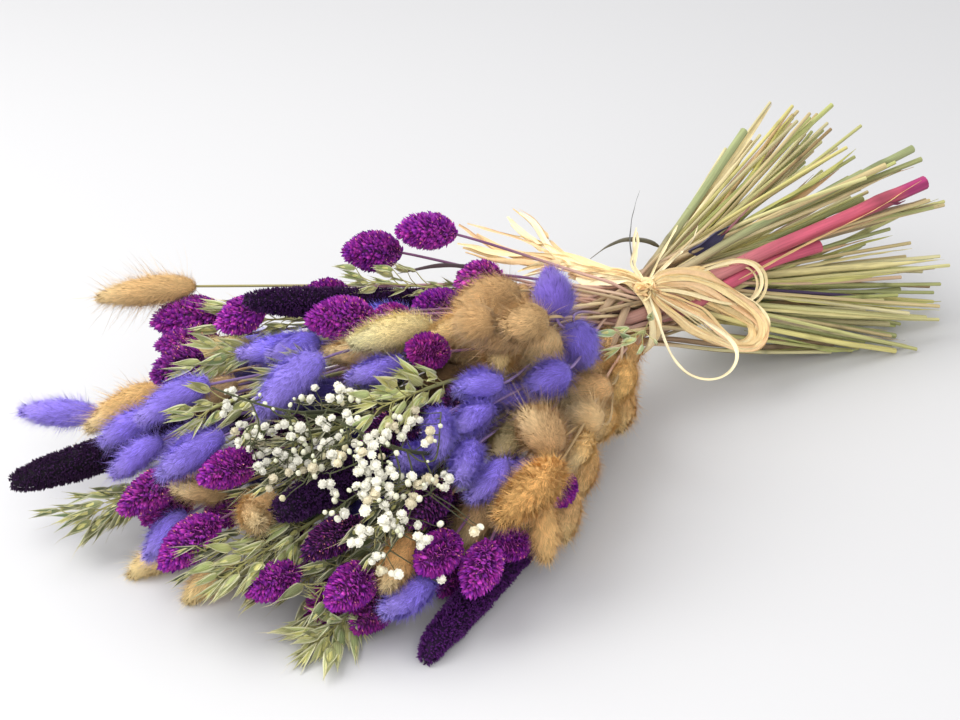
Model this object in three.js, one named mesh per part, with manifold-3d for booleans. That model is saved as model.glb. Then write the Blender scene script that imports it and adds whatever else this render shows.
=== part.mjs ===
// A hand-tied bunch of mixed dried flowers and grasses, lying on its side.
// Millimetres, +Z up. The flower heads point towards -X, the cut ends towards +X.
// Each stalk is one solid: a round stem that swells into the outline of its head.
import * as THREE from "three";
import { mergeVertices } from "three/addons/utils/BufferGeometryUtils.js";
import Module from "manifold-3d";

// ---------------------------------------------------------------- driving dimensions
const STEM_SIDES = 6; // sides of a thin stalk's section
const SPIKE_SIDES = 8; // sides of a thick spike's section
const HEAD_RINGS = 7; // route points that belong to a head
const BAND = { x: 49.18, y: -42.98, z: 57.76, inner: 24.05, thick: 1.3, width: 8, sides: 28 }; // raffia wound round the neck
const KNOT = { radial: 28.9, alongDeg: 35, size: [7.4, 5.8, 3.1] }; // knot of the bow, turned from the top towards the front
// stem radius at the cut end and below the head, for each kind of stalk
const STEM = {
  bunny: [1.15, 0.75],
  canary: [1.2, 0.8],
  spike: [2.6, 2.2],
  oat: [1.7, 1.1],
  gyp: [1.3, 1.2],
};
// outline of each kind of head: share of its largest radius at the head's route points
const OUTLINE = {
  bunny: [0.3, 0.8, 1, 1, 0.9, 0.62, 0.12],
  canary: [0.34, 0.86, 1, 0.98, 0.86, 0.58, 0.14],
  spike: [0.55, 0.92, 1, 1, 0.95, 0.8, 0.22],
  oat: [0.25, 0.6, 0.9, 1, 0.85, 0.5, 0.1],
  gyp: [1.2, 1.1, 1, 1, 0.9, 0.8, 0.7],
};

// ---------------------------------------------------------------- finishes
const FINISH = {
  natural_bunny_tail: [0xcda56a, 0.95],
  violet_bunny_tail: [0x6e55d7, 0.95],
  canary_grass: [0x8c2396, 0.85],
  dark_spike: [0x35103f, 0.9],
  oat: [0xb9be78, 0.8],
  gypsophila: [0xf2f0dc, 0.8],
  raffia: [0xebcd91, 0.7],
};
const finish = (name) => {
  const [color, roughness] = FINISH[name];
  return new THREE.MeshStandardMaterial({ color, roughness, metalness: 0 });
};

// ---------------------------------------------------------------- routes
// Each stalk: name, finish, kind, largest radius of its head, its route from the cut end to the tip,
// and, where its stem is thicker than its kind's, the two stem radii.
const STALKS = [
  ["natural_bunny_tail_01", "natural_bunny_tail", "bunny", 7.38, [[247,-142.3,26.2],[182.6,-107.7,43],[122.6,-73.1,58.8],[75.4,-50.9,74.1],[54.3,-44.6,79.8],[44.3,-38.7,78.8],[18.1,-15.6,80.4],[-9,7.4,82.2],[-36.4,30.3,84.2],[-63.8,52.9,86.3],[-90.6,75,88.4],[-116.5,96.2,90.4],[-141.2,116.4,92.2],[-147.2,121.3,92.6],[-155.2,127.3,92],[-164,133.9,91.3],[-173,140.5,90.6],[-180.6,146,89.9],[-185.5,149.6,89.5]]],
  ["natural_bunny_tail_02", "natural_bunny_tail", "bunny", 7.2, [[270.4,-133.4,44.1],[197.7,-101,52.2],[129.1,-69.7,60.1],[75.8,-45.7,69.8],[54.3,-37,73.4],[44.3,-33.7,74],[9.5,-17.3,71.9],[-27.7,-1.2,70.3],[-65.2,15.8,69.2],[-102,32.7,68.3],[-136.7,48.7,67.4],[-169,63.2,66.2],[-199,76.4,64.6],[-205.1,78.7,63.9],[-212.8,81.2,62.1],[-221.5,83.6,59.6],[-230.1,85.7,56.7],[-237.4,87.3,54],[-242.2,88.3,52.1]]],
  ["natural_bunny_tail_03", "natural_bunny_tail", "bunny", 6.3, [[243.5,-72,110.1],[181.2,-58,92.3],[121.8,-44.9,77.3],[76.5,-34,68],[54.3,-28,62.8],[44.3,-26,61],[3.4,-20.5,55.7],[-38.2,-15,46.3],[-80.4,-9.1,38.4],[-122.3,-2.9,30.8],[-163,3.4,22.8],[-201.9,9.6,13.4],[-238.8,15.7,1.9],[-243.1,16.5,5.1],[-248.7,17.7,6.3],[-254.8,19.1,6.3],[-261,20.7,5.7],[-266.2,22,3.9],[-269.6,22.9,0.8]]],
  ["natural_bunny_tail_04", "natural_bunny_tail", "bunny", 6.75, [[251.6,-58.4,100.7],[186.3,-48.5,84.8],[124.7,-38.8,69.7],[77.4,-32,60.7],[54.3,-29.6,56.7],[44.3,-28.5,52.1],[4.7,-27.2,44.7],[-36.1,-26.2,39.4],[-77.1,-24.8,33.8],[-117.8,-23,27.7],[-157.6,-21.1,20.6],[-196.1,-19.1,12.3],[-232.7,-17.2,2],[-237.1,-17,5.4],[-242.8,-16.8,6.8],[-249.1,-16.5,6.8],[-255.4,-16.3,6.1],[-260.8,-16.1,4.2],[-264.3,-15.9,0.8]]],
  ["natural_bunny_tail_05", "natural_bunny_tail", "bunny", 7.65, [[241.7,-51.1,62.4],[179.8,-47,60.3],[121.2,-42.8,58.4],[77.5,-38.8,56.2],[54.3,-40,54.3],[44.3,-43.1,51.3],[5.6,-44.7,53.7],[-34.7,-43.4,54.6],[-75.3,-42.7,55.2],[-115.2,-42.2,55.5],[-153.3,-41.8,55.6],[-189.1,-41.4,55.5],[-222.7,-41.1,55.4],[-227.2,-41,55.3],[-233,-41,55],[-238.5,-43.2,55.3],[-242.9,-47.7,56.1],[-245.4,-52.6,57.1],[-247,-55.7,57.7]]],
  ["natural_bunny_tail_06", "natural_bunny_tail", "bunny", 7.47, [[283,-10.2,77.8],[206.1,-20.9,69],[133.6,-31,60.3],[77.4,-39.2,53.4],[54.3,-43.1,53.5],[44.3,-45.5,51.6],[9.6,-51.9,54.2],[-26.3,-59.4,54.3],[-62.1,-69.3,52.8],[-97.2,-79.1,51],[-130.8,-88.5,49.1],[-162.1,-97.4,47.2],[-191.4,-105.9,45.1],[-195.9,-107.4,44.5],[-201.6,-109.4,43.5],[-207.7,-112.1,42.1],[-213.8,-114.8,40.5],[-218.8,-117.3,38.8],[-222.1,-119,37.6]]],
  ["natural_bunny_tail_07", "natural_bunny_tail", "bunny", 7.65, [[275.5,-46,2.4],[201,-47.6,19.9],[130.5,-49.1,36.3],[76.1,-48.5,49.7],[54.3,-46.4,58.2],[44.3,-46.2,62.2],[25.2,-44.6,55],[2.7,-44.3,65.9],[-19,-40,76.3],[-40.9,-36.7,83.8],[-61.8,-34.3,90.6],[-81.7,-32.4,96.7],[-100.6,-30.8,102.2],[-108.1,-30.3,104.1],[-117.9,-29.8,106.3],[-128.8,-29.1,108.3],[-139.8,-28.5,109.9],[-149.2,-28,111.2],[-155.3,-27.8,112]]],
  ["natural_bunny_tail_08", "natural_bunny_tail", "bunny", 6.84, [[242.9,-94.3,1.2],[179.6,-80.6,22.9],[118.7,-68.5,40.3],[73.8,-57.7,57.6],[54.3,-52.3,69],[44.3,-52.1,75.5],[35.4,-47.6,71.5],[26.5,-38.8,75.1],[16.6,-31.3,77.2],[7.2,-24.5,79.1],[-1.6,-18.5,80.6],[-9.7,-13.1,81.8],[-17.3,-8.1,82.4],[-20.9,-5.9,82.4],[-25.5,-3.3,81.9],[-30.6,-0.2,81.5],[-35.4,3,81.3],[-39.7,5.4,81.1],[-43.6,5.9,81.6]]],
  ["natural_bunny_tail_09", "natural_bunny_tail", "bunny", 7.74, [[248.8,-27.5,1.4],[184,-36.6,18.4],[122.8,-45.7,34.6],[76.4,-53.3,46.7],[54.3,-57,52.6],[44.3,-56.9,56.6],[28.6,-54.5,63.6],[12.9,-52.9,70.6],[-2.9,-51.9,77.7],[-18.9,-51,83.7],[-34.7,-49.5,88.7],[-50,-48.1,92.9],[-64.7,-46.8,96.5],[-71.3,-46.2,98],[-79.8,-45.4,99.5],[-89.3,-44.6,101.1],[-98.8,-43.7,102.6],[-107,-43,103.7],[-112.2,-42.6,104.4]]],
  ["natural_bunny_tail_10", "natural_bunny_tail", "bunny", 6.84, [[248.2,-24.3,5.6],[183.7,-33.9,21.3],[122.8,-43.3,36],[76.7,-50.5,46.6],[54.3,-54.5,51.2],[44.3,-54.7,55.2],[25.7,-50.8,60.6],[6.4,-44.9,67.8],[-13.7,-49.9,75.9],[-33.4,-54,82.5],[-51.1,-57.8,88.3],[-66.1,-61.4,93.2],[-79.2,-65,97.2],[-82.9,-66.5,98],[-87.4,-69.1,98.6],[-92.1,-72.4,98.8],[-96.5,-76.1,98.5],[-100.1,-79.2,98.1],[-103.2,-81.3,96.2]]],
  ["natural_bunny_tail_11", "natural_bunny_tail", "bunny", 7.2, [[257.3,-44.2,2.8],[189.5,-45,21.4],[125.5,-46.7,38.9],[76.6,-47.2,52.2],[54.3,-44.2,59.5],[44.3,-42,63.9],[35.7,-41.4,64.6],[25.8,-41,66.8],[15.5,-40.3,68],[5.6,-39.7,68.8],[-3.4,-39.2,69.5],[-10.8,-39.2,69.9],[-17.3,-39.6,69.9],[-21.3,-40.2,69.5],[-26.1,-41.6,68.6],[-31,-44.2,67.7],[-35.7,-46.9,66.6],[-39.1,-49.7,64.4],[-41.1,-52.1,61.9]]],
  ["natural_bunny_tail_12", "natural_bunny_tail", "bunny", 9, [[254.9,33.3,73.4],[187.5,9.3,64],[123.8,-13.2,54.7],[75.4,-31.4,46.4],[54.3,-40.6,43.4],[44.3,-45.7,43.3],[23.6,-58.9,45.8],[-0,-73.1,47.6],[-23.4,-88.8,51.5],[-46.8,-101.2,55.9],[-68.4,-109.6,60],[-85.7,-115.5,63.8],[-100,-119.7,67.7],[-103.4,-120.1,69.3],[-106.8,-119.4,72.4],[-110.1,-117.9,76.5],[-113.1,-115.9,81],[-115.6,-114,85],[-117.1,-112.6,87.6]]],
  ["natural_bunny_tail_13", "natural_bunny_tail", "bunny", 6.84, [[257.6,37.7,81.9],[189.4,13.7,70.1],[124.9,-8.9,58.5],[75.3,-26.2,49],[54.3,-34.8,44.8],[44.3,-39.4,42.9],[35.4,-46.3,41.8],[26,-55.6,42.5],[16.6,-65.3,44.5],[6.4,-72.2,47.8],[-3.5,-76,50.5],[-11.3,-78.6,51.4],[-18.1,-79.8,50.3],[-22.1,-79.7,49.7],[-27,-79.1,48.8],[-31.8,-76.6,48.4],[-36.3,-73.3,48.1],[-40.1,-70.2,47.3],[-42.7,-67.8,46.9]]],
  ["natural_bunny_tail_14", "natural_bunny_tail", "bunny", 8.1, [[282.5,29.1,54.5],[205,4.4,49.7],[131.9,-19.2,44.9],[75.4,-39.8,42],[54.3,-49.4,44.1],[44.3,-53.7,46.1],[22.8,-65.8,53.5],[0.2,-78.3,60],[-24.1,-89.9,62.3],[-47.7,-102.5,63.2],[-70.5,-114,63.8],[-92.4,-124,64.1],[-113.4,-132.2,63.9],[-120.1,-134,63.5],[-128.9,-135.3,62.5],[-138.9,-136.1,60.9],[-148.8,-136.7,58.9],[-157.3,-137.1,57.1],[-162.8,-137.3,55.8]]],
  ["natural_bunny_tail_15", "natural_bunny_tail", "bunny", 6.48, [[273.2,29,62.3],[199.2,6.5,57.2],[129.8,-16.1,52.5],[76.3,-35.1,48.6],[54.3,-42.3,47.2],[44.3,-45.9,46.7],[17.4,-53.9,51.2],[-11,-65,55.3],[-38.9,-79,57.1],[-64.6,-95,54.7],[-87.8,-109.3,52.6],[-107.9,-121.5,50.5],[-124.7,-133.3,46.5],[-127.6,-135.7,45.1],[-130.9,-138.7,42.4],[-133.9,-142,38.6],[-136.7,-144.9,34.3],[-139.2,-147,30.3],[-140.7,-148.3,27.6]]],
  ["natural_bunny_tail_16", "natural_bunny_tail", "bunny", 6.84, [[258,39.4,44.8],[189.7,10.8,45],[125.1,-16.3,44.6],[75.4,-37.5,43.6],[54.3,-46.6,43.8],[44.3,-51,44.9],[38.1,-54.8,46.4],[31.6,-59.2,48.1],[25.3,-64.1,50],[19.6,-69.2,52.5],[14,-74,54.3],[8.8,-78.2,55.4],[3.9,-81.9,55.9],[0.5,-84.3,55.9],[-4,-87.2,55.2],[-9.4,-89.6,54.3],[-15,-91.8,53],[-19.8,-93.5,51.8],[-23,-94.4,50.9]]],
  ["natural_bunny_tail_17", "natural_bunny_tail", "bunny", 7.2, [[282.4,20.9,112.8],[205.1,3.7,91.4],[132.1,-12.3,70.6],[75.4,-25.8,53.1],[54.3,-32.4,46.3],[44.3,-36.3,43.4],[35.5,-42.9,41.9],[26.8,-51,42.3],[17.8,-58.9,42.3],[9,-66.4,41.6],[0.6,-73.1,40.6],[-7.2,-78.9,39.6],[-14.7,-83.9,38.5],[-18.6,-86.2,38],[-23.9,-88.8,37.4],[-29.9,-91.5,36.8],[-36.2,-93.5,36.3],[-41.8,-94.5,36],[-45.5,-95.1,35.8]]],
  ["violet_bunny_tail_01", "violet_bunny_tail", "bunny", 7.02, [[262.2,-118.2,87.6],[192.5,-89.2,80.5],[126.5,-61.7,74.3],[75.7,-39.7,69.8],[54.3,-30.8,67.3],[44.3,-27.4,65.3],[3.8,-11.6,61],[-39.7,0.6,59.2],[-82,14.8,52.4],[-119.2,37.4,42.3],[-152.2,66.5,40.4],[-184,93.3,39.9],[-214.3,118.2,39.3],[-219,122,39.4],[-224.8,126.8,39.8],[-231.3,132.2,40.5],[-237.8,137.7,41.3],[-243.2,142.3,42.1],[-246.8,145.4,42.7]]],
  ["violet_bunny_tail_02", "violet_bunny_tail", "bunny", 7.38, [[228.2,-112.4,27.4],[172.2,-85.2,40],[118.7,-59.5,49.5],[75.8,-48,58.3],[54.3,-39.2,65.9],[44.3,-35,66],[8.2,-26.3,66.1],[-28.8,-16.3,68.2],[-66.5,-7.4,72.3],[-103.6,1.8,76.5],[-139.5,10.9,80.5],[-173.6,19.7,84.1],[-206,27.9,87.4],[-211.7,29.3,87.9],[-218.7,31.4,86.8],[-225.9,33.8,84.1],[-233.2,36.1,81.3],[-239.4,38,78.9],[-243.5,39.2,77.3]]],
  ["violet_bunny_tail_03", "violet_bunny_tail", "bunny", 6.3, [[223.6,-125.8,49.5],[168.3,-96,55.1],[116.7,-67.3,63.9],[76.2,-48.7,71.3],[54.3,-39.4,71.4],[44.3,-34.4,70.6],[6.5,-20.4,70],[-33.7,-7.4,68.3],[-74.3,6.2,67.3],[-114.2,19.9,66.7],[-152.3,33.1,66.2],[-188,45.4,65.6],[-221.5,56.7,64.8],[-225.7,58,64.5],[-231,59.3,63.6],[-237,60.6,62.3],[-242.9,61.6,60.7],[-248,62.5,59.3],[-251.3,63,58.3]]],
  ["violet_bunny_tail_04", "violet_bunny_tail", "bunny", 6.3, [[257.4,-110.9,57.3],[189.8,-85.5,60.9],[125.4,-62.3,62.8],[76.6,-42.4,64.6],[54.3,-34.4,64.6],[44.3,-32.8,65.1],[4.1,-22.8,65.7],[-38.1,-13,65.3],[-81,-3,65],[-123,7,65],[-162.8,16.6,65],[-199.8,25.3,65],[-234.2,33.7,63.8],[-238.4,34.8,62.9],[-243.7,35.8,61.4],[-249.5,36.4,59.5],[-255.4,36.9,57.4],[-260.3,37.1,55.6],[-263.6,37.3,54.3]]],
  ["violet_bunny_tail_05", "violet_bunny_tail", "bunny", 7.47, [[260.6,-85.8,34.5],[191.7,-70.3,44.1],[126.5,-55.5,53.3],[76.9,-42.7,60.4],[54.3,-35.8,62.6],[44.3,-34.5,63.4],[5.8,-28.8,64.6],[-34.4,-23.8,66.2],[-75.1,-19,68.4],[-115,-14.1,70.6],[-153.2,-9.5,72.5],[-188.9,-5.2,74.1],[-222.4,-1.5,75.1],[-228.1,-1,75],[-235.4,-0.8,74.3],[-243.5,-0.7,73.2],[-251.5,-0.9,71.8],[-258.3,-1.1,70.4],[-262.8,-1.3,69.4]]],
  ["violet_bunny_tail_06", "violet_bunny_tail", "bunny", 8.64, [[282.7,-56.4,3.4],[206.4,-53.9,24.3],[133.8,-49.9,42],[77.1,-44.1,53.1],[54.3,-42.2,57.1],[44.3,-41.3,60.3],[13.5,-37.6,68.4],[-20.2,-34.1,75.1],[-54.2,-30.3,83.7],[-87.1,-27,91.9],[-117.4,-24.6,98.9],[-144.3,-22.7,103.9],[-168.8,-19.4,105.2],[-175.4,-18.7,104.7],[-183.6,-18.7,102.9],[-192.5,-19.4,100.2],[-201.4,-20.4,97],[-208.9,-21.5,94],[-213.8,-22.3,92]]],
  ["violet_bunny_tail_07", "violet_bunny_tail", "bunny", 7.38, [[246.5,3,104.2],[182.5,-8.5,86.8],[121.9,-19.1,69.8],[76.1,-26.8,56],[54.3,-31.7,49],[44.3,-34.6,46.5],[10,-46.9,44.2],[-25.2,-60.4,42.4],[-60.8,-73.5,40],[-95.9,-85.9,37.1],[-129.6,-97.5,34.2],[-161.4,-108.2,31.4],[-191.4,-117.8,28.9],[-196.5,-119.2,28.5],[-203.1,-120.7,28.3],[-210.5,-121.9,28.1],[-218,-122.8,28.3],[-224.4,-123.4,28.6],[-228.5,-123.8,28.8]]],
  ["violet_bunny_tail_08", "violet_bunny_tail", "bunny", 7.02, [[238.3,-18.9,26.8],[177.4,-28.5,34.6],[119.9,-37.8,41.6],[77.1,-45.2,47.8],[54.3,-49.1,51.6],[44.3,-50.4,52.2],[15.6,-52.2,57.5],[-15.1,-56.2,63],[-45.9,-61.9,70],[-75.5,-68.3,75.9],[-102.7,-74.2,81.2],[-126.3,-80.3,85.4],[-147.4,-86.4,89.2],[-151.4,-87.9,89.7],[-156.2,-90.3,89.9],[-160.1,-94.3,89.2],[-163.8,-98.5,88.5],[-167.5,-101.8,85.8],[-170.2,-102.9,83.1]]],
  ["violet_bunny_tail_09", "violet_bunny_tail", "bunny", 6.66, [[242.2,4.4,22],[179.9,-13.9,30.6],[121,-31.4,38.5],[76.6,-44.7,43.6],[54.3,-50.7,46.5],[44.3,-53.5,48.6],[19.6,-56.7,55.3],[-3.1,-64.6,63.6],[-24.8,-77,71.1],[-50,-83.2,77.4],[-74.8,-86.5,81.1],[-98.3,-89.4,83.8],[-120.5,-92.2,86.1],[-124.9,-92.8,86.4],[-130.5,-93.7,86.5],[-136.6,-94.7,86.3],[-142.6,-95.8,86],[-147.5,-96.8,85.5],[-151.7,-96.6,85.8]]],
  ["violet_bunny_tail_10", "violet_bunny_tail", "bunny", 6.66, [[271.8,3.5,27.7],[198.8,-13.7,34.9],[129.8,-30.3,41.3],[76.6,-43.5,45.8],[54.3,-49.8,48.8],[44.3,-52.1,50.6],[22.8,-54.1,55.6],[0.4,-56.5,59.6],[-22.1,-59.4,63.3],[-43.3,-64.2,69.7],[-63.5,-69.2,76.4],[-82.8,-74,82.6],[-101.4,-78.2,88.4],[-105.8,-78.9,89.7],[-111,-79.6,90.7],[-117,-80.1,91.7],[-123.2,-80.4,92.6],[-128.5,-80.5,93.4],[-132,-80.5,93.9]]],
  ["violet_bunny_tail_11", "violet_bunny_tail", "bunny", 7.02, [[256.4,-3.2,34.6],[189,-17.1,40],[125.3,-30.3,44.6],[76.8,-41.1,47],[54.3,-47.2,48.8],[44.3,-49.6,49.4],[16.3,-56,53.5],[-13.1,-63.8,58.1],[-43.1,-72.2,60.9],[-72,-81.5,64],[-98.8,-89.7,68.5],[-123,-97.2,73.2],[-145.1,-104.5,77.2],[-149.1,-106.1,77.7],[-154,-108.6,77.8],[-159.3,-111.8,77.5],[-164.4,-115.1,76.9],[-168.8,-118.1,76.2],[-171.6,-120.1,75.8]]],
  ["violet_bunny_tail_12", "violet_bunny_tail", "bunny", 7.92, [[241.2,-38.6,40],[179.3,-39.5,43.8],[120.9,-40.4,47.1],[77.3,-42.5,49.1],[54.3,-46.3,51.7],[44.3,-48.1,51.7],[34.5,-48.7,55],[23.3,-49.9,57.9],[11.4,-51.7,60.5],[0.8,-54,64.9],[-6.8,-51.4,67.7],[-9.9,-47.1,72.7],[-11.6,-45.1,77.6],[-12.3,-43.6,81.3],[-12.5,-41.9,86.3],[-12,-39.9,91.8],[-11.1,-38,97.5],[-10.2,-36.3,102.3],[-9.6,-35.2,105.4]]],
  ["violet_bunny_tail_13", "violet_bunny_tail", "bunny", 7.56, [[275.4,-28.9,2.2],[201,-38.4,17.7],[130.8,-47.6,32.2],[76.6,-54.5,44],[54.3,-56.7,50],[44.3,-56.8,53.8],[35.3,-55.5,57.9],[26.3,-52.1,62.9],[17.9,-45.9,67.1],[9.7,-44.9,70.8],[2.5,-49.1,73.7],[-3,-52.3,75.2],[-7.2,-55,75.8],[-10.4,-57.6,75.7],[-14.4,-60.5,74.3],[-18.6,-63.6,72],[-22.8,-66.4,68.9],[-26.2,-69,65.9],[-28.3,-70.8,63.8]]],
  ["violet_bunny_tail_14", "violet_bunny_tail", "bunny", 6.84, [[236.8,18.9,33.7],[176.1,-4.4,36.9],[118.7,-26.7,39.5],[75.6,-44.1,40.9],[54.3,-52.7,44.4],[44.3,-56,48.3],[32.1,-60.4,53.2],[19.3,-65.2,57.6],[5.8,-68.2,61.7],[-7.7,-71,64.9],[-20.9,-74.2,66.9],[-33.5,-75.6,69.5],[-45.3,-76.5,71.7],[-49.5,-76.7,72.5],[-54.9,-76.9,73.5],[-60.8,-77.4,74.6],[-66.6,-77.9,75.7],[-71.5,-78.4,76.2],[-75.4,-79,76]]],
  ["canary_grass_01", "canary_grass", "canary", 11.28, [[260.2,-112.3,4.1],[189.3,-88.4,17.8],[123.7,-65.4,35.7],[74.6,-48.6,56.1],[54.3,-41.3,63.8],[44.3,-38.7,68.9],[29.7,-29.1,74.6],[15.5,-16.8,79.5],[1.5,-3.8,85],[-12.2,9.1,90.7],[-25.3,21.2,96.2],[-37.7,32.4,101.1],[-49.5,42.6,105.4],[-53,45.3,106.4],[-58.4,48.8,107.5],[-63.9,52.1,108.3],[-69.6,55.3,108.9],[-74.2,57.8,109.2],[-77.2,59.3,109.3]]],
  ["canary_grass_02", "canary_grass", "canary", 10.34, [[245.7,-91.2,5],[181.3,-79.1,27.2],[120.9,-67.2,49],[76.6,-54.6,68.5],[54.3,-55.8,74.9],[44.3,-52.2,77.9],[33.4,-45.6,86],[22.8,-32.6,91.2],[12.2,-20.1,96.7],[1.6,-8.7,102.2],[-8.7,1.6,107.6],[-18.5,11,112.5],[-27.9,19.5,116.8],[-31.3,22.5,118.1],[-36.5,26.6,119.4],[-41.8,30.5,120.4],[-47.3,34.5,121.1],[-51.7,37.7,121.4],[-54.5,39.8,121.5]]],
  ["canary_grass_03", "canary_grass", "canary", 9.4, [[256.2,-84.5,2.6],[187.9,-74.8,24.7],[123.9,-65.3,47.1],[74.9,-55.1,63.3],[54.3,-53.7,71.6],[44.3,-55.1,75.5],[34.6,-49.7,80],[24.8,-41.5,83.3],[14.9,-33.4,86.7],[5.2,-25.9,90],[-4,-19.2,93],[-12.5,-13.4,95.6],[-20.4,-8.2,97.7],[-23.5,-6.4,98.3],[-28.1,-4.1,98.6],[-32.7,-2,98.5],[-37,0.5,97.4],[-40.3,2.5,96.1],[-43,3.4,94.5]]],
  ["canary_grass_04", "canary_grass", "canary", 11.75, [[224.4,-134,26.5],[169.3,-100.6,43.7],[116.6,-68.8,57.7],[74.9,-46.7,67.5],[54.3,-36.6,70.8],[44.3,-32,72],[18,-14.7,74.7],[-8,5.7,77.3],[-34.1,27,80.1],[-60.1,48,83.2],[-85.3,68.2,83.8],[-109.4,87.5,80.8],[-132.3,105.5,77.8],[-136.7,108.7,77.1],[-143.1,113.1,76],[-149.5,117.4,75],[-156,121.7,74.4],[-161.2,125.1,74],[-164.5,127.2,73.6]]],
  ["canary_grass_05", "canary_grass", "canary", 9.87, [[249.4,-114.7,3.1],[185,-91.7,29.4],[122,-72.6,51.2],[76.4,-53.1,71.5],[54.3,-46.5,78],[44.3,-42.4,78.7],[19,-26.8,82.7],[-7.6,-9.5,86.9],[-34.9,8,91.7],[-63.6,22,96.3],[-91.4,34,100.6],[-117.5,44.4,102.7],[-141.3,56.2,99.9],[-144.8,57.8,99.4],[-149.7,59.8,98.3],[-154.7,61.6,97.1],[-159.7,63.3,95.7],[-163.8,64.6,94.6],[-166.3,65.4,93.8]]],
  ["canary_grass_06", "canary_grass", "canary", 11.092, [[256.6,-71.4,4.4],[188.7,-62.6,21.8],[124.5,-54.7,37.9],[75.9,-49.8,52.1],[54.3,-46.4,61],[44.3,-44.7,64.3],[20.5,-38.7,71.6],[-4,-34.1,78.7],[-28.9,-30.1,85.6],[-53.7,-26,92.3],[-77.9,-21.8,98.8],[-101.2,-17.6,105.3],[-123.1,-11.1,110.3],[-127.8,-9.2,111.1],[-134.6,-6.4,112.3],[-141.5,-3.7,113.3],[-148.3,-1,114.3],[-153.8,1.2,115.1],[-157.3,2.5,115.6]]],
  ["canary_grass_07", "canary_grass", "canary", 9.212, [[258.1,-29.8,22.8],[189.9,-35.9,31.6],[125.5,-41.9,39.6],[76.9,-47.6,46.9],[54.3,-51.6,51.2],[44.3,-52.7,53],[21.2,-53.1,59],[-1.7,-52.9,68.4],[-25.8,-51.2,74],[-49.4,-52.2,80.8],[-72,-53.1,87.6],[-93.4,-53.9,94.3],[-113.4,-54.5,100.7],[-117.1,-54.6,102.1],[-122.2,-54.6,104.2],[-127.2,-54.6,106.6],[-132.2,-54.6,109.1],[-136.1,-54.5,111.1],[-138.6,-54.5,112.4]]],
  ["canary_grass_08", "canary_grass", "canary", 9.4, [[236.3,-94.7,65.5],[176.5,-74.3,63.7],[120,-54.6,62.1],[77.5,-39.8,60.2],[54.3,-34.7,59.8],[44.3,-33.7,60.7],[3.4,-26.1,63.9],[-38.8,-19.7,63.7],[-81.4,-13.2,61.7],[-123.4,-6.5,60],[-163.8,-0.1,58.4],[-202.2,5.9,56.9],[-238.4,11.4,55.2],[-243.8,12.1,54.8],[-251.6,12.9,53.7],[-259.4,13.4,52.4],[-267.1,13.8,51],[-273.3,14,49.7],[-277.1,14.2,48.8]]],
  ["canary_grass_09", "canary_grass", "canary", 9.4, [[260.5,-69.9,61.4],[191.8,-59.4,59.9],[127,-49.2,58.3],[77.6,-41.1,57.7],[54.3,-37.3,58.9],[44.3,-36.1,61.6],[7.4,-35.7,55.4],[-31.3,-34.9,57.9],[-70,-32.6,60.3],[-108.2,-29.6,62.5],[-145.6,-26.4,64.5],[-181.8,-23.4,66.2],[-216.3,-20.5,67.8],[-221,-20.1,68],[-227.8,-19.6,68.3],[-234.6,-19.1,68.5],[-241.4,-18.6,68.7],[-246.8,-18.3,68.8],[-250.2,-18,68.9]]],
  ["canary_grass_10", "canary_grass", "canary", 10.152, [[256.7,-63.6,75.9],[189.2,-54.3,69.4],[125.6,-45.4,63.2],[77.2,-37.3,61.1],[54.3,-32.2,60.3],[44.3,-30.3,61.6],[2.3,-29,54.3],[-40.9,-28.4,51.8],[-84.5,-27.2,50.9],[-127.6,-25.9,49.7],[-168.9,-24.6,48.3],[-207.9,-23.5,46.5],[-244.7,-22.6,44.6],[-250.2,-22.6,44.1],[-257.9,-22.9,43],[-265.7,-23.4,41.5],[-273.3,-24.1,39.9],[-279.5,-24.7,38.4],[-283.3,-25.1,37.5]]],
  ["canary_grass_11", "canary_grass", "canary", 9.212, [[247.1,-33.9,91.5],[183.2,-34.1,79],[122.9,-34,67.1],[77.5,-33.4,57.7],[54.3,-34,53.7],[44.3,-34.7,51.3],[4.4,-39.9,47.3],[-36.6,-45.4,44.5],[-78.1,-50.5,41.9],[-119,-55,38.9],[-158.6,-59.1,35.9],[-196.3,-62.8,33],[-232,-66.2,30.3],[-236.4,-66.5,30],[-242.7,-66.7,29.9],[-248.9,-66.8,29.9],[-255.2,-66.4,30.2],[-260.2,-65.7,30.7],[-263.3,-65.3,31]]],
  ["canary_grass_12", "canary_grass", "canary", 10.528, [[281.7,-13.7,93.4],[205.4,-22.2,79.1],[133.3,-30,65],[77.4,-36.6,54.6],[54.3,-39.6,51.6],[44.3,-40.5,50.3],[6.7,-46.7,49.4],[-31,-56.6,48.3],[-69,-65.9,46],[-106.6,-74.8,43.3],[-143.3,-83.2,40.4],[-178.6,-91.1,37.6],[-212.2,-98.5,34.9],[-216.7,-99.4,34.6],[-223.2,-100.6,34.2],[-229.7,-101.7,33.9],[-236.2,-102.7,33.6],[-241.5,-103.5,33.3],[-244.7,-104,33.2]]],
  ["canary_grass_13", "canary_grass", "canary", 10.34, [[253.1,14,95],[187.1,-3.5,80.5],[124.8,-19.8,66.3],[76.8,-30.8,55.3],[54.3,-34.6,51],[44.3,-36.6,48],[11.7,-47.6,46.4],[-22.9,-58.2,48.4],[-57.2,-70.4,48.9],[-90,-84.4,48.1],[-121,-97.4,47],[-149.9,-109.2,46.1],[-176.9,-119.9,45.5],[-181.3,-121.4,45.5],[-187.5,-123.5,45.7],[-193.7,-125.5,46.2],[-200.1,-127,46.7],[-205.2,-128.1,47.2],[-208.4,-128.8,47.5]]],
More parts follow.
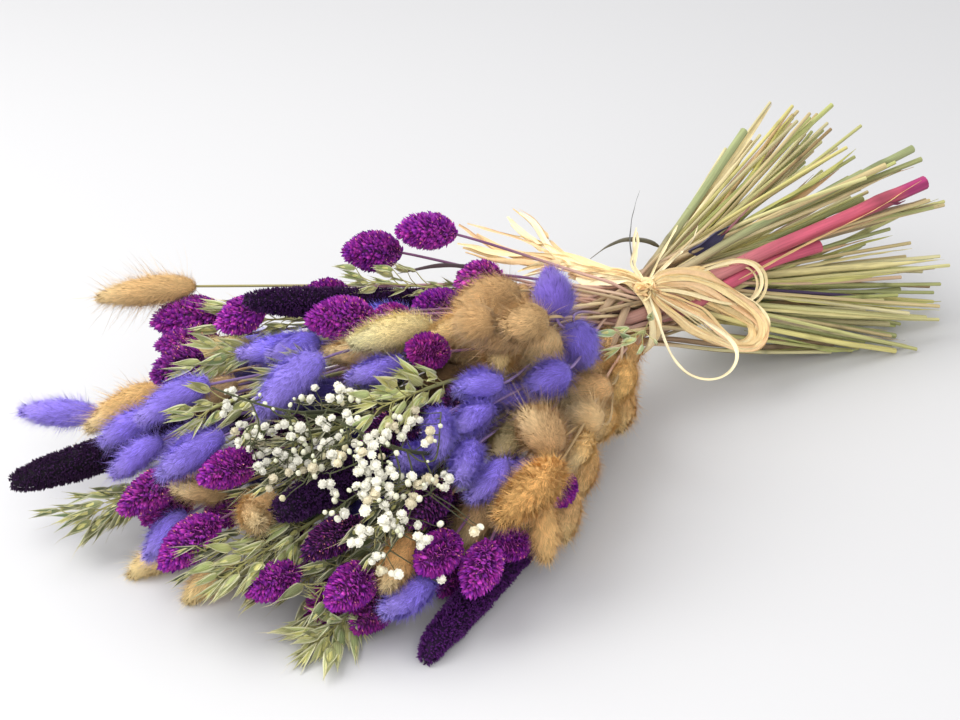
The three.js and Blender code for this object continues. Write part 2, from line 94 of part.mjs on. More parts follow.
  ["canary_grass_14", "canary_grass", "canary", 9.776, [[285.2,17.7,90.4],[207.6,-2.6,76.5],[134.3,-21.6,63],[77,-35.7,52],[54.3,-40.1,49.1],[44.3,-42.2,47.1],[13.3,-53.3,46.9],[-17.7,-66,41.9],[-48.7,-79.8,39.3],[-79.2,-94.4,40.4],[-109,-108.2,41.4],[-137.8,-121,42.3],[-165.1,-133.2,42.3],[-169,-135.4,41.2],[-173.9,-137.9,38.9],[-179,-140,36.5],[-184.3,-141.8,34.1],[-188.6,-143.2,32.2],[-191.3,-144,31]]],
  ["canary_grass_15", "canary_grass", "canary", 8.836, [[261.6,27.6,82.5],[191.7,7.2,69.4],[126.2,-14.2,57.2],[76,-32.2,49.1],[54.3,-39.9,46.1],[44.3,-43.8,45.1],[23.7,-52.8,47],[2.5,-61.8,48.7],[-18.2,-70.7,54],[-37.3,-81.4,59],[-56.3,-94.2,53.8],[-74.3,-106,48.8],[-91.1,-116.9,44.2],[-94.4,-119,43.3],[-99,-122.2,42.4],[-103.3,-125.6,42.6],[-107.6,-129,42.9],[-111.2,-131.7,43.1],[-113.5,-133.4,43.2]]],
  ["dark_spike_01", "dark_spike", "spike", 8.084, [[265,-111.5,97],[194.3,-91.9,86.5],[127.6,-72.8,76.5],[75.9,-60.8,67.4],[54.3,-59.2,65.2],[44.3,-54.8,63],[12.7,-36.9,61.6],[-18.3,-16.8,56.3],[-49.5,3.3,51.7],[-81.1,21.7,49.7],[-112.8,37.4,48.1],[-144,50,44.9],[-173.6,61.8,41.2],[-182.4,65.1,40.3],[-204.9,73,38.4],[-231.9,82.3,36.4],[-259,91.3,34.5],[-278.3,97.6,33.3],[-286.2,100.2,32.7]], [4.4, 3.4]],
  ["dark_spike_02", "dark_spike", "spike", 7.144, [[186,-87.5,71.5],[143.4,-76.7,70.2],[102.6,-70.7,64.6],[74.2,-64.1,58.6],[54.3,-54.2,57],[44.3,-47.3,56.8],[37,-35.1,55.5],[28.4,-22.9,54],[19.4,-10.3,56.5],[9.3,-0.1,60.9],[-2.3,5.8,66.1],[-13.6,9.6,70.2],[-24.3,12.7,73.5],[-35.2,15.5,76.7],[-62.9,21.9,84.6],[-96.2,29.4,94.3],[-129.3,38.5,103.9],[-152.5,45.7,110.6],[-162.1,48.6,113.3]], [3.9, 3.0]],
  ["dark_spike_03", "dark_spike", "spike", 8.272, [[191.7,-21.6,128.8],[147.2,-29,109.9],[105.1,-36,92.2],[75,-40.3,79.3],[54.3,-45.4,73.4],[44.3,-50,71],[24.4,-59.3,65.9],[4.3,-65.8,52.6],[-17.3,-72.7,42.5],[-39,-81.1,35.4],[-60.2,-90.4,30.3],[-80.4,-98.7,23.5],[-99.7,-106.1,9.5],[-108.9,-109.3,7.6],[-132.5,-116.3,8.3],[-161,-124.3,8.3],[-189.7,-132,7.9],[-210,-137.4,6.6],[-218.4,-139.6,1.8]]],
  ["dark_spike_04", "dark_spike", "spike", 9.024, [[276.3,-93.9,111.9],[201.8,-78.2,99.5],[131.3,-62.8,88.1],[76.6,-53.9,77.4],[54.3,-52,76.9],[44.3,-47.4,77.8],[15.5,-48.9,71.2],[-13.3,-49.2,62.3],[-42.7,-50.6,56.2],[-72.8,-51,55.7],[-101.9,-51.5,55.2],[-129.6,-52,54.7],[-155.9,-52.6,54.4],[-162.4,-52.8,54.5],[-178.6,-53.5,55.3],[-198,-54.4,56.5],[-217.2,-55.4,57.9],[-230.8,-56.2,59],[-237.1,-54.9,59]]],
  ["oat_stalk_01", "oat", "oat", 5.95, [[236.4,-113.8,7.5],[175.5,-91.3,25.8],[119.3,-68.6,45.8],[74.8,-55.8,60.2],[54.3,-48.3,67.6],[44.3,-44.8,68.5],[13.8,-31.1,72.5],[-17.5,-15.9,74.6],[-50.4,-3.7,76.4],[-82.7,8.1,79.7],[-113.4,19.9,83.5],[-142.2,31,86.4],[-169.8,39.7,88.7],[-177.1,41,89],[-186.8,42.7,88.5],[-196.5,44.2,87.4],[-206.3,45.6,86],[-213.5,46.7,84.7],[-218.4,47.4,83.8]]],
  ["oat_stalk_02", "oat", "oat", 6.375, [[234.2,-79.5,1.7],[174.1,-69.1,19.6],[117.2,-59.6,36.4],[74.8,-53,50.5],[54.3,-49.4,61.2],[44.3,-47.6,64.8],[13.6,-39.7,71.9],[-20.2,-31.6,77.4],[-55.2,-24.3,81.7],[-88.9,-17.7,85.7],[-119.7,-12.2,88.9],[-146.7,-7.8,91.1],[-170.8,-4.5,92],[-178.6,-3.9,91.4],[-188.7,-4,89.1],[-198.6,-4.7,85.9],[-208.3,-5.7,81.8],[-215.6,-6.7,78.5],[-220.3,-7.5,76.1]]],
  ["oat_stalk_03", "oat", "oat", 5.525, [[280.8,-98.6,104.7],[204.4,-75.3,94.6],[132.1,-53.6,84.3],[76.4,-36.6,73.6],[54.3,-30,70.1],[44.3,-27.5,68.2],[2.9,-17.2,64.6],[-39,-6.1,59],[-81.1,5.2,52.8],[-122.8,16.4,46.8],[-163.6,27.5,40.9],[-203,38.2,35.1],[-240.5,48.3,29.5],[-247.3,50.1,28.4],[-256.4,52.4,26.9],[-265.6,54.6,25.3],[-274.7,56.8,23.6],[-281.5,58.4,22.3],[-286.1,59.5,21.4]]],
  ["oat_stalk_04", "oat", "oat", 6.375, [[251.9,-41.2,81.9],[186.4,-40,72.5],[124.4,-38.5,63.5],[77.5,-36.4,58.1],[54.3,-36.9,54.5],[44.3,-37.7,50.8],[6.4,-42.4,48.9],[-32.4,-44.8,48.4],[-71.5,-46.7,47.1],[-110.2,-48.5,45.5],[-148.1,-50.2,43.6],[-184.6,-51.7,41.6],[-219.5,-53.1,39.8],[-229.4,-53.4,39.4],[-242.6,-53.5,39],[-255.8,-54,38.3],[-268.9,-55,37.4],[-278.8,-55.7,36.7],[-285.4,-56.1,36.2]]],
  ["oat_stalk_05", "oat", "oat", 6.375, [[274,-26.7,99.7],[200.3,-28.3,84.9],[130.6,-29.3,70.7],[77,-29.4,58.5],[54.3,-31.4,52.3],[44.3,-32.8,49.1],[9.5,-39.8,44.1],[-26,-47.9,40.4],[-61.7,-55.7,36.2],[-97,-63.1,31.3],[-131.7,-70.1,25.2],[-165.1,-76.9,17.1],[-197,-83.4,1.6],[-206.4,-85.4,3.8],[-219,-88.1,5.8],[-231.4,-90.9,6.4],[-243.9,-93.8,5.4],[-253.3,-96,3.2],[-259.5,-97.5,0.7]]],
  ["oat_stalk_06", "oat", "oat", 6.375, [[252.4,-18.9,16.8],[186.2,-29.2,26.9],[123.7,-39.3,36.3],[76.6,-48.3,43.8],[54.3,-53.2,48.4],[44.3,-55.1,51.3],[18.9,-56.3,58.9],[-7.7,-55.5,64.5],[-34.5,-55.9,69.6],[-60.7,-58.3,76.2],[-86,-60.7,82.1],[-110.3,-63,87.5],[-133.4,-65.1,92.3],[-142.2,-65.9,93.9],[-154,-66.8,95.6],[-165.8,-67.7,97.1],[-177.7,-68.6,98.3],[-186.7,-69.2,99.1],[-192.6,-69.6,99.6]]],
  ["gypsophila_01", "gypsophila", "gyp", 1.1, [[240.5,16.7,57],[179.1,-3.1,56.4],[120.8,-20.8,55.2],[76.8,-33.1,53.3],[54.3,-37.3,50],[44.3,-39.4,47.6],[11.8,-50.6,46.9],[-23.7,-62.1,54.3],[-60.3,-71.8,61.3],[-95.4,-81,67.2],[-127,-89,72.5],[-153.8,-95.3,77],[-176.7,-98.2,84.3],[-185.4,-96.9,89.2],[-193.5,-94.6,94.6],[-201.2,-91.6,100.3],[-208.5,-88.1,106.3],[-215.6,-84.2,112.5],[-222.6,-80.1,118.7]]],
  ["gypsophila_02", "gypsophila", "gyp", 1.1, [[286.7,-26.6,50.9],[208.6,-31.9,51.5],[134.8,-36.8,51.6],[77.6,-40.3,50.8],[54.3,-42.3,50.7],[44.3,-44.4,48.9],[8.5,-49,53.7],[-29.2,-55.5,60.6],[-67.6,-56.2,68.2],[-104.7,-54.4,75.7],[-138.8,-52.5,82.7],[-168.8,-50.4,89.4],[-195.7,-47.9,96.1],[-205.6,-46.4,99.3],[-215,-44.2,103.3],[-223.9,-41.2,108],[-232.5,-37.8,113.3],[-240.8,-34,118.9],[-249,-30,124.6]]],
];
// Side branches of the gypsophila sprays: the spray, then the route from the twig outwards.
const BRANCHES = [
  ["gypsophila_01", [[-185.4,-96.9,89.2],[-191,-106.8,78.6],[-200.2,-113.6,68.5],[-211.7,-116.9,60.9],[-221,-117.8,55.4]]],
  ["gypsophila_01", [[-185.4,-96.9,89.2],[-180.8,-105.2,83.9],[-172.2,-105.2,88.1],[-165.9,-100.4,95.5],[-160.1,-95.7,99.5]]],
  ["gypsophila_01", [[-193.5,-94.6,94.6],[-195.6,-101.7,86.7],[-201.1,-105.8,79.9],[-209.4,-105.7,76.4],[-215.7,-104.1,74]]],
  ["gypsophila_01", [[-201.2,-91.6,100.3],[-202.4,-97.1,91.4],[-208.6,-98.6,83.6],[-217.2,-96.2,79.4],[-223.4,-93.2,76]]],
  ["gypsophila_01", [[-208.5,-88.1,106.3],[-207.4,-91.1,98.3],[-211.2,-89.6,91],[-217.1,-84.7,87.7],[-220.9,-80.2,84.9]]],
  ["gypsophila_01", [[-201.2,-91.6,100.3],[-197.8,-95.6,96.2],[-193.2,-97.5,93.7],[-188.7,-97.2,93.5],[-186,-95.5,94.3]]],
  ["gypsophila_01", [[-215.6,-84.2,112.5],[-212.5,-84.7,105.3],[-212.2,-81,98.5],[-214.4,-74.7,95.1],[-215.6,-69.5,92.8]]],
  ["gypsophila_01", [[-176.7,-98.2,84.3],[-179.1,-105.9,79.3],[-183.1,-112,75.1],[-189.5,-115.5,74.2],[-195,-115.7,75.3]]],
  ["gypsophila_02", [[-205.6,-46.4,99.3],[-210.4,-55.4,90.9],[-216.3,-62.8,85.1],[-223.6,-68,81.5],[-229.7,-70.7,79.6]]],
  ["gypsophila_02", [[-215,-44.2,103.3],[-217.9,-50.8,95.7],[-222.3,-55.4,90.2],[-228.5,-57,86.8],[-233.6,-56.4,84.9]]],
  ["gypsophila_02", [[-215,-44.2,103.3],[-212.5,-51.4,98.1],[-206.6,-56.4,98.2],[-200.6,-56.7,102.4],[-195.9,-55.4,105.5]]],
  ["gypsophila_02", [[-223.9,-41.2,108],[-220.7,-45.5,103.4],[-215,-47.5,101.7],[-209.9,-45.9,103.1],[-206.4,-43.7,104.2]]],
  ["gypsophila_02", [[-232.5,-37.8,113.3],[-231.6,-40.7,106.4],[-231.6,-41.8,99.6],[-233.2,-40.6,93.9],[-234.5,-38.6,90.3]]],
  ["gypsophila_02", [[-240.8,-34,118.9],[-234.2,-34.5,113.7],[-226.7,-33,109.2],[-220.2,-29.8,106.3],[-215.6,-26.7,104.7]]],
];
const BRANCH_RADIUS = 0.62;
const FLOWER_RADIUS = 2.4;
// Strands of the bow, from the knot outwards: name, radius, route. Loops come back to the knot.
const STRANDS = [
  ["loop1", 2, [[49.2,-59.4,81.2],[64.5,-61.8,83.1],[80.1,-60.5,81.5],[95.6,-61.5,79.1],[111,-63.4,80.5],[122.4,-76,82.5],[134.2,-83.6,74.3],[146.9,-81.9,64.7],[159,-72.9,56.2],[159.5,-73.9,49.3],[146.3,-80.7,49.9],[135.6,-82.9,46.1],[130.6,-76.1,37.4],[117.4,-72.6,43],[102.8,-73.8,48.8],[88.1,-73.5,54.8],[74,-70.3,61.3],[61,-65.4,69.1],[51.2,-60.4,80.2]]],
  ["loop2", 2.6, [[49.2,-59.4,81.2],[53.7,-67,73],[62.1,-70.3,64.7],[71,-74.1,57.2],[79,-79.9,50.1],[86.9,-86.4,43.5],[95.2,-92.2,36.8],[105.7,-96.8,33.7],[117.1,-98.1,37.4],[126.3,-92.4,42.4],[131.1,-82,46.1],[124.6,-77.1,52.2],[115.4,-77.6,59.6],[104.9,-78.3,65.7],[94.7,-72.7,73.2],[84.6,-66.6,76.1],[74.3,-59.9,76.1],[62.4,-58.2,77.1],[51.2,-60.4,80.2]]],
  ["loop3", 1.1, [[49.2,-59.4,81.2],[45.7,-64.7,73.6],[42.3,-71,66.5],[38.5,-78.5,60.7],[34.6,-86.2,55.1],[31.3,-94.8,50.5],[30.2,-104.1,46.5],[32.9,-113.8,45.1],[40.3,-120.4,46.3],[49.7,-122.8,49.3],[59.1,-121.9,53.4],[66.4,-116.1,56.7],[67.4,-106.1,58.5],[66.7,-96.1,60.5],[65.9,-86.2,62.9],[65.5,-76.2,65.2],[64.1,-66.5,68.3],[59.1,-60,73.9],[51.2,-60.4,80.2]]],
  ["tailA", 2.2, [[49.2,-59.4,81.2],[46.5,-53.8,84.6],[43.5,-47.8,86.9],[40.3,-41.6,88.1],[37.1,-35.3,88.3],[34.1,-28.8,87.8],[31.6,-22.2,87.3],[29.8,-15.4,87.4],[28.3,-8.5,87.7],[26.8,-1.5,87.8],[25.1,5.4,87.7],[23.4,12.3,87.5],[21.7,19.2,87.7],[20.2,26,88.5],[18.7,32.8,89.8],[17.3,39.6,91.5],[15.9,46.2,93.5],[14.4,52.8,95.8],[12.9,59.3,98.3]]],
  ["tailB", 1.7, [[49.2,-59.4,81.2],[45.9,-54.4,83.2],[43.2,-48.8,84.6],[41,-42.9,85.3],[39.2,-36.8,85.3],[37.6,-30.7,85.5],[35.9,-24.6,85.7],[34.3,-18.5,86.3],[33,-12.3,87],[32.1,-6.2,88.2],[31.7,-0.1,89.8],[32.3,5.7,92.4],[33.9,10.8,95.7],[35.5,15.9,99.1],[36.3,21.6,101.7],[36.1,27.6,103.8],[35.5,33.6,105.8],[34.7,39.4,108.1],[33.9,45,110.9]]],
  ["tailC", 1.5, [[49.2,-59.4,81.2],[45.7,-54,82.7],[42.7,-48.3,84.5],[39.8,-42.1,84.2],[37,-36.1,84.4],[34,-30.2,84],[30.8,-24.5,83.2],[27.8,-18.7,82.3],[25.2,-12.6,81.9],[23,-6.3,81.9],[20.9,-0,82.3],[18.8,6.2,82.9],[16.6,12.4,83.7],[14.6,18.6,84.7],[12.8,24.9,86.1],[11.2,31.2,87.6],[9.5,37.4,88.9],[7.3,43.6,89.5],[4.4,49.5,89]]],
];

// ---------------------------------------------------------------- shape helpers
const v3 = (p) => new THREE.Vector3(p[0], p[1], p[2]);

// A lathe outline whose height is the number of the route point, bent along the route.
function bentLathe(points, radii, sides) {
  const n = points.length;
  const profile = [new THREE.Vector2(0, 0)];
  radii.forEach((r, i) => profile.push(new THREE.Vector2(r, i)));
  profile.push(new THREE.Vector2(0, n - 1));
  const g = new THREE.LatheGeometry(profile, sides);
  const curve = new THREE.CatmullRomCurve3(points.map(v3), false, "centripetal");
  // frames carried along the route without twist
  const frames = [];
  let normal = null;
  for (let i = 0; i < n; i++) {
    const t = curve.getTangent(i / (n - 1)).normalize();
    if (!normal) {
      normal = new THREE.Vector3(0, 0, 1).addScaledVector(t, -t.z);
      if (normal.lengthSq() < 1e-3) normal.set(0, 1, 0).addScaledVector(t, -t.y);
    } else {
      normal = normal.clone().addScaledVector(t, -normal.dot(t));
    }
    normal.normalize();
    frames.push({ p: v3(points[i]), u: normal.clone(), w: new THREE.Vector3().crossVectors(normal, t) });
  }
  const pos = g.getAttribute("position");
  for (let i = 0; i < pos.count; i++) {
    const x = pos.getX(i);
    const z = pos.getZ(i);
    const f = frames[Math.round(pos.getY(i))];
    const q = f.p.clone().addScaledVector(f.u, x).addScaledVector(f.w, z);
    pos.setXYZ(i, q.x, q.y, q.z);
  }
  return clean(g);
}

// Merges shared points and drops faces that have shrunk to a line.
function clean(geometry) {
  const g = geometry.clone();
  g.deleteAttribute("normal");
  g.deleteAttribute("uv");
  const m = mergeVertices(g, 1e-3);
  const src = m.index.array;
  const out = [];
  for (let i = 0; i < src.length; i += 3)
    if (src[i] !== src[i + 1] && src[i + 1] !== src[i + 2] && src[i] !== src[i + 2])
      out.push(src[i], src[i + 1], src[i + 2]);
  m.setIndex(out);
  m.computeVertexNormals();
  return m;
}

function stemRadii(kind, r, n, stem) {
  const [a, b] = stem || STEM[kind];
  const ns = n - HEAD_RINGS;
  const out = [];
  for (let i = 0; i < ns; i++) out.push(a + ((b - a) * i) / (ns - 1));
  OUTLINE[kind].forEach((s, i) => out.push(i ? s * r : Math.max(s * r, b * 1.15)));
  return out;
}

// ---------------------------------------------------------------- joining and cutting
const wasm = await Module();
wasm.setup();
const solid = (g) => {
  const made = new wasm.Manifold(
    new wasm.Mesh({
      numProp: 3,
      vertProperties: new Float32Array(g.getAttribute("position").array),
      triVerts: new Uint32Array(g.index.array),
    }),
  );
  return made;
};
const geometryOf = (s) => {
  const m = s.getMesh();
  const pos = new Float32Array(m.numVert * 3);
  for (let i = 0; i < m.numVert; i++)
    pos.set(m.vertProperties.subarray(i * m.numProp, i * m.numProp + 3), i * 3);
  const g = new THREE.BufferGeometry();
  g.setAttribute("position", new THREE.BufferAttribute(pos, 3));
  g.setIndex(new THREE.BufferAttribute(new Uint32Array(m.triVerts), 1));
  g.computeVertexNormals();
  return g;
};

// ---------------------------------------------------------------- the bunch
const bunch = new THREE.Group();
const add = (name, geometry, material) => {
  const mesh = new THREE.Mesh(geometry, material);
  mesh.name = name;
  bunch.add(mesh);
  return mesh;
};

for (const [name, look, kind, r, route, stem] of STALKS) {
  const radii = stemRadii(kind, r, route.length, stem);
  const body = bentLathe(route, radii, kind === "spike" ? SPIKE_SIDES : STEM_SIDES);
  if (kind !== "gyp") {
    add(name, body, finish(look));
    continue;
  }
  // a spray: its branches join the twig, each with a small cluster of flowers at its end
  let spray = solid(body);
  for (const [of, branch] of BRANCHES) {
    if (of !== name) continue;
    const n = branch.length;
    spray = spray.add(solid(bentLathe(branch, new Array(n).fill(BRANCH_RADIUS), 5)));
    const flower = new THREE.IcosahedronGeometry(FLOWER_RADIUS, 0).translate(...branch[n - 1]);
    spray = spray.add(solid(clean(flower)));
  }
  add(name, geometryOf(spray), finish(look));
}

// the band: raffia wound round the neck, a closed ring about an axis along X
{
  const { x, y, z, inner, thick, width, sides } = BAND;
  const w = width / 2;
  const ring = new THREE.LatheGeometry(
    [
      new THREE.Vector2(inner, -w),
      new THREE.Vector2(inner + thick * 0.7, -w),
      new THREE.Vector2(inner + thick, 0),
      new THREE.Vector2(inner + thick * 0.7, w),
      new THREE.Vector2(inner, w),
      new THREE.Vector2(inner, -w),
    ],
    sides,
  );
  ring.rotateZ(-Math.PI / 2).translate(x, y, z);
  add("raffia_band", clean(ring), finish("raffia"));
}

// the bow: the knot with its loops and tails
{
  const a = THREE.MathUtils.degToRad(KNOT.alongDeg);
  const centre = new THREE.Vector3(
    BAND.x,
    BAND.y - Math.sin(a) * KNOT.radial,
    BAND.z + Math.cos(a) * KNOT.radial,
  );
  const lump = new THREE.IcosahedronGeometry(1, 2).scale(...KNOT.size).rotateX(a).translate(...centre);
  let bow = solid(clean(lump));
  for (const [, r, route] of STRANDS) {
    const n = route.length;
    const pts = route.slice();
    bow = bow.add(solid(bentLathe(pts, new Array(n).fill(r), 6)));
  }
  // keep clear of the band that the knot sits on
  const keep = new THREE.LatheGeometry(
    [
      new THREE.Vector2(0, -BAND.width),
      new THREE.Vector2(BAND.inner + BAND.thick + 0.35, -BAND.width),
      new THREE.Vector2(BAND.inner + BAND.thick + 0.35, BAND.width),
      new THREE.Vector2(0, BAND.width),
    ],
    48,
  );
  keep.rotateZ(-Math.PI / 2).translate(BAND.x, BAND.y, BAND.z);
  bow = bow.subtract(solid(clean(keep)));
  const pieces = bow.decompose();
  bow = pieces.reduce((best, s) => (s.volume() > best.volume() ? s : best));
  add("raffia_bow", geometryOf(bow), finish("raffia"));
}

// the origin is the middle of the bunch's footprint, on the surface it lies on
{
  bunch.updateMatrixWorld(true);
  const box = new THREE.Box3().setFromObject(bunch, true);
  bunch.position.set(-(box.min.x + box.max.x) / 2, -(box.min.y + box.max.y) / 2, -box.min.z);
}

export default bunch;
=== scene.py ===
import math
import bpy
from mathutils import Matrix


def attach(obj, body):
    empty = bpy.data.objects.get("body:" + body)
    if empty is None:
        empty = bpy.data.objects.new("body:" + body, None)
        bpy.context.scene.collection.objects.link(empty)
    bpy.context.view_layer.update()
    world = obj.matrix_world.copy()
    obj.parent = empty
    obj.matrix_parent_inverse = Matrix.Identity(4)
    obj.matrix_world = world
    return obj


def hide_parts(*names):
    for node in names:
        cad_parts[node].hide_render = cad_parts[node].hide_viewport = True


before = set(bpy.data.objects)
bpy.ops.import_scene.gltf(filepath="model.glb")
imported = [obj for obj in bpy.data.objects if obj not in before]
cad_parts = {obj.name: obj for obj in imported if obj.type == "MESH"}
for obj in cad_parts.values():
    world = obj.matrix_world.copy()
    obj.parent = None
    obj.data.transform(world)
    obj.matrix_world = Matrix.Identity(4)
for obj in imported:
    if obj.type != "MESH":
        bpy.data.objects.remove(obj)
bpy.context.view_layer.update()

import zlib

import bpy
import numpy as np
from mathutils import Matrix, Vector

# Everything below is worked out in millimetres and becomes metres when a mesh is made.

# ---------------------------------------------------------------- camera
CAM_AT = (-732.41, -655.57, 554.43)
CAM_RIGHT = (0.681998, -0.731354, 0.0)
CAM_UP = (0.343350, 0.320179, 0.882948)
CAM_FWD = (0.645747, 0.602169, -0.469472)
cam_data = bpy.data.cameras.new("camera")
cam_data.lens, cam_data.sensor_width, cam_data.sensor_fit = 70.0, 36.0, "HORIZONTAL"
cam_data.clip_start, cam_data.clip_end = 0.05, 60.0
camera = bpy.data.objects.new("camera", cam_data)
bpy.context.scene.collection.objects.link(camera)
camera.matrix_world = Matrix([
    (CAM_RIGHT[i], CAM_UP[i], -CAM_FWD[i], CAM_AT[i] / 1000) for i in range(3)
] + [(0, 0, 0, 1)])
bpy.context.scene.camera = camera

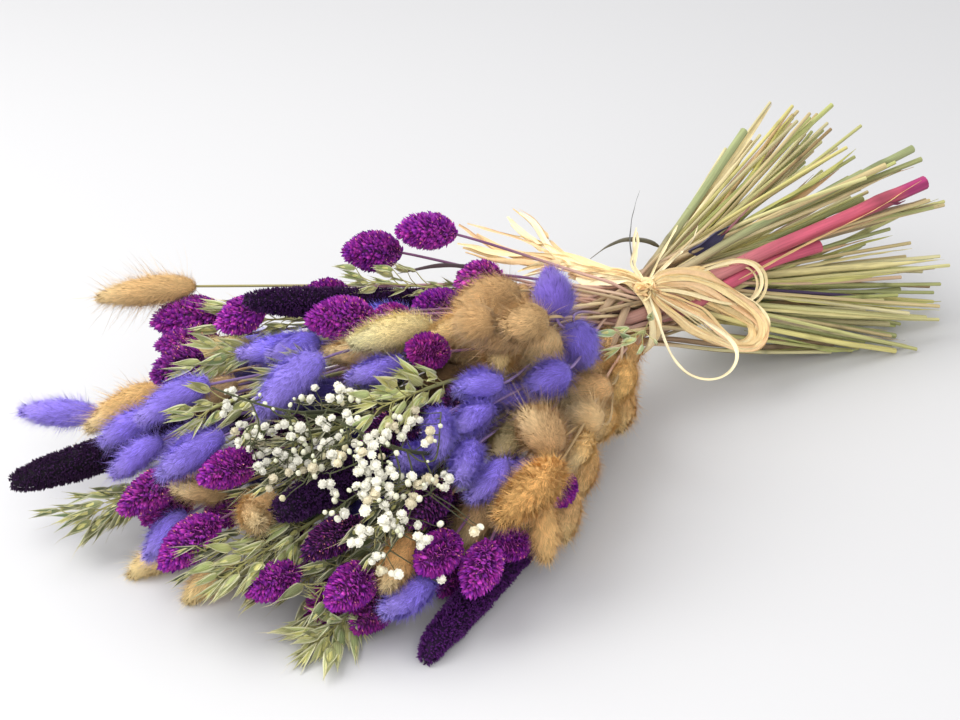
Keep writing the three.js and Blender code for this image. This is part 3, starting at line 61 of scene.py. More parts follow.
# ---------------------------------------------------------------- routes of the stalks
# name, CAD node it stands for, kind, head radius, route from the cut end to the head's tip, style
# In a route, points 0-2 are the cut side, 3-5 the tie, 6-11 the stem up to the head and 12-18 the head.
# A style's deep darkens the stem near the head as painted shade; the extra stalks that have it stand inside the bunch,
# and many of them have head colours darkened as painted shade too.
STALKS = [
    ("look_natural_bunny_tail_01", "natural_bunny_tail_01", "T", 7.4, [(247,-142.3,26.2),(182.6,-107.7,43),(122.6,-73.1,58.8),(75.4,-50.9,74.1),(54.3,-44.6,79.8),(44.3,-38.7,78.8),(18.1,-15.6,80.4),(-9,7.4,82.2),(-36.4,30.3,84.2),(-63.8,52.9,86.3),(-90.6,75,88.4),(-116.5,96.2,90.4),(-141.2,116.4,92.2),(-147.2,121.3,92.6),(-155.2,127.3,92),(-164,133.9,91.3),(-173,140.5,90.6),(-180.6,146,89.9),(-185.5,149.6,89.5)], {"col": (226,188,132), "tip": (240,210,156), "bristles": 420, "bristle": 20, "near_shaded": (150,142,96), "stand": 56, "fur": 3.8, "meet": 0.15, "lean": 0.07, "fat": 1.02}),
    ("look_natural_bunny_tail_02", "natural_bunny_tail_02", "T", 7.2, [(270.4,-133.4,44.1),(197.7,-101,52.2),(129.1,-69.7,60.1),(75.8,-45.7,69.8),(54.3,-37,73.4),(44.3,-33.7,74),(9.5,-17.3,71.9),(-27.7,-1.2,70.3),(-65.2,15.8,69.2),(-102,32.7,68.3),(-136.7,48.7,67.4),(-169,63.2,66.2),(-199,76.4,64.6),(-205.1,78.7,63.9),(-212.8,81.2,62.1),(-221.5,83.6,59.6),(-230.1,85.7,56.7),(-237.4,87.3,54),(-242.2,88.3,52.1)], {"col": (240,199,134), "tip": (250,224,172), "bristles": 320, "bristle": 16, "stand": 50}),
    ("natural_bunny_tail_more_01", None, "T", 6.8, [(274.6,-122.3,19.5),(206.7,-96.2,35.5),(138.8,-70.6,50.8),(74.9,-47.2,64.5),(54.3,-39.4,69),(44.3,-35.8,68.2),(11.5,-25.6,70.8),(-23.4,-15.8,70),(-59,-6.2,72.3),(-93.9,3.5,74.7),(-126.9,12.9,77),(-157.6,21.5,78.8),(-186.3,29.4,80.1),(-190.5,30.4,80),(-195.8,31.3,79.3),(-201.5,32,78.1),(-207.1,32.5,76.7),(-212.1,32.5,76.7),(-216.1,32.2,78.2)], {"col": (204,170,130), "tip": (215,181,138), "bristles": 182, "bristle": 12, "dens": 1.8, "fuzz": 1}),
    ("look_natural_bunny_tail_03", "natural_bunny_tail_03", "T", 6.3, [(243.5,-72,110.1),(181.2,-58,92.3),(121.8,-44.9,77.3),(76.5,-34,68),(54.3,-28,62.8),(44.3,-26,61),(3.4,-20.5,55.7),(-38.2,-15,46.3),(-80.4,-9.1,38.4),(-122.3,-2.9,30.8),(-163,3.4,22.8),(-201.9,9.6,13.4),(-238.8,15.7,1.9),(-243.1,16.5,5.1),(-248.7,17.7,6.3),(-254.8,19.1,6.3),(-261,20.7,5.7),(-266.2,22,3.9),(-269.6,22.9,0.8)], {"col": (248,220,161), "tip": (255,230,169), "bristles": 260, "bristle": 12}),
    ("look_natural_bunny_tail_04", "natural_bunny_tail_04", "T", 6.8, [(251.6,-58.4,100.7),(186.3,-48.5,84.8),(124.7,-38.8,69.7),(77.4,-32,60.7),(54.3,-29.6,56.7),(44.3,-28.5,52.1),(4.7,-27.2,44.7),(-36.1,-26.2,39.4),(-77.1,-24.8,33.8),(-117.8,-23,27.7),(-157.6,-21.1,20.6),(-196.1,-19.1,12.3),(-232.7,-17.2,2),(-237.1,-17,5.4),(-242.8,-16.8,6.8),(-249.1,-16.5,6.8),(-255.4,-16.3,6.1),(-260.8,-16.1,4.2),(-264.3,-15.9,0.8)], {"col": (250,216,154), "tip": (255,230,168), "bristles": 260, "bristle": 12}),
    ("natural_bunny_tail_more_02", None, "T", 5.9, [(272.2,-51.6,81.7),(205.6,-43.3,73),(139.1,-37.4,65.3),(76.4,-34.1,59.1),(54.3,-32,55.9),(44.3,-31,51.6),(5.6,-29.5,46.3),(-36.2,-26.7,47.2),(-78.8,-23.4,48.1),(-120.2,-19.8,48.6),(-158.8,-16.3,48.8),(-194,-12.9,49.1),(-226.5,-9.4,49.7),(-230.7,-8.7,50.1),(-235.9,-7.4,51.2),(-241.5,-5.6,52.9),(-246.9,-3.5,54.9),(-251.5,-1.7,56.7),(-254.4,-0.4,58)], {"col": (209,175,126), "tip": (250,224,172), "bristles": 182, "bristle": 12, "dens": 1.8, "fuzz": 1}),
    ("look_natural_bunny_tail_05", "natural_bunny_tail_05", "T", 7.7, [(241.7,-51.1,62.4),(179.8,-47,60.3),(121.2,-42.8,58.4),(77.5,-38.8,56.2),(54.3,-40,54.3),(44.3,-43.1,51.3),(5.6,-44.7,53.7),(-34.7,-43.4,54.6),(-75.3,-42.7,55.2),(-115.2,-42.2,55.5),(-153.3,-41.8,55.6),(-189.1,-41.4,55.5),(-222.7,-41.1,55.4),(-227.2,-41,55.3),(-233,-41,55),(-238.5,-43.2,55.3),(-242.9,-47.7,56.1),(-245.4,-52.6,57.1),(-247,-55.7,57.7)], {"col": (243,206,151), "tip": (250,224,172), "bristles": 160, "bristle": 12}),
    ("look_natural_bunny_tail_06", "natural_bunny_tail_06", "T", 7.5, [(283,-10.2,77.8),(206.1,-20.9,69),(133.6,-31,60.3),(77.4,-39.2,53.4),(54.3,-43.1,53.5),(44.3,-45.5,51.6),(9.6,-51.9,54.2),(-26.3,-59.4,54.3),(-62.1,-69.3,52.8),(-97.2,-79.1,51),(-130.8,-88.5,49.1),(-162.1,-97.4,47.2),(-191.4,-105.9,45.1),(-195.9,-107.4,44.5),(-201.6,-109.4,43.5),(-207.7,-112.1,42.1),(-213.8,-114.8,40.5),(-218.8,-117.3,38.8),(-222.1,-119,37.6)], {"col": (240,190,126), "tip": (250,224,172), "bristles": 220, "bristle": 10}),
    ("look_natural_bunny_tail_07", "natural_bunny_tail_07", "T", 7.7, [(275.5,-46,2.4),(201,-47.6,19.9),(130.5,-49.1,36.3),(76.1,-48.5,49.7),(54.3,-46.4,58.2),(44.3,-46.2,62.2),(25.2,-44.6,55),(2.7,-44.3,65.9),(-19,-40,76.3),(-40.9,-36.7,83.8),(-61.8,-34.3,90.6),(-81.7,-32.4,96.7),(-100.6,-30.8,102.2),(-108.1,-30.3,104.1),(-117.9,-29.8,106.3),(-128.8,-29.1,108.3),(-139.8,-28.5,109.9),(-149.2,-28,111.2),(-155.3,-27.8,112)], {"col": (255,237,177), "tip": (255,245,194), "bristles": 300, "bristle": 19, "stand": 22, "fur": 4.2, "meet": 0.15, "lean": 0.08, "fat": 1.05}),
    ("look_natural_bunny_tail_08", "natural_bunny_tail_08", "T", 6.8, [(242.9,-94.3,1.2),(179.6,-80.6,22.9),(118.7,-68.5,40.3),(73.8,-57.7,57.6),(54.3,-52.3,69),(44.3,-52.1,75.5),(35.4,-47.6,71.5),(26.5,-38.8,75.1),(16.6,-31.3,77.2),(7.2,-24.5,79.1),(-1.6,-18.5,80.6),(-9.7,-13.1,81.8),(-17.3,-8.1,82.4),(-20.9,-5.9,82.4),(-25.5,-3.3,81.9),(-30.6,-0.2,81.5),(-35.4,3,81.3),(-39.7,5.4,81.1),(-43.6,5.9,81.6)], {"col": (234,191,130), "tip": (248,213,151), "bristles": 420, "bristle": 17, "meet": 0.1, "lean": 0.06, "fur": 3.8, "fat": 1.22, "stand": 58}),
    ("look_natural_bunny_tail_09", "natural_bunny_tail_09", "T", 7.7, [(248.8,-27.5,1.4),(184,-36.6,18.4),(122.8,-45.7,34.6),(76.4,-53.3,46.7),(54.3,-57,52.6),(44.3,-56.9,56.6),(28.6,-54.5,63.6),(12.9,-52.9,70.6),(-2.9,-51.9,77.7),(-18.9,-51,83.7),(-34.7,-49.5,88.7),(-50,-48.1,92.9),(-64.7,-46.8,96.5),(-71.3,-46.2,98),(-79.8,-45.4,99.5),(-89.3,-44.6,101.1),(-98.8,-43.7,102.6),(-107,-43,103.7),(-112.2,-42.6,104.4)], {"col": (240,198,134), "tip": (255,223,159), "bristles": 420, "bristle": 17, "meet": 0.1, "lean": 0.06, "fur": 3.8, "stand": 58, "fat": 1.2}),
    ("look_natural_bunny_tail_10", "natural_bunny_tail_10", "T", 6.8, [(248.2,-24.3,5.6),(183.7,-33.9,21.3),(122.8,-43.3,36),(76.7,-50.5,46.6),(54.3,-54.5,51.2),(44.3,-54.7,55.2),(25.7,-50.8,60.6),(6.4,-44.9,67.8),(-13.7,-49.9,75.9),(-33.4,-54,82.5),(-51.1,-57.8,88.3),(-66.1,-61.4,93.2),(-79.2,-65,97.2),(-82.9,-66.5,98),(-87.4,-69.1,98.6),(-92.1,-72.4,98.8),(-96.5,-76.1,98.5),(-100.1,-79.2,98.1),(-103.2,-81.3,96.2)], {"col": (237,194,131), "tip": (255,226,162), "bristles": 420, "bristle": 17, "meet": 0.1, "lean": 0.06, "fur": 3.8, "stand": 58, "fat": 1.22}),
    ("natural_bunny_tail_more_03", None, "T", 6.5, [(242.9,-77.6,7),(185.8,-71.5,23.5),(128.7,-63.9,40.8),(75,-55.3,58.2),(54.3,-52.5,65.6),(44.3,-53.9,72.4),(35.3,-52.1,77.1),(25.7,-46.1,81.1),(16,-38.7,84.6),(6.8,-32,87.8),(-1.1,-26.7,90.1),(-6.9,-23.3,90.9),(-11.4,-21.3,90.4),(-14.2,-20.7,89),(-17.4,-20.7,85.9),(-20.5,-21.2,81.6),(-23.3,-21.7,76.9),(-25.1,-21.1,72),(-26.2,-20.9,68.3)], {"col": (233,190,130), "tip": (241,204,142), "bristles": 182, "bristle": 12, "meet": 0.1, "lean": 0.06, "fur": 3.8, "fat": 1.15, "dens": 1.8, "fuzz": 1}),
    ("look_natural_bunny_tail_11", "natural_bunny_tail_11", "T", 7.2, [(257.3,-44.2,2.8),(189.5,-45,21.4),(125.5,-46.7,38.9),(76.6,-47.2,52.2),(54.3,-44.2,59.5),(44.3,-42,63.9),(35.7,-41.4,64.6),(25.8,-41,66.8),(15.5,-40.3,68),(5.6,-39.7,68.8),(-3.4,-39.2,69.5),(-10.8,-39.2,69.9),(-17.3,-39.6,69.9),(-21.3,-40.2,69.5),(-26.1,-41.6,68.6),(-31,-44.2,67.7),(-35.7,-46.9,66.6),(-39.1,-49.7,64.4),(-41.1,-52.1,61.9)], {"col": (240,198,133), "tip": (255,230,165), "bristles": 260, "bristle": 12, "meet": 0.1, "lean": 0.06, "fur": 3.6, "fat": 1.15}),
    ("look_natural_bunny_tail_12", "natural_bunny_tail_12", "T", 9, [(254.9,33.3,73.4),(187.5,9.3,64),(123.8,-13.2,54.7),(75.4,-31.4,46.4),(54.3,-40.6,43.4),(44.3,-45.7,43.3),(23.6,-58.9,45.8),(-0,-73.1,47.6),(-23.4,-88.8,51.5),(-46.8,-101.2,55.9),(-68.4,-109.6,60),(-85.7,-115.5,63.8),(-100,-119.7,67.7),(-103.4,-120.1,69.3),(-106.8,-119.4,72.4),(-110.1,-117.9,76.5),(-113.1,-115.9,81),(-115.6,-114,85),(-117.1,-112.6,87.6)], {"col": (222,184,134), "tip": (238,206,156), "bristles": 420, "bristle": 17, "stand": 58, "meet": 0.15, "fat": 1.2}),
    ("look_natural_bunny_tail_13", "natural_bunny_tail_13", "T", 6.8, [(257.6,37.7,81.9),(189.4,13.7,70.1),(124.9,-8.9,58.5),(75.3,-26.2,49),(54.3,-34.8,44.8),(44.3,-39.4,42.9),(35.4,-46.3,41.8),(26,-55.6,42.5),(16.6,-65.3,44.5),(6.4,-72.2,47.8),(-3.5,-76,50.5),(-11.3,-78.6,51.4),(-18.1,-79.8,50.3),(-22.1,-79.7,49.7),(-27,-79.1,48.8),(-31.8,-76.6,48.4),(-36.3,-73.3,48.1),(-40.1,-70.2,47.3),(-42.7,-67.8,46.9)], {"col": (252,220,176), "tip": (244,209,155), "bristles": 420, "bristle": 17, "fat": 1.1, "stand": 58}),
    ("look_natural_bunny_tail_14", "natural_bunny_tail_14", "T", 8.1, [(282.5,29.1,54.5),(205,4.4,49.7),(131.9,-19.2,44.9),(75.4,-39.8,42),(54.3,-49.4,44.1),(44.3,-53.7,46.1),(22.8,-65.8,53.5),(0.2,-78.3,60),(-24.1,-89.9,62.3),(-47.7,-102.5,63.2),(-70.5,-114,63.8),(-92.4,-124,64.1),(-113.4,-132.2,63.9),(-120.1,-134,63.5),(-128.9,-135.3,62.5),(-138.9,-136.1,60.9),(-148.8,-136.7,58.9),(-157.3,-137.1,57.1),(-162.8,-137.3,55.8)], {"col": (248,198,124), "tip": (245,194,121), "bristles": 520, "bristle": 9, "fur": 6.4, "tilt": 44, "curve": 0.9, "meet": 0.72, "tuft": 3.2, "stand": 55, "fine": 0.2, "dens": 3.2, "fat": 1.06}),
    ("look_natural_bunny_tail_15", "natural_bunny_tail_15", "T", 6.5, [(273.2,29,62.3),(199.2,6.5,57.2),(129.8,-16.1,52.5),(76.3,-35.1,48.6),(54.3,-42.3,47.2),(44.3,-45.9,46.7),(17.4,-53.9,51.2),(-11,-65,55.3),(-38.9,-79,57.1),(-64.6,-95,54.7),(-87.8,-109.3,52.6),(-107.9,-121.5,50.5),(-124.7,-133.3,46.5),(-127.6,-135.7,45.1),(-130.9,-138.7,42.4),(-133.9,-142,38.6),(-136.7,-144.9,34.3),(-139.2,-147,30.3),(-140.7,-148.3,27.6)], {"col": (245,201,135), "tip": (248,206,141), "bristles": 220, "bristle": 12, "fur": 5.2, "meet": 0.5}),
    ("look_natural_bunny_tail_16", "natural_bunny_tail_16", "T", 6.8, [(258,39.4,44.8),(189.7,10.8,45),(125.1,-16.3,44.6),(75.4,-37.5,43.6),(54.3,-46.6,43.8),(44.3,-51,44.9),(38.1,-54.8,46.4),(31.6,-59.2,48.1),(25.3,-64.1,50),(19.6,-69.2,52.5),(14,-74,54.3),(8.8,-78.2,55.4),(3.9,-81.9,55.9),(0.5,-84.3,55.9),(-4,-87.2,55.2),(-9.4,-89.6,54.3),(-15,-91.8,53),(-19.8,-93.5,51.8),(-23,-94.4,50.9)], {"col": (255,212,138), "tip": (255,214,140), "bristles": 260, "bristle": 12, "fat": 1.1}),
    ("look_natural_bunny_tail_17", "natural_bunny_tail_17", "T", 7.2, [(282.4,20.9,112.8),(205.1,3.7,91.4),(132.1,-12.3,70.6),(75.4,-25.8,53.1),(54.3,-32.4,46.3),(44.3,-36.3,43.4),(35.5,-42.9,41.9),(26.8,-51,42.3),(17.8,-58.9,42.3),(9,-66.4,41.6),(0.6,-73.1,40.6),(-7.2,-78.9,39.6),(-14.7,-83.9,38.5),(-18.6,-86.2,38),(-23.9,-88.8,37.4),(-29.9,-91.5,36.8),(-36.2,-93.5,36.3),(-41.8,-94.5,36),(-45.5,-95.1,35.8)], {"col": (255,216,146), "tip": (250,224,172), "bristles": 260, "bristle": 12, "fat": 1.08}),
    ("natural_bunny_tail_more_04", None, "T", 6.5, [(288.7,-7.3,86.6),(216.2,-17.9,72.9),(143.8,-28.4,59.3),(75.6,-38.2,46.9),(54.3,-43.3,43.6),(44.3,-48.1,44.7),(28.1,-58.1,47.3),(11.5,-69,50),(-5.9,-79.2,52.5),(-24.5,-87.1,53.4),(-41.6,-95.9,53.9),(-56.4,-106.2,54.4),(-70.4,-115.6,55),(-74.1,-117.8,55.1),(-79,-120.2,55.2),(-84.5,-122.5,55.3),(-89.9,-124.5,55.3),(-94.6,-125.8,54.6),(-98.2,-126,52.4)], {"col": (255,218,150), "tip": (250,224,172), "bristles": 182, "bristle": 12, "dens": 1.8, "fuzz": 1}),
    ("natural_bunny_tail_more_05", None, "T", 5.9, [(279.9,1.2,115.9),(210.3,-10.9,90.4),(140.7,-22.3,68.1),(75.1,-32.5,50.4),(54.3,-37.7,44.2),(44.3,-42.6,42.8),(38.5,-46.6,43.1),(32,-50.7,44.4),(25.6,-55,46.5),(19.7,-59.5,49.2),(14.4,-63.8,51.5),(9.6,-67.9,53.2),(4.5,-70.3,55),(0.3,-71.9,56.6),(-4.6,-72.6,57.2),(-10.2,-73.3,58.2),(-15.7,-73.9,59.4),(-20.8,-73.7,59.8),(-24.7,-73,58.3)], {"col": (234,189,124), "tip": (250,224,172), "bristles": 182, "bristle": 12, "dens": 1.8, "fuzz": 1}),
    ("look_violet_bunny_tail_01", "violet_bunny_tail_01", "V", 7, [(262.2,-118.2,87.6),(192.5,-89.2,80.5),(126.5,-61.7,74.3),(75.7,-39.7,69.8),(54.3,-30.8,67.3),(44.3,-27.4,65.3),(3.8,-11.6,61),(-39.7,0.6,59.2),(-82,14.8,52.4),(-119.2,37.4,42.3),(-152.2,66.5,40.4),(-184,93.3,39.9),(-214.3,118.2,39.3),(-219,122,39.4),(-224.8,126.8,39.8),(-231.3,132.2,40.5),(-237.8,137.7,41.3),(-243.2,142.3,42.1),(-246.8,145.4,42.7)], {"col": (158,138,240), "tip": (180,160,252), "fur": 4.2, "tilt": 32, "bristles": 300, "bristle": 11, "tuft": 4.2, "meet": 0.22, "lean": 0.12, "dens": 2.8, "stand": 46}),
    ("look_violet_bunny_tail_02", "violet_bunny_tail_02", "V", 7.4, [(228.2,-112.4,27.4),(172.2,-85.2,40),(118.7,-59.5,49.5),(75.8,-48,58.3),(54.3,-39.2,65.9),(44.3,-35,66),(8.2,-26.3,66.1),(-28.8,-16.3,68.2),(-66.5,-7.4,72.3),(-103.6,1.8,76.5),(-139.5,10.9,80.5),(-173.6,19.7,84.1),(-206,27.9,87.4),(-211.7,29.3,87.9),(-218.7,31.4,86.8),(-225.9,33.8,84.1),(-233.2,36.1,81.3),(-239.4,38,78.9),(-243.5,39.2,77.3)], {"col": (158,136,242), "tip": (180,160,252), "fur": 4.2, "tilt": 32, "bristles": 180, "bristle": 8, "tuft": 4.2, "meet": 0.22, "lean": 0.12, "dens": 2.8}),
    ("look_violet_bunny_tail_03", "violet_bunny_tail_03", "V", 6.3, [(223.6,-125.8,49.5),(168.3,-96,55.1),(116.7,-67.3,63.9),(76.2,-48.7,71.3),(54.3,-39.4,71.4),(44.3,-34.4,70.6),(6.5,-20.4,70),(-33.7,-7.4,68.3),(-74.3,6.2,67.3),(-114.2,19.9,66.7),(-152.3,33.1,66.2),(-188,45.4,65.6),(-221.5,56.7,64.8),(-225.7,58,64.5),(-231,59.3,63.6),(-237,60.6,62.3),(-242.9,61.6,60.7),(-248,62.5,59.3),(-251.3,63,58.3)], {"col": (158,136,242), "tip": (180,160,252), "fur": 4.2, "tilt": 32, "bristles": 300, "bristle": 11, "tuft": 4.2, "meet": 0.22, "lean": 0.12, "dens": 2.8, "stand": 46}),
    ("look_violet_bunny_tail_04", "violet_bunny_tail_04", "V", 6.3, [(257.4,-110.9,57.3),(189.8,-85.5,60.9),(125.4,-62.3,62.8),(76.6,-42.4,64.6),(54.3,-34.4,64.6),(44.3,-32.8,65.1),(4.1,-22.8,65.7),(-38.1,-13,65.3),(-81,-3,65),(-123,7,65),(-162.8,16.6,65),(-199.8,25.3,65),(-234.2,33.7,63.8),(-238.4,34.8,62.9),(-243.7,35.8,61.4),(-249.5,36.4,59.5),(-255.4,36.9,57.4),(-260.3,37.1,55.6),(-263.6,37.3,54.3)], {"col": (158,136,242), "tip": (180,160,252), "fur": 4.2, "tilt": 32, "bristles": 300, "bristle": 11, "tuft": 4.2, "meet": 0.22, "lean": 0.12, "dens": 2.8, "stand": 46}),
    ("look_violet_bunny_tail_05", "violet_bunny_tail_05", "V", 7.5, [(260.6,-85.8,34.5),(191.7,-70.3,44.1),(126.5,-55.5,53.3),(76.9,-42.7,60.4),(54.3,-35.8,62.6),(44.3,-34.5,63.4),(5.8,-28.8,64.6),(-34.4,-23.8,66.2),(-75.1,-19,68.4),(-115,-14.1,70.6),(-153.2,-9.5,72.5),(-188.9,-5.2,74.1),(-222.4,-1.5,75.1),(-228.1,-1,75),(-235.4,-0.8,74.3),(-243.5,-0.7,73.2),(-251.5,-0.9,71.8),(-258.3,-1.1,70.4),(-262.8,-1.3,69.4)], {"col": (158,136,242), "tip": (180,160,252), "fur": 4.2, "tilt": 32, "bristles": 300, "bristle": 11, "tuft": 4.2, "meet": 0.22, "lean": 0.12, "dens": 2.8, "stand": 46}),
    ("look_violet_bunny_tail_06", "violet_bunny_tail_06", "V", 8.6, [(282.7,-56.4,3.4),(206.4,-53.9,24.3),(133.8,-49.9,42),(77.1,-44.1,53.1),(54.3,-42.2,57.1),(44.3,-41.3,60.3),(13.5,-37.6,68.4),(-20.2,-34.1,75.1),(-54.2,-30.3,83.7),(-87.1,-27,91.9),(-117.4,-24.6,98.9),(-144.3,-22.7,103.9),(-168.8,-19.4,105.2),(-175.4,-18.7,104.7),(-183.6,-18.7,102.9),(-192.5,-19.4,100.2),(-201.4,-20.4,97),(-208.9,-21.5,94),(-213.8,-22.3,92)], {"col": (170,150,250), "tip": (180,160,252), "fur": 4.4, "tilt": 32, "bristles": 120, "bristle": 8, "tuft": 3.6, "meet": 0.42, "lean": 0.16, "dens": 2.8, "fat": 1.04}),
    ("violet_bunny_tail_more_01", None, "V", 7, [(270.5,-92.6,7.9),(204.3,-78.1,24.4),(138,-62.3,40.4),(75.6,-46.4,55.1),(54.3,-41.5,60.1),(44.3,-40,62.3),(16.3,-35.9,69),(-13.1,-30.7,73.3),(-42.8,-24.9,77.2),(-71.2,-16.3,82.3),(-98.5,-8.2,87.3),(-124,-0.9,92.5),(-147.9,5.2,98.4),(-152.2,6.1,99.2),(-157.8,7.1,99.8),(-164.1,7.9,100.1),(-170.4,8.5,100.2),(-175.8,9,100.1),(-179.3,9.3,100)], {"col": (142,124,234), "tip": (180,160,252), "fur": 4.2, "tilt": 32, "bristles": 125, "bristle": 8, "tuft": 4.2, "meet": 0.22, "lean": 0.12, "dens": 1.8, "fuzz": 1}),
    ("violet_bunny_tail_more_02", None, "V", 6.8, [(275.1,-53.3,18.1),(207.5,-50.6,28.2),(139.9,-47.9,39.6),(76.3,-45.3,51.7),(54.3,-44.6,56),(44.3,-43.7,62),(20.3,-41.9,55.7),(-5.3,-45.6,66.2),(-30,-48.5,76.9),(-56.8,-45.8,81.7),(-82.4,-43.4,86.2),(-106.9,-41.3,90.4),(-130.1,-39.4,94.3),(-135.1,-39.1,95.1),(-141.6,-38.6,95.9),(-148.9,-38.2,96.8),(-156.2,-37.8,97.6),(-162.4,-37.4,98.2),(-166.4,-37.2,98.6)], {"col": (158,136,242), "tip": (180,160,252), "fur": 4.2, "tilt": 32, "bristles": 125, "bristle": 8, "tuft": 4.2, "meet": 0.22, "lean": 0.12, "dens": 1.8, "fuzz": 1}),
    ("violet_bunny_tail_more_03", None, "V", 6.8, [(257.3,-76,82.8),(195.6,-63.4,74.7),(134,-49.5,68.2),(75.9,-35,63.7),(54.3,-29.5,60.8),(44.3,-28.3,59.9),(1.9,-23.2,63.5),(-42.3,-17.8,61.4),(-86.9,-13.2,55.5),(-130.6,-8.5,50.1),(-171.7,-3.9,45.1),(-209.6,0.2,40.5),(-244.7,3.8,35.9),(-249,4,35.1),(-254.2,3.8,33.5),(-259.9,3.4,31.3),(-265.6,2.6,28.8),(-270.3,1.9,26.6),(-273.3,1.4,25.1)], {"col": (158,136,242), "tip": (180,160,252), "fur": 4.2, "tilt": 32, "bristles": 125, "bristle": 8, "tuft": 4.2, "meet": 0.22, "lean": 0.12, "dens": 1.8, "fuzz": 1}),
    ("look_violet_bunny_tail_07", "violet_bunny_tail_07", "V", 7.4, [(246.5,3,104.2),(182.5,-8.5,86.8),(121.9,-19.1,69.8),(76.1,-26.8,56),(54.3,-31.7,49),(44.3,-34.6,46.5),(10,-46.9,44.2),(-25.2,-60.4,42.4),(-60.8,-73.5,40),(-95.9,-85.9,37.1),(-129.6,-97.5,34.2),(-161.4,-108.2,31.4),(-191.4,-117.8,28.9),(-196.5,-119.2,28.5),(-203.1,-120.7,28.3),(-210.5,-121.9,28.1),(-218,-122.8,28.3),(-224.4,-123.4,28.6),(-228.5,-123.8,28.8)], {"col": (158,136,242), "tip": (180,160,252), "fur": 4.2, "tilt": 32, "bristles": 180, "bristle": 8, "tuft": 4.2, "meet": 0.22, "lean": 0.12, "dens": 2.8}),
    ("look_violet_bunny_tail_08", "violet_bunny_tail_08", "V", 7, [(238.3,-18.9,26.8),(177.4,-28.5,34.6),(119.9,-37.8,41.6),(77.1,-45.2,47.8),(54.3,-49.1,51.6),(44.3,-50.4,52.2),(15.6,-52.2,57.5),(-15.1,-56.2,63),(-45.9,-61.9,70),(-75.5,-68.3,75.9),(-102.7,-74.2,81.2),(-126.3,-80.3,85.4),(-147.4,-86.4,89.2),(-151.4,-87.9,89.7),(-156.2,-90.3,89.9),(-160.1,-94.3,89.2),(-163.8,-98.5,88.5),(-167.5,-101.8,85.8),(-170.2,-102.9,83.1)], {"col": (158,136,242), "tip": (180,160,252), "fur": 4.2, "tilt": 32, "bristles": 180, "bristle": 8, "tuft": 4.2, "meet": 0.22, "lean": 0.12, "dens": 2.8}),
    ("look_violet_bunny_tail_09", "violet_bunny_tail_09", "V", 6.7, [(242.2,4.4,22),(179.9,-13.9,30.6),(121,-31.4,38.5),(76.6,-44.7,43.6),(54.3,-50.7,46.5),(44.3,-53.5,48.6),(19.6,-56.7,55.3),(-3.1,-64.6,63.6),(-24.8,-77,71.1),(-50,-83.2,77.4),(-74.8,-86.5,81.1),(-98.3,-89.4,83.8),(-120.5,-92.2,86.1),(-124.9,-92.8,86.4),(-130.5,-93.7,86.5),(-136.6,-94.7,86.3),(-142.6,-95.8,86),(-147.5,-96.8,85.5),(-151.7,-96.6,85.8)], {"col": (158,136,242), "tip": (180,160,252), "fur": 4.2, "tilt": 32, "bristles": 180, "bristle": 8, "tuft": 4.2, "meet": 0.22, "lean": 0.12, "dens": 2.8}),
    ("look_violet_bunny_tail_10", "violet_bunny_tail_10", "V", 6.7, [(271.8,3.5,27.7),(198.8,-13.7,34.9),(129.8,-30.3,41.3),(76.6,-43.5,45.8),(54.3,-49.8,48.8),(44.3,-52.1,50.6),(22.8,-54.1,55.6),(0.4,-56.5,59.6),(-22.1,-59.4,63.3),(-43.3,-64.2,69.7),(-63.5,-69.2,76.4),(-82.8,-74,82.6),(-101.4,-78.2,88.4),(-105.8,-78.9,89.7),(-111,-79.6,90.7),(-117,-80.1,91.7),(-123.2,-80.4,92.6),(-128.5,-80.5,93.4),(-132,-80.5,93.9)], {"col": (158,136,242), "tip": (180,160,252), "fur": 4.2, "tilt": 32, "bristles": 180, "bristle": 8, "tuft": 4.2, "meet": 0.22, "lean": 0.12, "dens": 2.8}),
    ("violet_bunny_tail_more_04", None, "V", 7, [(283.3,-4.4,87.9),(212.8,-15.8,76.5),(142.3,-27.9,63.9),(76,-40.2,50.8),(54.3,-44.7,48.3),(44.3,-47.2,49.5),(15.4,-53.8,54.1),(-14.7,-60,58.3),(-45,-66.5,62.1),(-74.9,-72.9,65.6),(-103.7,-79.1,68.7),(-131.2,-84.7,71.6),(-157.1,-89.6,74.3),(-161.5,-90.1,74.7),(-167.3,-90.1,75.2),(-173.3,-91.1,76.9),(-179.1,-92.3,79),(-183.9,-93.6,81.2),(-187.1,-94.3,82.6)], {"col": (158,136,242), "tip": (180,160,252), "fur": 4.2, "tilt": 32, "bristles": 125, "bristle": 8, "tuft": 4.2, "meet": 0.22, "lean": 0.12, "dens": 1.8, "fuzz": 1}),
    ("look_violet_bunny_tail_11", "violet_bunny_tail_11", "V", 7, [(256.4,-3.2,34.6),(189,-17.1,40),(125.3,-30.3,44.6),(76.8,-41.1,47),(54.3,-47.2,48.8),(44.3,-49.6,49.4),(16.3,-56,53.5),(-13.1,-63.8,58.1),(-43.1,-72.2,60.9),(-72,-81.5,64),(-98.8,-89.7,68.5),(-123,-97.2,73.2),(-145.1,-104.5,77.2),(-149.1,-106.1,77.7),(-154,-108.6,77.8),(-159.3,-111.8,77.5),(-164.4,-115.1,76.9),(-168.8,-118.1,76.2),(-171.6,-120.1,75.8)], {"col": (158,136,242), "tip": (180,160,252), "fur": 4.2, "tilt": 32, "bristles": 180, "bristle": 8, "tuft": 4.2, "meet": 0.22, "lean": 0.12, "dens": 2.8}),
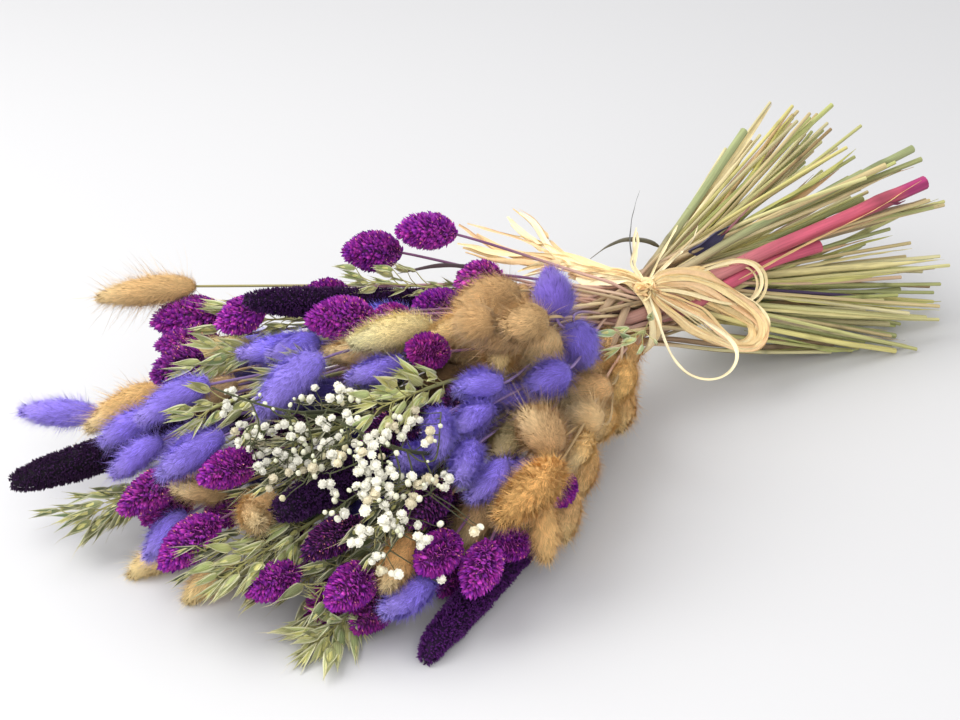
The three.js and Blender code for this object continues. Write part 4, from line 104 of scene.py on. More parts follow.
    ("look_violet_bunny_tail_12", "violet_bunny_tail_12", "V", 7.9, [(241.2,-38.6,40),(179.3,-39.5,43.8),(120.9,-40.4,47.1),(77.3,-42.5,49.1),(54.3,-46.3,51.7),(44.3,-48.1,51.7),(34.5,-48.7,55),(23.3,-49.9,57.9),(11.4,-51.7,60.5),(0.8,-54,64.9),(-6.8,-51.4,67.7),(-9.9,-47.1,72.7),(-11.6,-45.1,77.6),(-12.3,-43.6,81.3),(-12.5,-41.9,86.3),(-12,-39.9,91.8),(-11.1,-38,97.5),(-10.2,-36.3,102.3),(-9.6,-35.2,105.4)], {"col": (132,106,206), "tip": (144,116,216), "fur": 4.2, "tilt": 32, "bristles": 180, "bristle": 8, "tuft": 4.2, "meet": 0.15, "lean": 0.12, "dens": 2.8, "fat": 1.08}),
    ("look_violet_bunny_tail_13", "violet_bunny_tail_13", "V", 7.6, [(275.4,-28.9,2.2),(201,-38.4,17.7),(130.8,-47.6,32.2),(76.6,-54.5,44),(54.3,-56.7,50),(44.3,-56.8,53.8),(35.3,-55.5,57.9),(26.3,-52.1,62.9),(17.9,-45.9,67.1),(9.7,-44.9,70.8),(2.5,-49.1,73.7),(-3,-52.3,75.2),(-7.2,-55,75.8),(-10.4,-57.6,75.7),(-14.4,-60.5,74.3),(-18.6,-63.6,72),(-22.8,-66.4,68.9),(-26.2,-69,65.9),(-28.3,-70.8,63.8)], {"col": (150,124,226), "tip": (164,138,236), "fur": 4.2, "tilt": 32, "bristles": 180, "bristle": 8, "tuft": 4.2, "meet": 0.15, "lean": 0.12, "dens": 2.8, "fat": 1.1}),
    ("look_violet_bunny_tail_14", "violet_bunny_tail_14", "V", 6.8, [(236.8,18.9,33.7),(176.1,-4.4,36.9),(118.7,-26.7,39.5),(75.6,-44.1,40.9),(54.3,-52.7,44.4),(44.3,-56,48.3),(32.1,-60.4,53.2),(19.3,-65.2,57.6),(5.8,-68.2,61.7),(-7.7,-71,64.9),(-20.9,-74.2,66.9),(-33.5,-75.6,69.5),(-45.3,-76.5,71.7),(-49.5,-76.7,72.5),(-54.9,-76.9,73.5),(-60.8,-77.4,74.6),(-66.6,-77.9,75.7),(-71.5,-78.4,76.2),(-75.4,-79,76)], {"col": (158,136,242), "tip": (180,160,252), "fur": 4.2, "tilt": 32, "bristles": 180, "bristle": 8, "tuft": 4.2, "meet": 0.22, "lean": 0.12, "dens": 2.8}),
    ("violet_bunny_tail_more_05", None, "V", 6.5, [(288.7,-20.9,72.6),(216.4,-28.8,62.4),(144.2,-36.6,53.9),(76.2,-44.1,47.6),(54.3,-47.8,46.5),(44.3,-50.9,47.4),(27.2,-55.6,50.3),(9.6,-60.2,54),(-8.3,-64.9,57.1),(-26,-69.7,59.8),(-43.1,-73.8,62.9),(-59.4,-77.4,65.7),(-74.7,-80.4,69.4),(-79.7,-81,71.2),(-85.7,-81.1,73.6),(-92.6,-80.9,76),(-99.4,-80.4,78.2),(-105.2,-80,79.9),(-109,-79.4,82.9)], {"col": (158,136,242), "tip": (180,160,252), "fur": 4.2, "tilt": 32, "bristles": 125, "bristle": 8, "tuft": 4.2, "meet": 0.22, "lean": 0.12, "dens": 1.8, "fuzz": 1}),
    ("violet_bunny_tail_more_06", None, "V", 7, [(288.7,12,89.4),(216.2,-6.2,76.2),(143.8,-23.5,62.3),(75.6,-38.7,48.6),(54.3,-44.7,45.7),(44.3,-48.5,47.2),(18.1,-56.1,49.8),(-8.9,-64.2,52.3),(-35.6,-73.8,56.2),(-61.5,-85.1,58.6),(-86.5,-95.7,61),(-110.3,-105.4,63.2),(-133,-114.2,65.4),(-137.2,-115.6,65.9),(-142.6,-116.6,64.8),(-148.7,-117.3,63.6),(-154.9,-117.9,62.4),(-160.1,-118.2,61.4),(-163.5,-118.4,60.8)], {"col": (158,136,242), "tip": (180,160,252), "fur": 4.2, "tilt": 32, "bristles": 125, "bristle": 8, "tuft": 4.2, "meet": 0.22, "lean": 0.12, "dens": 1.8, "fuzz": 1}),
    ("violet_bunny_tail_more_07", None, "V", 6.7, [(288.7,-12.3,84.8),(216.3,-21.6,75),(144,-28.8,63.5),(75.9,-33.6,50.9),(54.3,-37.2,47.1),(44.3,-41,44.8),(22.3,-51.9,44.3),(-1.1,-62,43.6),(-25.1,-71.6,39.9),(-47.8,-82.3,41.2),(-69.5,-92,45.5),(-89.9,-100.8,49.4),(-109.2,-108.6,53),(-113.2,-109.9,53.6),(-118.5,-111.1,54.3),(-124.4,-112.1,54.9),(-130.3,-112.8,55.5),(-135.2,-113.3,56),(-138.7,-114,57.8)], {"col": (158,136,242), "tip": (180,160,252), "fur": 4.2, "tilt": 32, "bristles": 125, "bristle": 8, "tuft": 4.2, "meet": 0.22, "lean": 0.12, "dens": 1.8, "fuzz": 1}),
    ("look_canary_grass_01", "canary_grass_01", "P", 11.3, [(260.2,-112.3,4.1),(189.3,-88.4,17.8),(123.7,-65.4,35.7),(74.6,-48.6,56.1),(54.3,-41.3,63.8),(44.3,-38.7,68.9),(29.7,-29.1,74.6),(15.5,-16.8,79.5),(1.5,-3.8,85),(-12.2,9.1,90.7),(-25.3,21.2,96.2),(-37.7,32.4,101.1),(-49.5,42.6,105.4),(-53,45.3,106.4),(-58.4,48.8,107.5),(-63.9,52.1,108.3),(-69.6,55.3,108.9),(-74.2,57.8,109.2),(-77.2,59.3,109.3)], {"col": (150,40,160)}),
    ("look_canary_grass_02", "canary_grass_02", "P", 10.3, [(245.7,-91.2,5),(181.3,-79.1,27.2),(120.9,-67.2,49),(76.6,-54.6,68.5),(54.3,-55.8,74.9),(44.3,-52.2,77.9),(33.4,-45.6,86),(22.8,-32.6,91.2),(12.2,-20.1,96.7),(1.6,-8.7,102.2),(-8.7,1.6,107.6),(-18.5,11,112.5),(-27.9,19.5,116.8),(-31.3,22.5,118.1),(-36.5,26.6,119.4),(-41.8,30.5,120.4),(-47.3,34.5,121.1),(-51.7,37.7,121.4),(-54.5,39.8,121.5)], {"col": (168,50,174)}),
    ("look_canary_grass_03", "canary_grass_03", "P", 9.4, [(256.2,-84.5,2.6),(187.9,-74.8,24.7),(123.9,-65.3,47.1),(74.9,-55.1,63.3),(54.3,-53.7,71.6),(44.3,-55.1,75.5),(34.6,-49.7,80),(24.8,-41.5,83.3),(14.9,-33.4,86.7),(5.2,-25.9,90),(-4,-19.2,93),(-12.5,-13.4,95.6),(-20.4,-8.2,97.7),(-23.5,-6.4,98.3),(-28.1,-4.1,98.6),(-32.7,-2,98.5),(-37,0.5,97.4),(-40.3,2.5,96.1),(-43,3.4,94.5)], {"col": (176,52,166)}),
    ("look_canary_grass_04", "canary_grass_04", "P", 11.8, [(224.4,-134,26.5),(169.3,-100.6,43.7),(116.6,-68.8,57.7),(74.9,-46.7,67.5),(54.3,-36.6,70.8),(44.3,-32,72),(18,-14.7,74.7),(-8,5.7,77.3),(-34.1,27,80.1),(-60.1,48,83.2),(-85.3,68.2,83.8),(-109.4,87.5,80.8),(-132.3,105.5,77.8),(-136.7,108.7,77.1),(-143.1,113.1,76),(-149.5,117.4,75),(-156,121.7,74.4),(-161.2,125.1,74),(-164.5,127.2,73.6)], {"col": (154,42,160)}),
    ("look_canary_grass_05", "canary_grass_05", "P", 9.9, [(249.4,-114.7,3.1),(185,-91.7,29.4),(122,-72.6,51.2),(76.4,-53.1,71.5),(54.3,-46.5,78),(44.3,-42.4,78.7),(19,-26.8,82.7),(-7.6,-9.5,86.9),(-34.9,8,91.7),(-63.6,22,96.3),(-91.4,34,100.6),(-117.5,44.4,102.7),(-141.3,56.2,99.9),(-144.8,57.8,99.4),(-149.7,59.8,98.3),(-154.7,61.6,97.1),(-159.7,63.3,95.7),(-163.8,64.6,94.6),(-166.3,65.4,93.8)], {"col": (168,50,174)}),
    ("look_canary_grass_06", "canary_grass_06", "P", 11.1, [(256.6,-71.4,4.4),(188.7,-62.6,21.8),(124.5,-54.7,37.9),(75.9,-49.8,52.1),(54.3,-46.4,61),(44.3,-44.7,64.3),(20.5,-38.7,71.6),(-4,-34.1,78.7),(-28.9,-30.1,85.6),(-53.7,-26,92.3),(-77.9,-21.8,98.8),(-101.2,-17.6,105.3),(-123.1,-11.1,110.3),(-127.8,-9.2,111.1),(-134.6,-6.4,112.3),(-141.5,-3.7,113.3),(-148.3,-1,114.3),(-153.8,1.2,115.1),(-157.3,2.5,115.6)], {"col": (168,50,174)}),
    ("canary_grass_more_01", None, "P", 8.5, [(279.1,-69.6,13.3),(210,-62.8,33),(140.8,-56.9,48.5),(75.8,-52.3,58.6),(54.3,-50.1,64.5),(44.3,-47.8,67.7),(24.1,-41.3,72.3),(2.7,-35.6,79.6),(-19.5,-29.1,85.1),(-41.2,-23,90.1),(-61.4,-17.5,94.7),(-79.5,-12.7,98.6),(-96.2,-8.4,101.8),(-99.8,-7.7,102),(-104.9,-6.8,101.6),(-110,-6,100.6),(-115.1,-5.2,99.2),(-119.2,-4.6,97.7),(-121.7,-4.3,96.8)], {"col": (176,52,166)}),
    ("look_canary_grass_07", "canary_grass_07", "P", 9.2, [(258.1,-29.8,22.8),(189.9,-35.9,31.6),(125.5,-41.9,39.6),(76.9,-47.6,46.9),(54.3,-51.6,51.2),(44.3,-52.7,53),(21.2,-53.1,59),(-1.7,-52.9,68.4),(-25.8,-51.2,74),(-49.4,-52.2,80.8),(-72,-53.1,87.6),(-93.4,-53.9,94.3),(-113.4,-54.5,100.7),(-117.1,-54.6,102.1),(-122.2,-54.6,104.2),(-127.2,-54.6,106.6),(-132.2,-54.6,109.1),(-136.1,-54.5,111.1),(-138.6,-54.5,112.4)], {"col": (176,52,160)}),
    ("canary_grass_more_02", None, "P", 10.3, [(275.1,-125.6,10.6),(207,-98.9,29.4),(138.9,-73.2,48.4),(74.8,-49.8,66.4),(54.3,-42.1,70.8),(44.3,-38.1,74),(11,-24.9,74.8),(-23.2,-10.1,75.3),(-57.8,4.6,76.6),(-91.9,19,78.4),(-124.8,32.6,80.3),(-155.8,45.4,82.1),(-185.1,57.3,83.6),(-188.9,58.7,83.6),(-194.3,60.5,83.2),(-199.7,62.1,82.6),(-205.2,63.6,81.8),(-209.6,64.8,81),(-212.4,65.4,80.5)], {"col": (110,30,126)}),
    ("look_canary_grass_08", "canary_grass_08", "P", 9.4, [(236.3,-94.7,65.5),(176.5,-74.3,63.7),(120,-54.6,62.1),(77.5,-39.8,60.2),(54.3,-34.7,59.8),(44.3,-33.7,60.7),(3.4,-26.1,63.9),(-38.8,-19.7,63.7),(-81.4,-13.2,61.7),(-123.4,-6.5,60),(-163.8,-0.1,58.4),(-202.2,5.9,56.9),(-238.4,11.4,55.2),(-243.8,12.1,54.8),(-251.6,12.9,53.7),(-259.4,13.4,52.4),(-267.1,13.8,51),(-273.3,14,49.7),(-277.1,14.2,48.8)], {"col": (148,42,150)}),
    ("look_canary_grass_09", "canary_grass_09", "P", 9.4, [(260.5,-69.9,61.4),(191.8,-59.4,59.9),(127,-49.2,58.3),(77.6,-41.1,57.7),(54.3,-37.3,58.9),(44.3,-36.1,61.6),(7.4,-35.7,55.4),(-31.3,-34.9,57.9),(-70,-32.6,60.3),(-108.2,-29.6,62.5),(-145.6,-26.4,64.5),(-181.8,-23.4,66.2),(-216.3,-20.5,67.8),(-221,-20.1,68),(-227.8,-19.6,68.3),(-234.6,-19.1,68.5),(-241.4,-18.6,68.7),(-246.8,-18.3,68.8),(-250.2,-18,68.9)], {"col": (168,50,174)}),
    ("look_canary_grass_10", "canary_grass_10", "P", 10.2, [(256.7,-63.6,75.9),(189.2,-54.3,69.4),(125.6,-45.4,63.2),(77.2,-37.3,61.1),(54.3,-32.2,60.3),(44.3,-30.3,61.6),(2.3,-29,54.3),(-40.9,-28.4,51.8),(-84.5,-27.2,50.9),(-127.6,-25.9,49.7),(-168.9,-24.6,48.3),(-207.9,-23.5,46.5),(-244.7,-22.6,44.6),(-250.2,-22.6,44.1),(-257.9,-22.9,43),(-265.7,-23.4,41.5),(-273.3,-24.1,39.9),(-279.5,-24.7,38.4),(-283.3,-25.1,37.5)], {"col": (168,50,174)}),
    ("look_canary_grass_11", "canary_grass_11", "P", 9.2, [(247.1,-33.9,91.5),(183.2,-34.1,79),(122.9,-34,67.1),(77.5,-33.4,57.7),(54.3,-34,53.7),(44.3,-34.7,51.3),(4.4,-39.9,47.3),(-36.6,-45.4,44.5),(-78.1,-50.5,41.9),(-119,-55,38.9),(-158.6,-59.1,35.9),(-196.3,-62.8,33),(-232,-66.2,30.3),(-236.4,-66.5,30),(-242.7,-66.7,29.9),(-248.9,-66.8,29.9),(-255.2,-66.4,30.2),(-260.2,-65.7,30.7),(-263.3,-65.3,31)], {"col": (168,50,174)}),
    ("look_canary_grass_12", "canary_grass_12", "P", 10.5, [(281.7,-13.7,93.4),(205.4,-22.2,79.1),(133.3,-30,65),(77.4,-36.6,54.6),(54.3,-39.6,51.6),(44.3,-40.5,50.3),(6.7,-46.7,49.4),(-31,-56.6,48.3),(-69,-65.9,46),(-106.6,-74.8,43.3),(-143.3,-83.2,40.4),(-178.6,-91.1,37.6),(-212.2,-98.5,34.9),(-216.7,-99.4,34.6),(-223.2,-100.6,34.2),(-229.7,-101.7,33.9),(-236.2,-102.7,33.6),(-241.5,-103.5,33.3),(-244.7,-104,33.2)], {"col": (168,50,174)}),
    ("look_canary_grass_13", "canary_grass_13", "P", 10.3, [(253.1,14,95),(187.1,-3.5,80.5),(124.8,-19.8,66.3),(76.8,-30.8,55.3),(54.3,-34.6,51),(44.3,-36.6,48),(11.7,-47.6,46.4),(-22.9,-58.2,48.4),(-57.2,-70.4,48.9),(-90,-84.4,48.1),(-121,-97.4,47),(-149.9,-109.2,46.1),(-176.9,-119.9,45.5),(-181.3,-121.4,45.5),(-187.5,-123.5,45.7),(-193.7,-125.5,46.2),(-200.1,-127,46.7),(-205.2,-128.1,47.2),(-208.4,-128.8,47.5)], {"col": (168,50,174)}),
    ("look_canary_grass_14", "canary_grass_14", "P", 9.8, [(285.2,17.7,90.4),(207.6,-2.6,76.5),(134.3,-21.6,63),(77,-35.7,52),(54.3,-40.1,49.1),(44.3,-42.2,47.1),(13.3,-53.3,46.9),(-17.7,-66,41.9),(-48.7,-79.8,39.3),(-79.2,-94.4,40.4),(-109,-108.2,41.4),(-137.8,-121,42.3),(-165.1,-133.2,42.3),(-169,-135.4,41.2),(-173.9,-137.9,38.9),(-179,-140,36.5),(-184.3,-141.8,34.1),(-188.6,-143.2,32.2),(-191.3,-144,31)], {"col": (168,50,174)}),
    ("look_canary_grass_15", "canary_grass_15", "P", 8.8, [(261.6,27.6,82.5),(191.7,7.2,69.4),(126.2,-14.2,57.2),(76,-32.2,49.1),(54.3,-39.9,46.1),(44.3,-43.8,45.1),(23.7,-52.8,47),(2.5,-61.8,48.7),(-18.2,-70.7,54),(-37.3,-81.4,59),(-56.3,-94.2,53.8),(-74.3,-106,48.8),(-91.1,-116.9,44.2),(-94.4,-119,43.3),(-99,-122.2,42.4),(-103.3,-125.6,42.6),(-107.6,-129,42.9),(-111.2,-131.7,43.1),(-113.5,-133.4,43.2)], {"col": (168,50,174)}),
    ("canary_grass_more_03", None, "P", 8.1, [(282.3,2.1,108.8),(212,-7.1,90.3),(141.7,-18.2,71.5),(75.5,-30.3,53.6),(54.3,-34.5,48),(44.3,-37.6,45.5),(18.3,-51.8,42.3),(-7.5,-70.2,39.1),(-35.7,-84.7,36.9),(-64.2,-97.4,35.8),(-90.2,-109.8,34.1),(-113.6,-120.5,32.5),(-135.2,-129.9,31.3),(-138.6,-131,31.3),(-143.6,-132.2,31.9),(-148.3,-133.1,32.9),(-152.9,-133.8,34.1),(-156.6,-134.1,35.5),(-159.7,-134.3,36.9)], {"col": (168,50,174)}),
    ("look_dark_spike_01", "dark_spike_01", "S", 9.1, [(265,-111.5,97),(194.3,-91.9,86.5),(127.6,-72.8,76.5),(75.9,-60.8,67.4),(54.3,-59.2,65.2),(44.3,-54.8,63),(12.7,-36.9,61.6),(-18.3,-16.8,56.3),(-49.5,3.3,51.7),(-81.1,21.7,49.7),(-112.8,37.4,48.1),(-144,50,44.9),(-173.6,61.8,41.2),(-182.4,65.1,40.3),(-204.9,73,38.4),(-231.9,82.3,36.4),(-259,91.3,34.5),(-278.3,97.6,33.3),(-286.2,100.2,32.7)], {"col": (36,14,42), "stem": (4.4,3.4), "green": (190,86,106), "neck": (184,140,128), "dyed": 1, "joints": [0.075], "end": (160,52,104)}),
    ("look_dark_spike_02", "dark_spike_02", "S", 8, [(186,-87.5,71.5),(143.4,-76.7,70.2),(102.6,-70.7,64.6),(74.2,-64.1,58.6),(54.3,-54.2,57),(44.3,-47.3,56.8),(37,-35.1,55.5),(28.4,-22.9,54),(19.4,-10.3,56.5),(9.3,-0.1,60.9),(-2.3,5.8,66.1),(-13.6,9.6,70.2),(-24.3,12.7,73.5),(-35.2,15.5,76.7),(-62.9,21.9,84.6),(-96.2,29.4,94.3),(-129.3,38.5,103.9),(-152.5,45.7,110.6),(-162.1,48.6,113.3)], {"col": (46,14,56), "stem": (3.9,3.0), "green": (190,84,108), "neck": (178,132,122), "dyed": 1, "joints": []}),
    ("look_dark_spike_03", "dark_spike_03", "S", 8.3, [(191.7,-21.6,128.8),(147.2,-29,109.9),(105.1,-36,92.2),(75,-40.3,79.3),(54.3,-45.4,73.4),(44.3,-50,71),(24.4,-59.3,65.9),(4.3,-65.8,52.6),(-17.3,-72.7,42.5),(-39,-81.1,35.4),(-60.2,-90.4,30.3),(-80.4,-98.7,23.5),(-99.7,-106.1,9.5),(-108.9,-109.3,7.6),(-132.5,-116.3,8.3),(-161,-124.3,8.3),(-189.7,-132,7.9),(-210,-137.4,6.6),(-218.4,-139.6,1.8)], {"col": (68,20,84), "green": (152,160,112), "neck": (180,154,124)}),
    ("look_dark_spike_04", "dark_spike_04", "S", 9, [(276.3,-93.9,111.9),(201.8,-78.2,99.5),(131.3,-62.8,88.1),(76.6,-53.9,77.4),(54.3,-52,76.9),(44.3,-47.4,77.8),(15.5,-48.9,71.2),(-13.3,-49.2,62.3),(-42.7,-50.6,56.2),(-72.8,-51,55.7),(-101.9,-51.5,55.2),(-129.6,-52,54.7),(-155.9,-52.6,54.4),(-162.4,-52.8,54.5),(-178.6,-53.5,55.3),(-198,-54.4,56.5),(-217.2,-55.4,57.9),(-230.8,-56.2,59),(-237.1,-54.9,59)], {"col": (46,15,58), "green": (150,158,110), "joints": [0.07,0.52], "neck": (184,158,128)}),
    ("look_oat_stalk_01", "oat_stalk_01", "O", 6, [(236.4,-113.8,7.5),(175.5,-91.3,25.8),(119.3,-68.6,45.8),(74.8,-55.8,60.2),(54.3,-48.3,67.6),(44.3,-44.8,68.5),(13.8,-31.1,72.5),(-17.5,-15.9,74.6),(-50.4,-3.7,76.4),(-82.7,8.1,79.7),(-113.4,19.9,83.5),(-142.2,31,86.4),(-169.8,39.7,88.7),(-177.1,41,89),(-186.8,42.7,88.5),(-196.5,44.2,87.4),(-206.3,45.6,86),(-213.5,46.7,84.7),(-218.4,47.4,83.8)], {"col": (160,168,108), "n": 10}),
    ("oat_stalk_more_01", None, "O", 5.1, [(264.1,-103.4,19.2),(200,-83.3,31),(135.9,-63.5,44),(75.5,-45.1,57.7),(54.3,-38.9,61.9),(44.3,-37.4,64.2),(6.6,-31,66.4),(-34,-24.6,69.1),(-74.9,-15.2,72.8),(-114.6,-6.2,76.3),(-151,1.9,79.3),(-183.3,8.6,81.4),(-212.5,14.2,82.6),(-216.9,14.7,82.3),(-222.4,14.7,80.8),(-227.7,14.3,78.6),(-232.8,13.7,75.9),(-236.7,13,73.7),(-239.2,12.5,72.2)], {"col": (160,168,108), "n": 6}),
    ("look_oat_stalk_02", "oat_stalk_02", "O", 6.4, [(234.2,-79.5,1.7),(174.1,-69.1,19.6),(117.2,-59.6,36.4),(74.8,-53,50.5),(54.3,-49.4,61.2),(44.3,-47.6,64.8),(13.6,-39.7,71.9),(-20.2,-31.6,77.4),(-55.2,-24.3,81.7),(-88.9,-17.7,85.7),(-119.7,-12.2,88.9),(-146.7,-7.8,91.1),(-170.8,-4.5,92),(-178.6,-3.9,91.4),(-188.7,-4,89.1),(-198.6,-4.7,85.9),(-208.3,-5.7,81.8),(-215.6,-6.7,78.5),(-220.3,-7.5,76.1)], {"col": (134,142,92), "n": 11}),
    ("look_oat_stalk_03", "oat_stalk_03", "O", 5.5, [(280.8,-98.6,104.7),(204.4,-75.3,94.6),(132.1,-53.6,84.3),(76.4,-36.6,73.6),(54.3,-30,70.1),(44.3,-27.5,68.2),(2.9,-17.2,64.6),(-39,-6.1,59),(-81.1,5.2,52.8),(-122.8,16.4,46.8),(-163.6,27.5,40.9),(-203,38.2,35.1),(-240.5,48.3,29.5),(-247.3,50.1,28.4),(-256.4,52.4,26.9),(-265.6,54.6,25.3),(-274.7,56.8,23.6),(-281.5,58.4,22.3),(-286.1,59.5,21.4)], {"col": (124,132,88), "n": 13, "size": 19}),
    ("look_oat_stalk_04", "oat_stalk_04", "O", 6.4, [(251.9,-41.2,81.9),(186.4,-40,72.5),(124.4,-38.5,63.5),(77.5,-36.4,58.1),(54.3,-36.9,54.5),(44.3,-37.7,50.8),(6.4,-42.4,48.9),(-32.4,-44.8,48.4),(-71.5,-46.7,47.1),(-110.2,-48.5,45.5),(-148.1,-50.2,43.6),(-184.6,-51.7,41.6),(-219.5,-53.1,39.8),(-229.4,-53.4,39.4),(-242.6,-53.5,39),(-255.8,-54,38.3),(-268.9,-55,37.4),(-278.8,-55.7,36.7),(-285.4,-56.1,36.2)], {"col": (160,168,108), "n": 14, "size": 20}),
    ("look_oat_stalk_05", "oat_stalk_05", "O", 6.4, [(274,-26.7,99.7),(200.3,-28.3,84.9),(130.6,-29.3,70.7),(77,-29.4,58.5),(54.3,-31.4,52.3),(44.3,-32.8,49.1),(9.5,-39.8,44.1),(-26,-47.9,40.4),(-61.7,-55.7,36.2),(-97,-63.1,31.3),(-131.7,-70.1,25.2),(-165.1,-76.9,17.1),(-197,-83.4,1.6),(-206.4,-85.4,3.8),(-219,-88.1,5.8),(-231.4,-90.9,6.4),(-243.9,-93.8,5.4),(-253.3,-96,3.2),(-259.5,-97.5,0.7)], {"col": (172,178,122), "n": 29, "size": 21, "lean": 44}),
    ("look_oat_stalk_06", "oat_stalk_06", "O", 6.4, [(252.4,-18.9,16.8),(186.2,-29.2,26.9),(123.7,-39.3,36.3),(76.6,-48.3,43.8),(54.3,-53.2,48.4),(44.3,-55.1,51.3),(18.9,-56.3,58.9),(-7.7,-55.5,64.5),(-34.5,-55.9,69.6),(-60.7,-58.3,76.2),(-86,-60.7,82.1),(-110.3,-63,87.5),(-133.4,-65.1,92.3),(-142.2,-65.9,93.9),(-154,-66.8,95.6),(-165.8,-67.7,97.1),(-177.7,-68.6,98.3),(-186.7,-69.2,99.1),(-192.6,-69.6,99.6)], {"col": (198,204,132), "n": 13, "size": 19, "lean": 30}),
    ("oat_stalk_more_02", None, "O", 4.2, [(234.3,-120.6,2.2),(179.8,-96.5,23.8),(125.4,-72.6,43.8),(74.1,-50.4,61),(54.3,-41.9,67),(44.3,-40.1,71.5),(30.6,-36.6,74.4),(18.3,-28.2,78.3),(6.3,-18.4,81.1),(-5.7,-9,84.2),(-17.7,0,87.3),(-30.9,5.8,88.3),(-43.9,9.5,90.9),(-53.4,12.5,94.3),(-65.9,16.9,98.6),(-78.6,21.2,102.7),(-91.2,25.6,106.7),(-100.8,28.9,109.6),(-107.1,31.1,111.6)], {"col": (160,168,108), "n": 11, "size": 14, "lean": 16}),
    ("oat_stalk_more_03", None, "O", 4.2, [(187.2,-93.3,2.2),(148.9,-80.7,12.5),(110.6,-66.6,24.1),(74.5,-52,36.2),(54.3,-50.5,41.3),(44.3,-55.8,43.9),(38.7,-61.6,49.4),(32,-68.2,56.9),(24.8,-75.4,64.7),(17.9,-82.3,71.6),(11.8,-87.5,76.8),(7.1,-90.5,79.8),(3.4,-91.5,81.2),(0.9,-91.1,81.2),(-2.4,-89.3,80.2),(-5.7,-86.6,78.6),(-8.9,-83.7,76.7),(-11.3,-81.4,75.3),(-12.9,-79.8,74.3)], {"col": (178,194,136), "n": 5, "size": 15, "lean": 12}),
    ("look_gypsophila_01", "gypsophila_01", "G", 1.1, [(240.5,16.7,57),(179.1,-3.1,56.4),(120.8,-20.8,55.2),(76.8,-33.1,53.3),(54.3,-37.3,50),(44.3,-39.4,47.6),(11.8,-50.6,46.9),(-23.7,-62.1,54.3),(-60.3,-71.8,61.3),(-95.4,-81,67.2),(-127,-89,72.5),(-153.8,-95.3,77),(-176.7,-98.2,84.3),(-185.4,-96.9,89.2),(-193.5,-94.6,94.6),(-201.2,-91.6,100.3),(-208.5,-88.1,106.3),(-215.6,-84.2,112.5),(-222.6,-80.1,118.7)], {"near_shaded": (74,78,50), "deep": 0.5}),
    ("look_gypsophila_02", "gypsophila_02", "G", 1.1, [(286.7,-26.6,50.9),(208.6,-31.9,51.5),(134.8,-36.8,51.6),(77.6,-40.3,50.8),(54.3,-42.3,50.7),(44.3,-44.4,48.9),(8.5,-49,53.7),(-29.2,-55.5,60.6),(-67.6,-56.2,68.2),(-104.7,-54.4,75.7),(-138.8,-52.5,82.7),(-168.8,-50.4,89.4),(-195.7,-47.9,96.1),(-205.6,-46.4,99.3),(-215,-44.2,103.3),(-223.9,-41.2,108),(-232.5,-37.8,113.3),(-240.8,-34,118.9),(-249,-30,124.6)], {"near_shaded": (74,78,50), "deep": 0.5}),
    ("violet_bunny_tail_more_08", None, "V", 7.2, [(288.7,-114.4,77.4),(216,-87.1,73.5),(143.4,-60.7,69.9),(75,-36.8,66.9),(54.3,-28.7,65.7),(44.3,-25,64.7),(21.7,-12.7,63.3),(-1,0.3,61.8),(-19.1,21.1,57.8),(-37.1,41.5,53.9),(-54.6,61.2,50.4),(-71.6,79.9,47.1),(-87.8,97.6,44.1),(-91.8,101.7,43.4),(-97,107,42.7),(-102.9,112.8,42.1),(-108.9,118.5,41.5),(-114,123.4,41),(-117.3,126.5,40.7)], {"col": (152,139,234), "tip": (180,160,252), "fur": 4.2, "tilt": 32, "bristles": 125, "bristle": 8, "tuft": 4.2, "meet": 0.22, "lean": 0.12, "dens": 1.8, "fuzz": 1}),
    ("canary_grass_more_04", None, "P", 9.9, [(283,-111.4,77),(212.4,-82.4,71.7),(141.8,-56.2,66.7),(75.3,-34.4,62.3),(54.3,-26.9,60.3),(44.3,-23.7,59.4),(15.6,-11.2,61.1),(-10.3,6.4,58.1),(-35.7,25.4,54.6),(-61,44.1,51.3),(-85.9,62.3,48.2),(-109.9,79.7,45.2),(-132.9,96.2,42.4),(-136.7,98.9,42),(-142.2,102.6,41.4),(-147.7,106.3,41),(-153.3,109.9,40.5),(-157.8,112.8,40.2),(-160.6,114.6,40)], {"col": (174,50,177)}),
    ("natural_bunny_tail_more_06", None, "T", 7.4, [(288.7,-113.3,29.9),(216.1,-90.3,40.1),(143.6,-65.5,50.6),(75.3,-40.2,60.6),(54.3,-32.9,62.7),(44.3,-30.7,64),(17,-19.1,63.5),(-9.7,-4.7,64.9),(-36.4,10.6,65.7),(-63,25.8,66.5),(-89.1,40.5,67.2),(-114.4,54.6,67.9),(-138.5,68.1,68.7),(-143.8,71,68.9),(-150.7,74.8,69.2),(-158.4,79,69.6),(-166,83.2,70.1),(-172.5,86.7,70.5),(-176.8,89,70.8)], {"col": (226,206,147), "tip": (250,224,172), "bristles": 182, "bristle": 12, "dens": 1.8, "fuzz": 1}),
    ("oat_stalk_more_04", None, "O", 6, [(243.2,-135.9,17.1),(185.6,-106.3,32.9),(128,-75.8,48.4),(73.8,-46.4,62.4),(54.3,-36.5,67.8),(44.3,-32.7,68.2),(21.8,-22.8,69.7),(-0.5,-10.2,68.8),(-23.1,2.8,68.9),(-45.1,16.3,70),(-65.9,30.6,73.1),(-86,44.3,75.9),(-105.3,57.2,78.5),(-113,62.2,79.5),(-123.4,68.8,80.8),(-133.8,75.3,82.1),(-144.2,81.8,83.4),(-152.1,86.6,84.3),(-157.3,89.8,84.9)], {"col": (158,165,106)}),
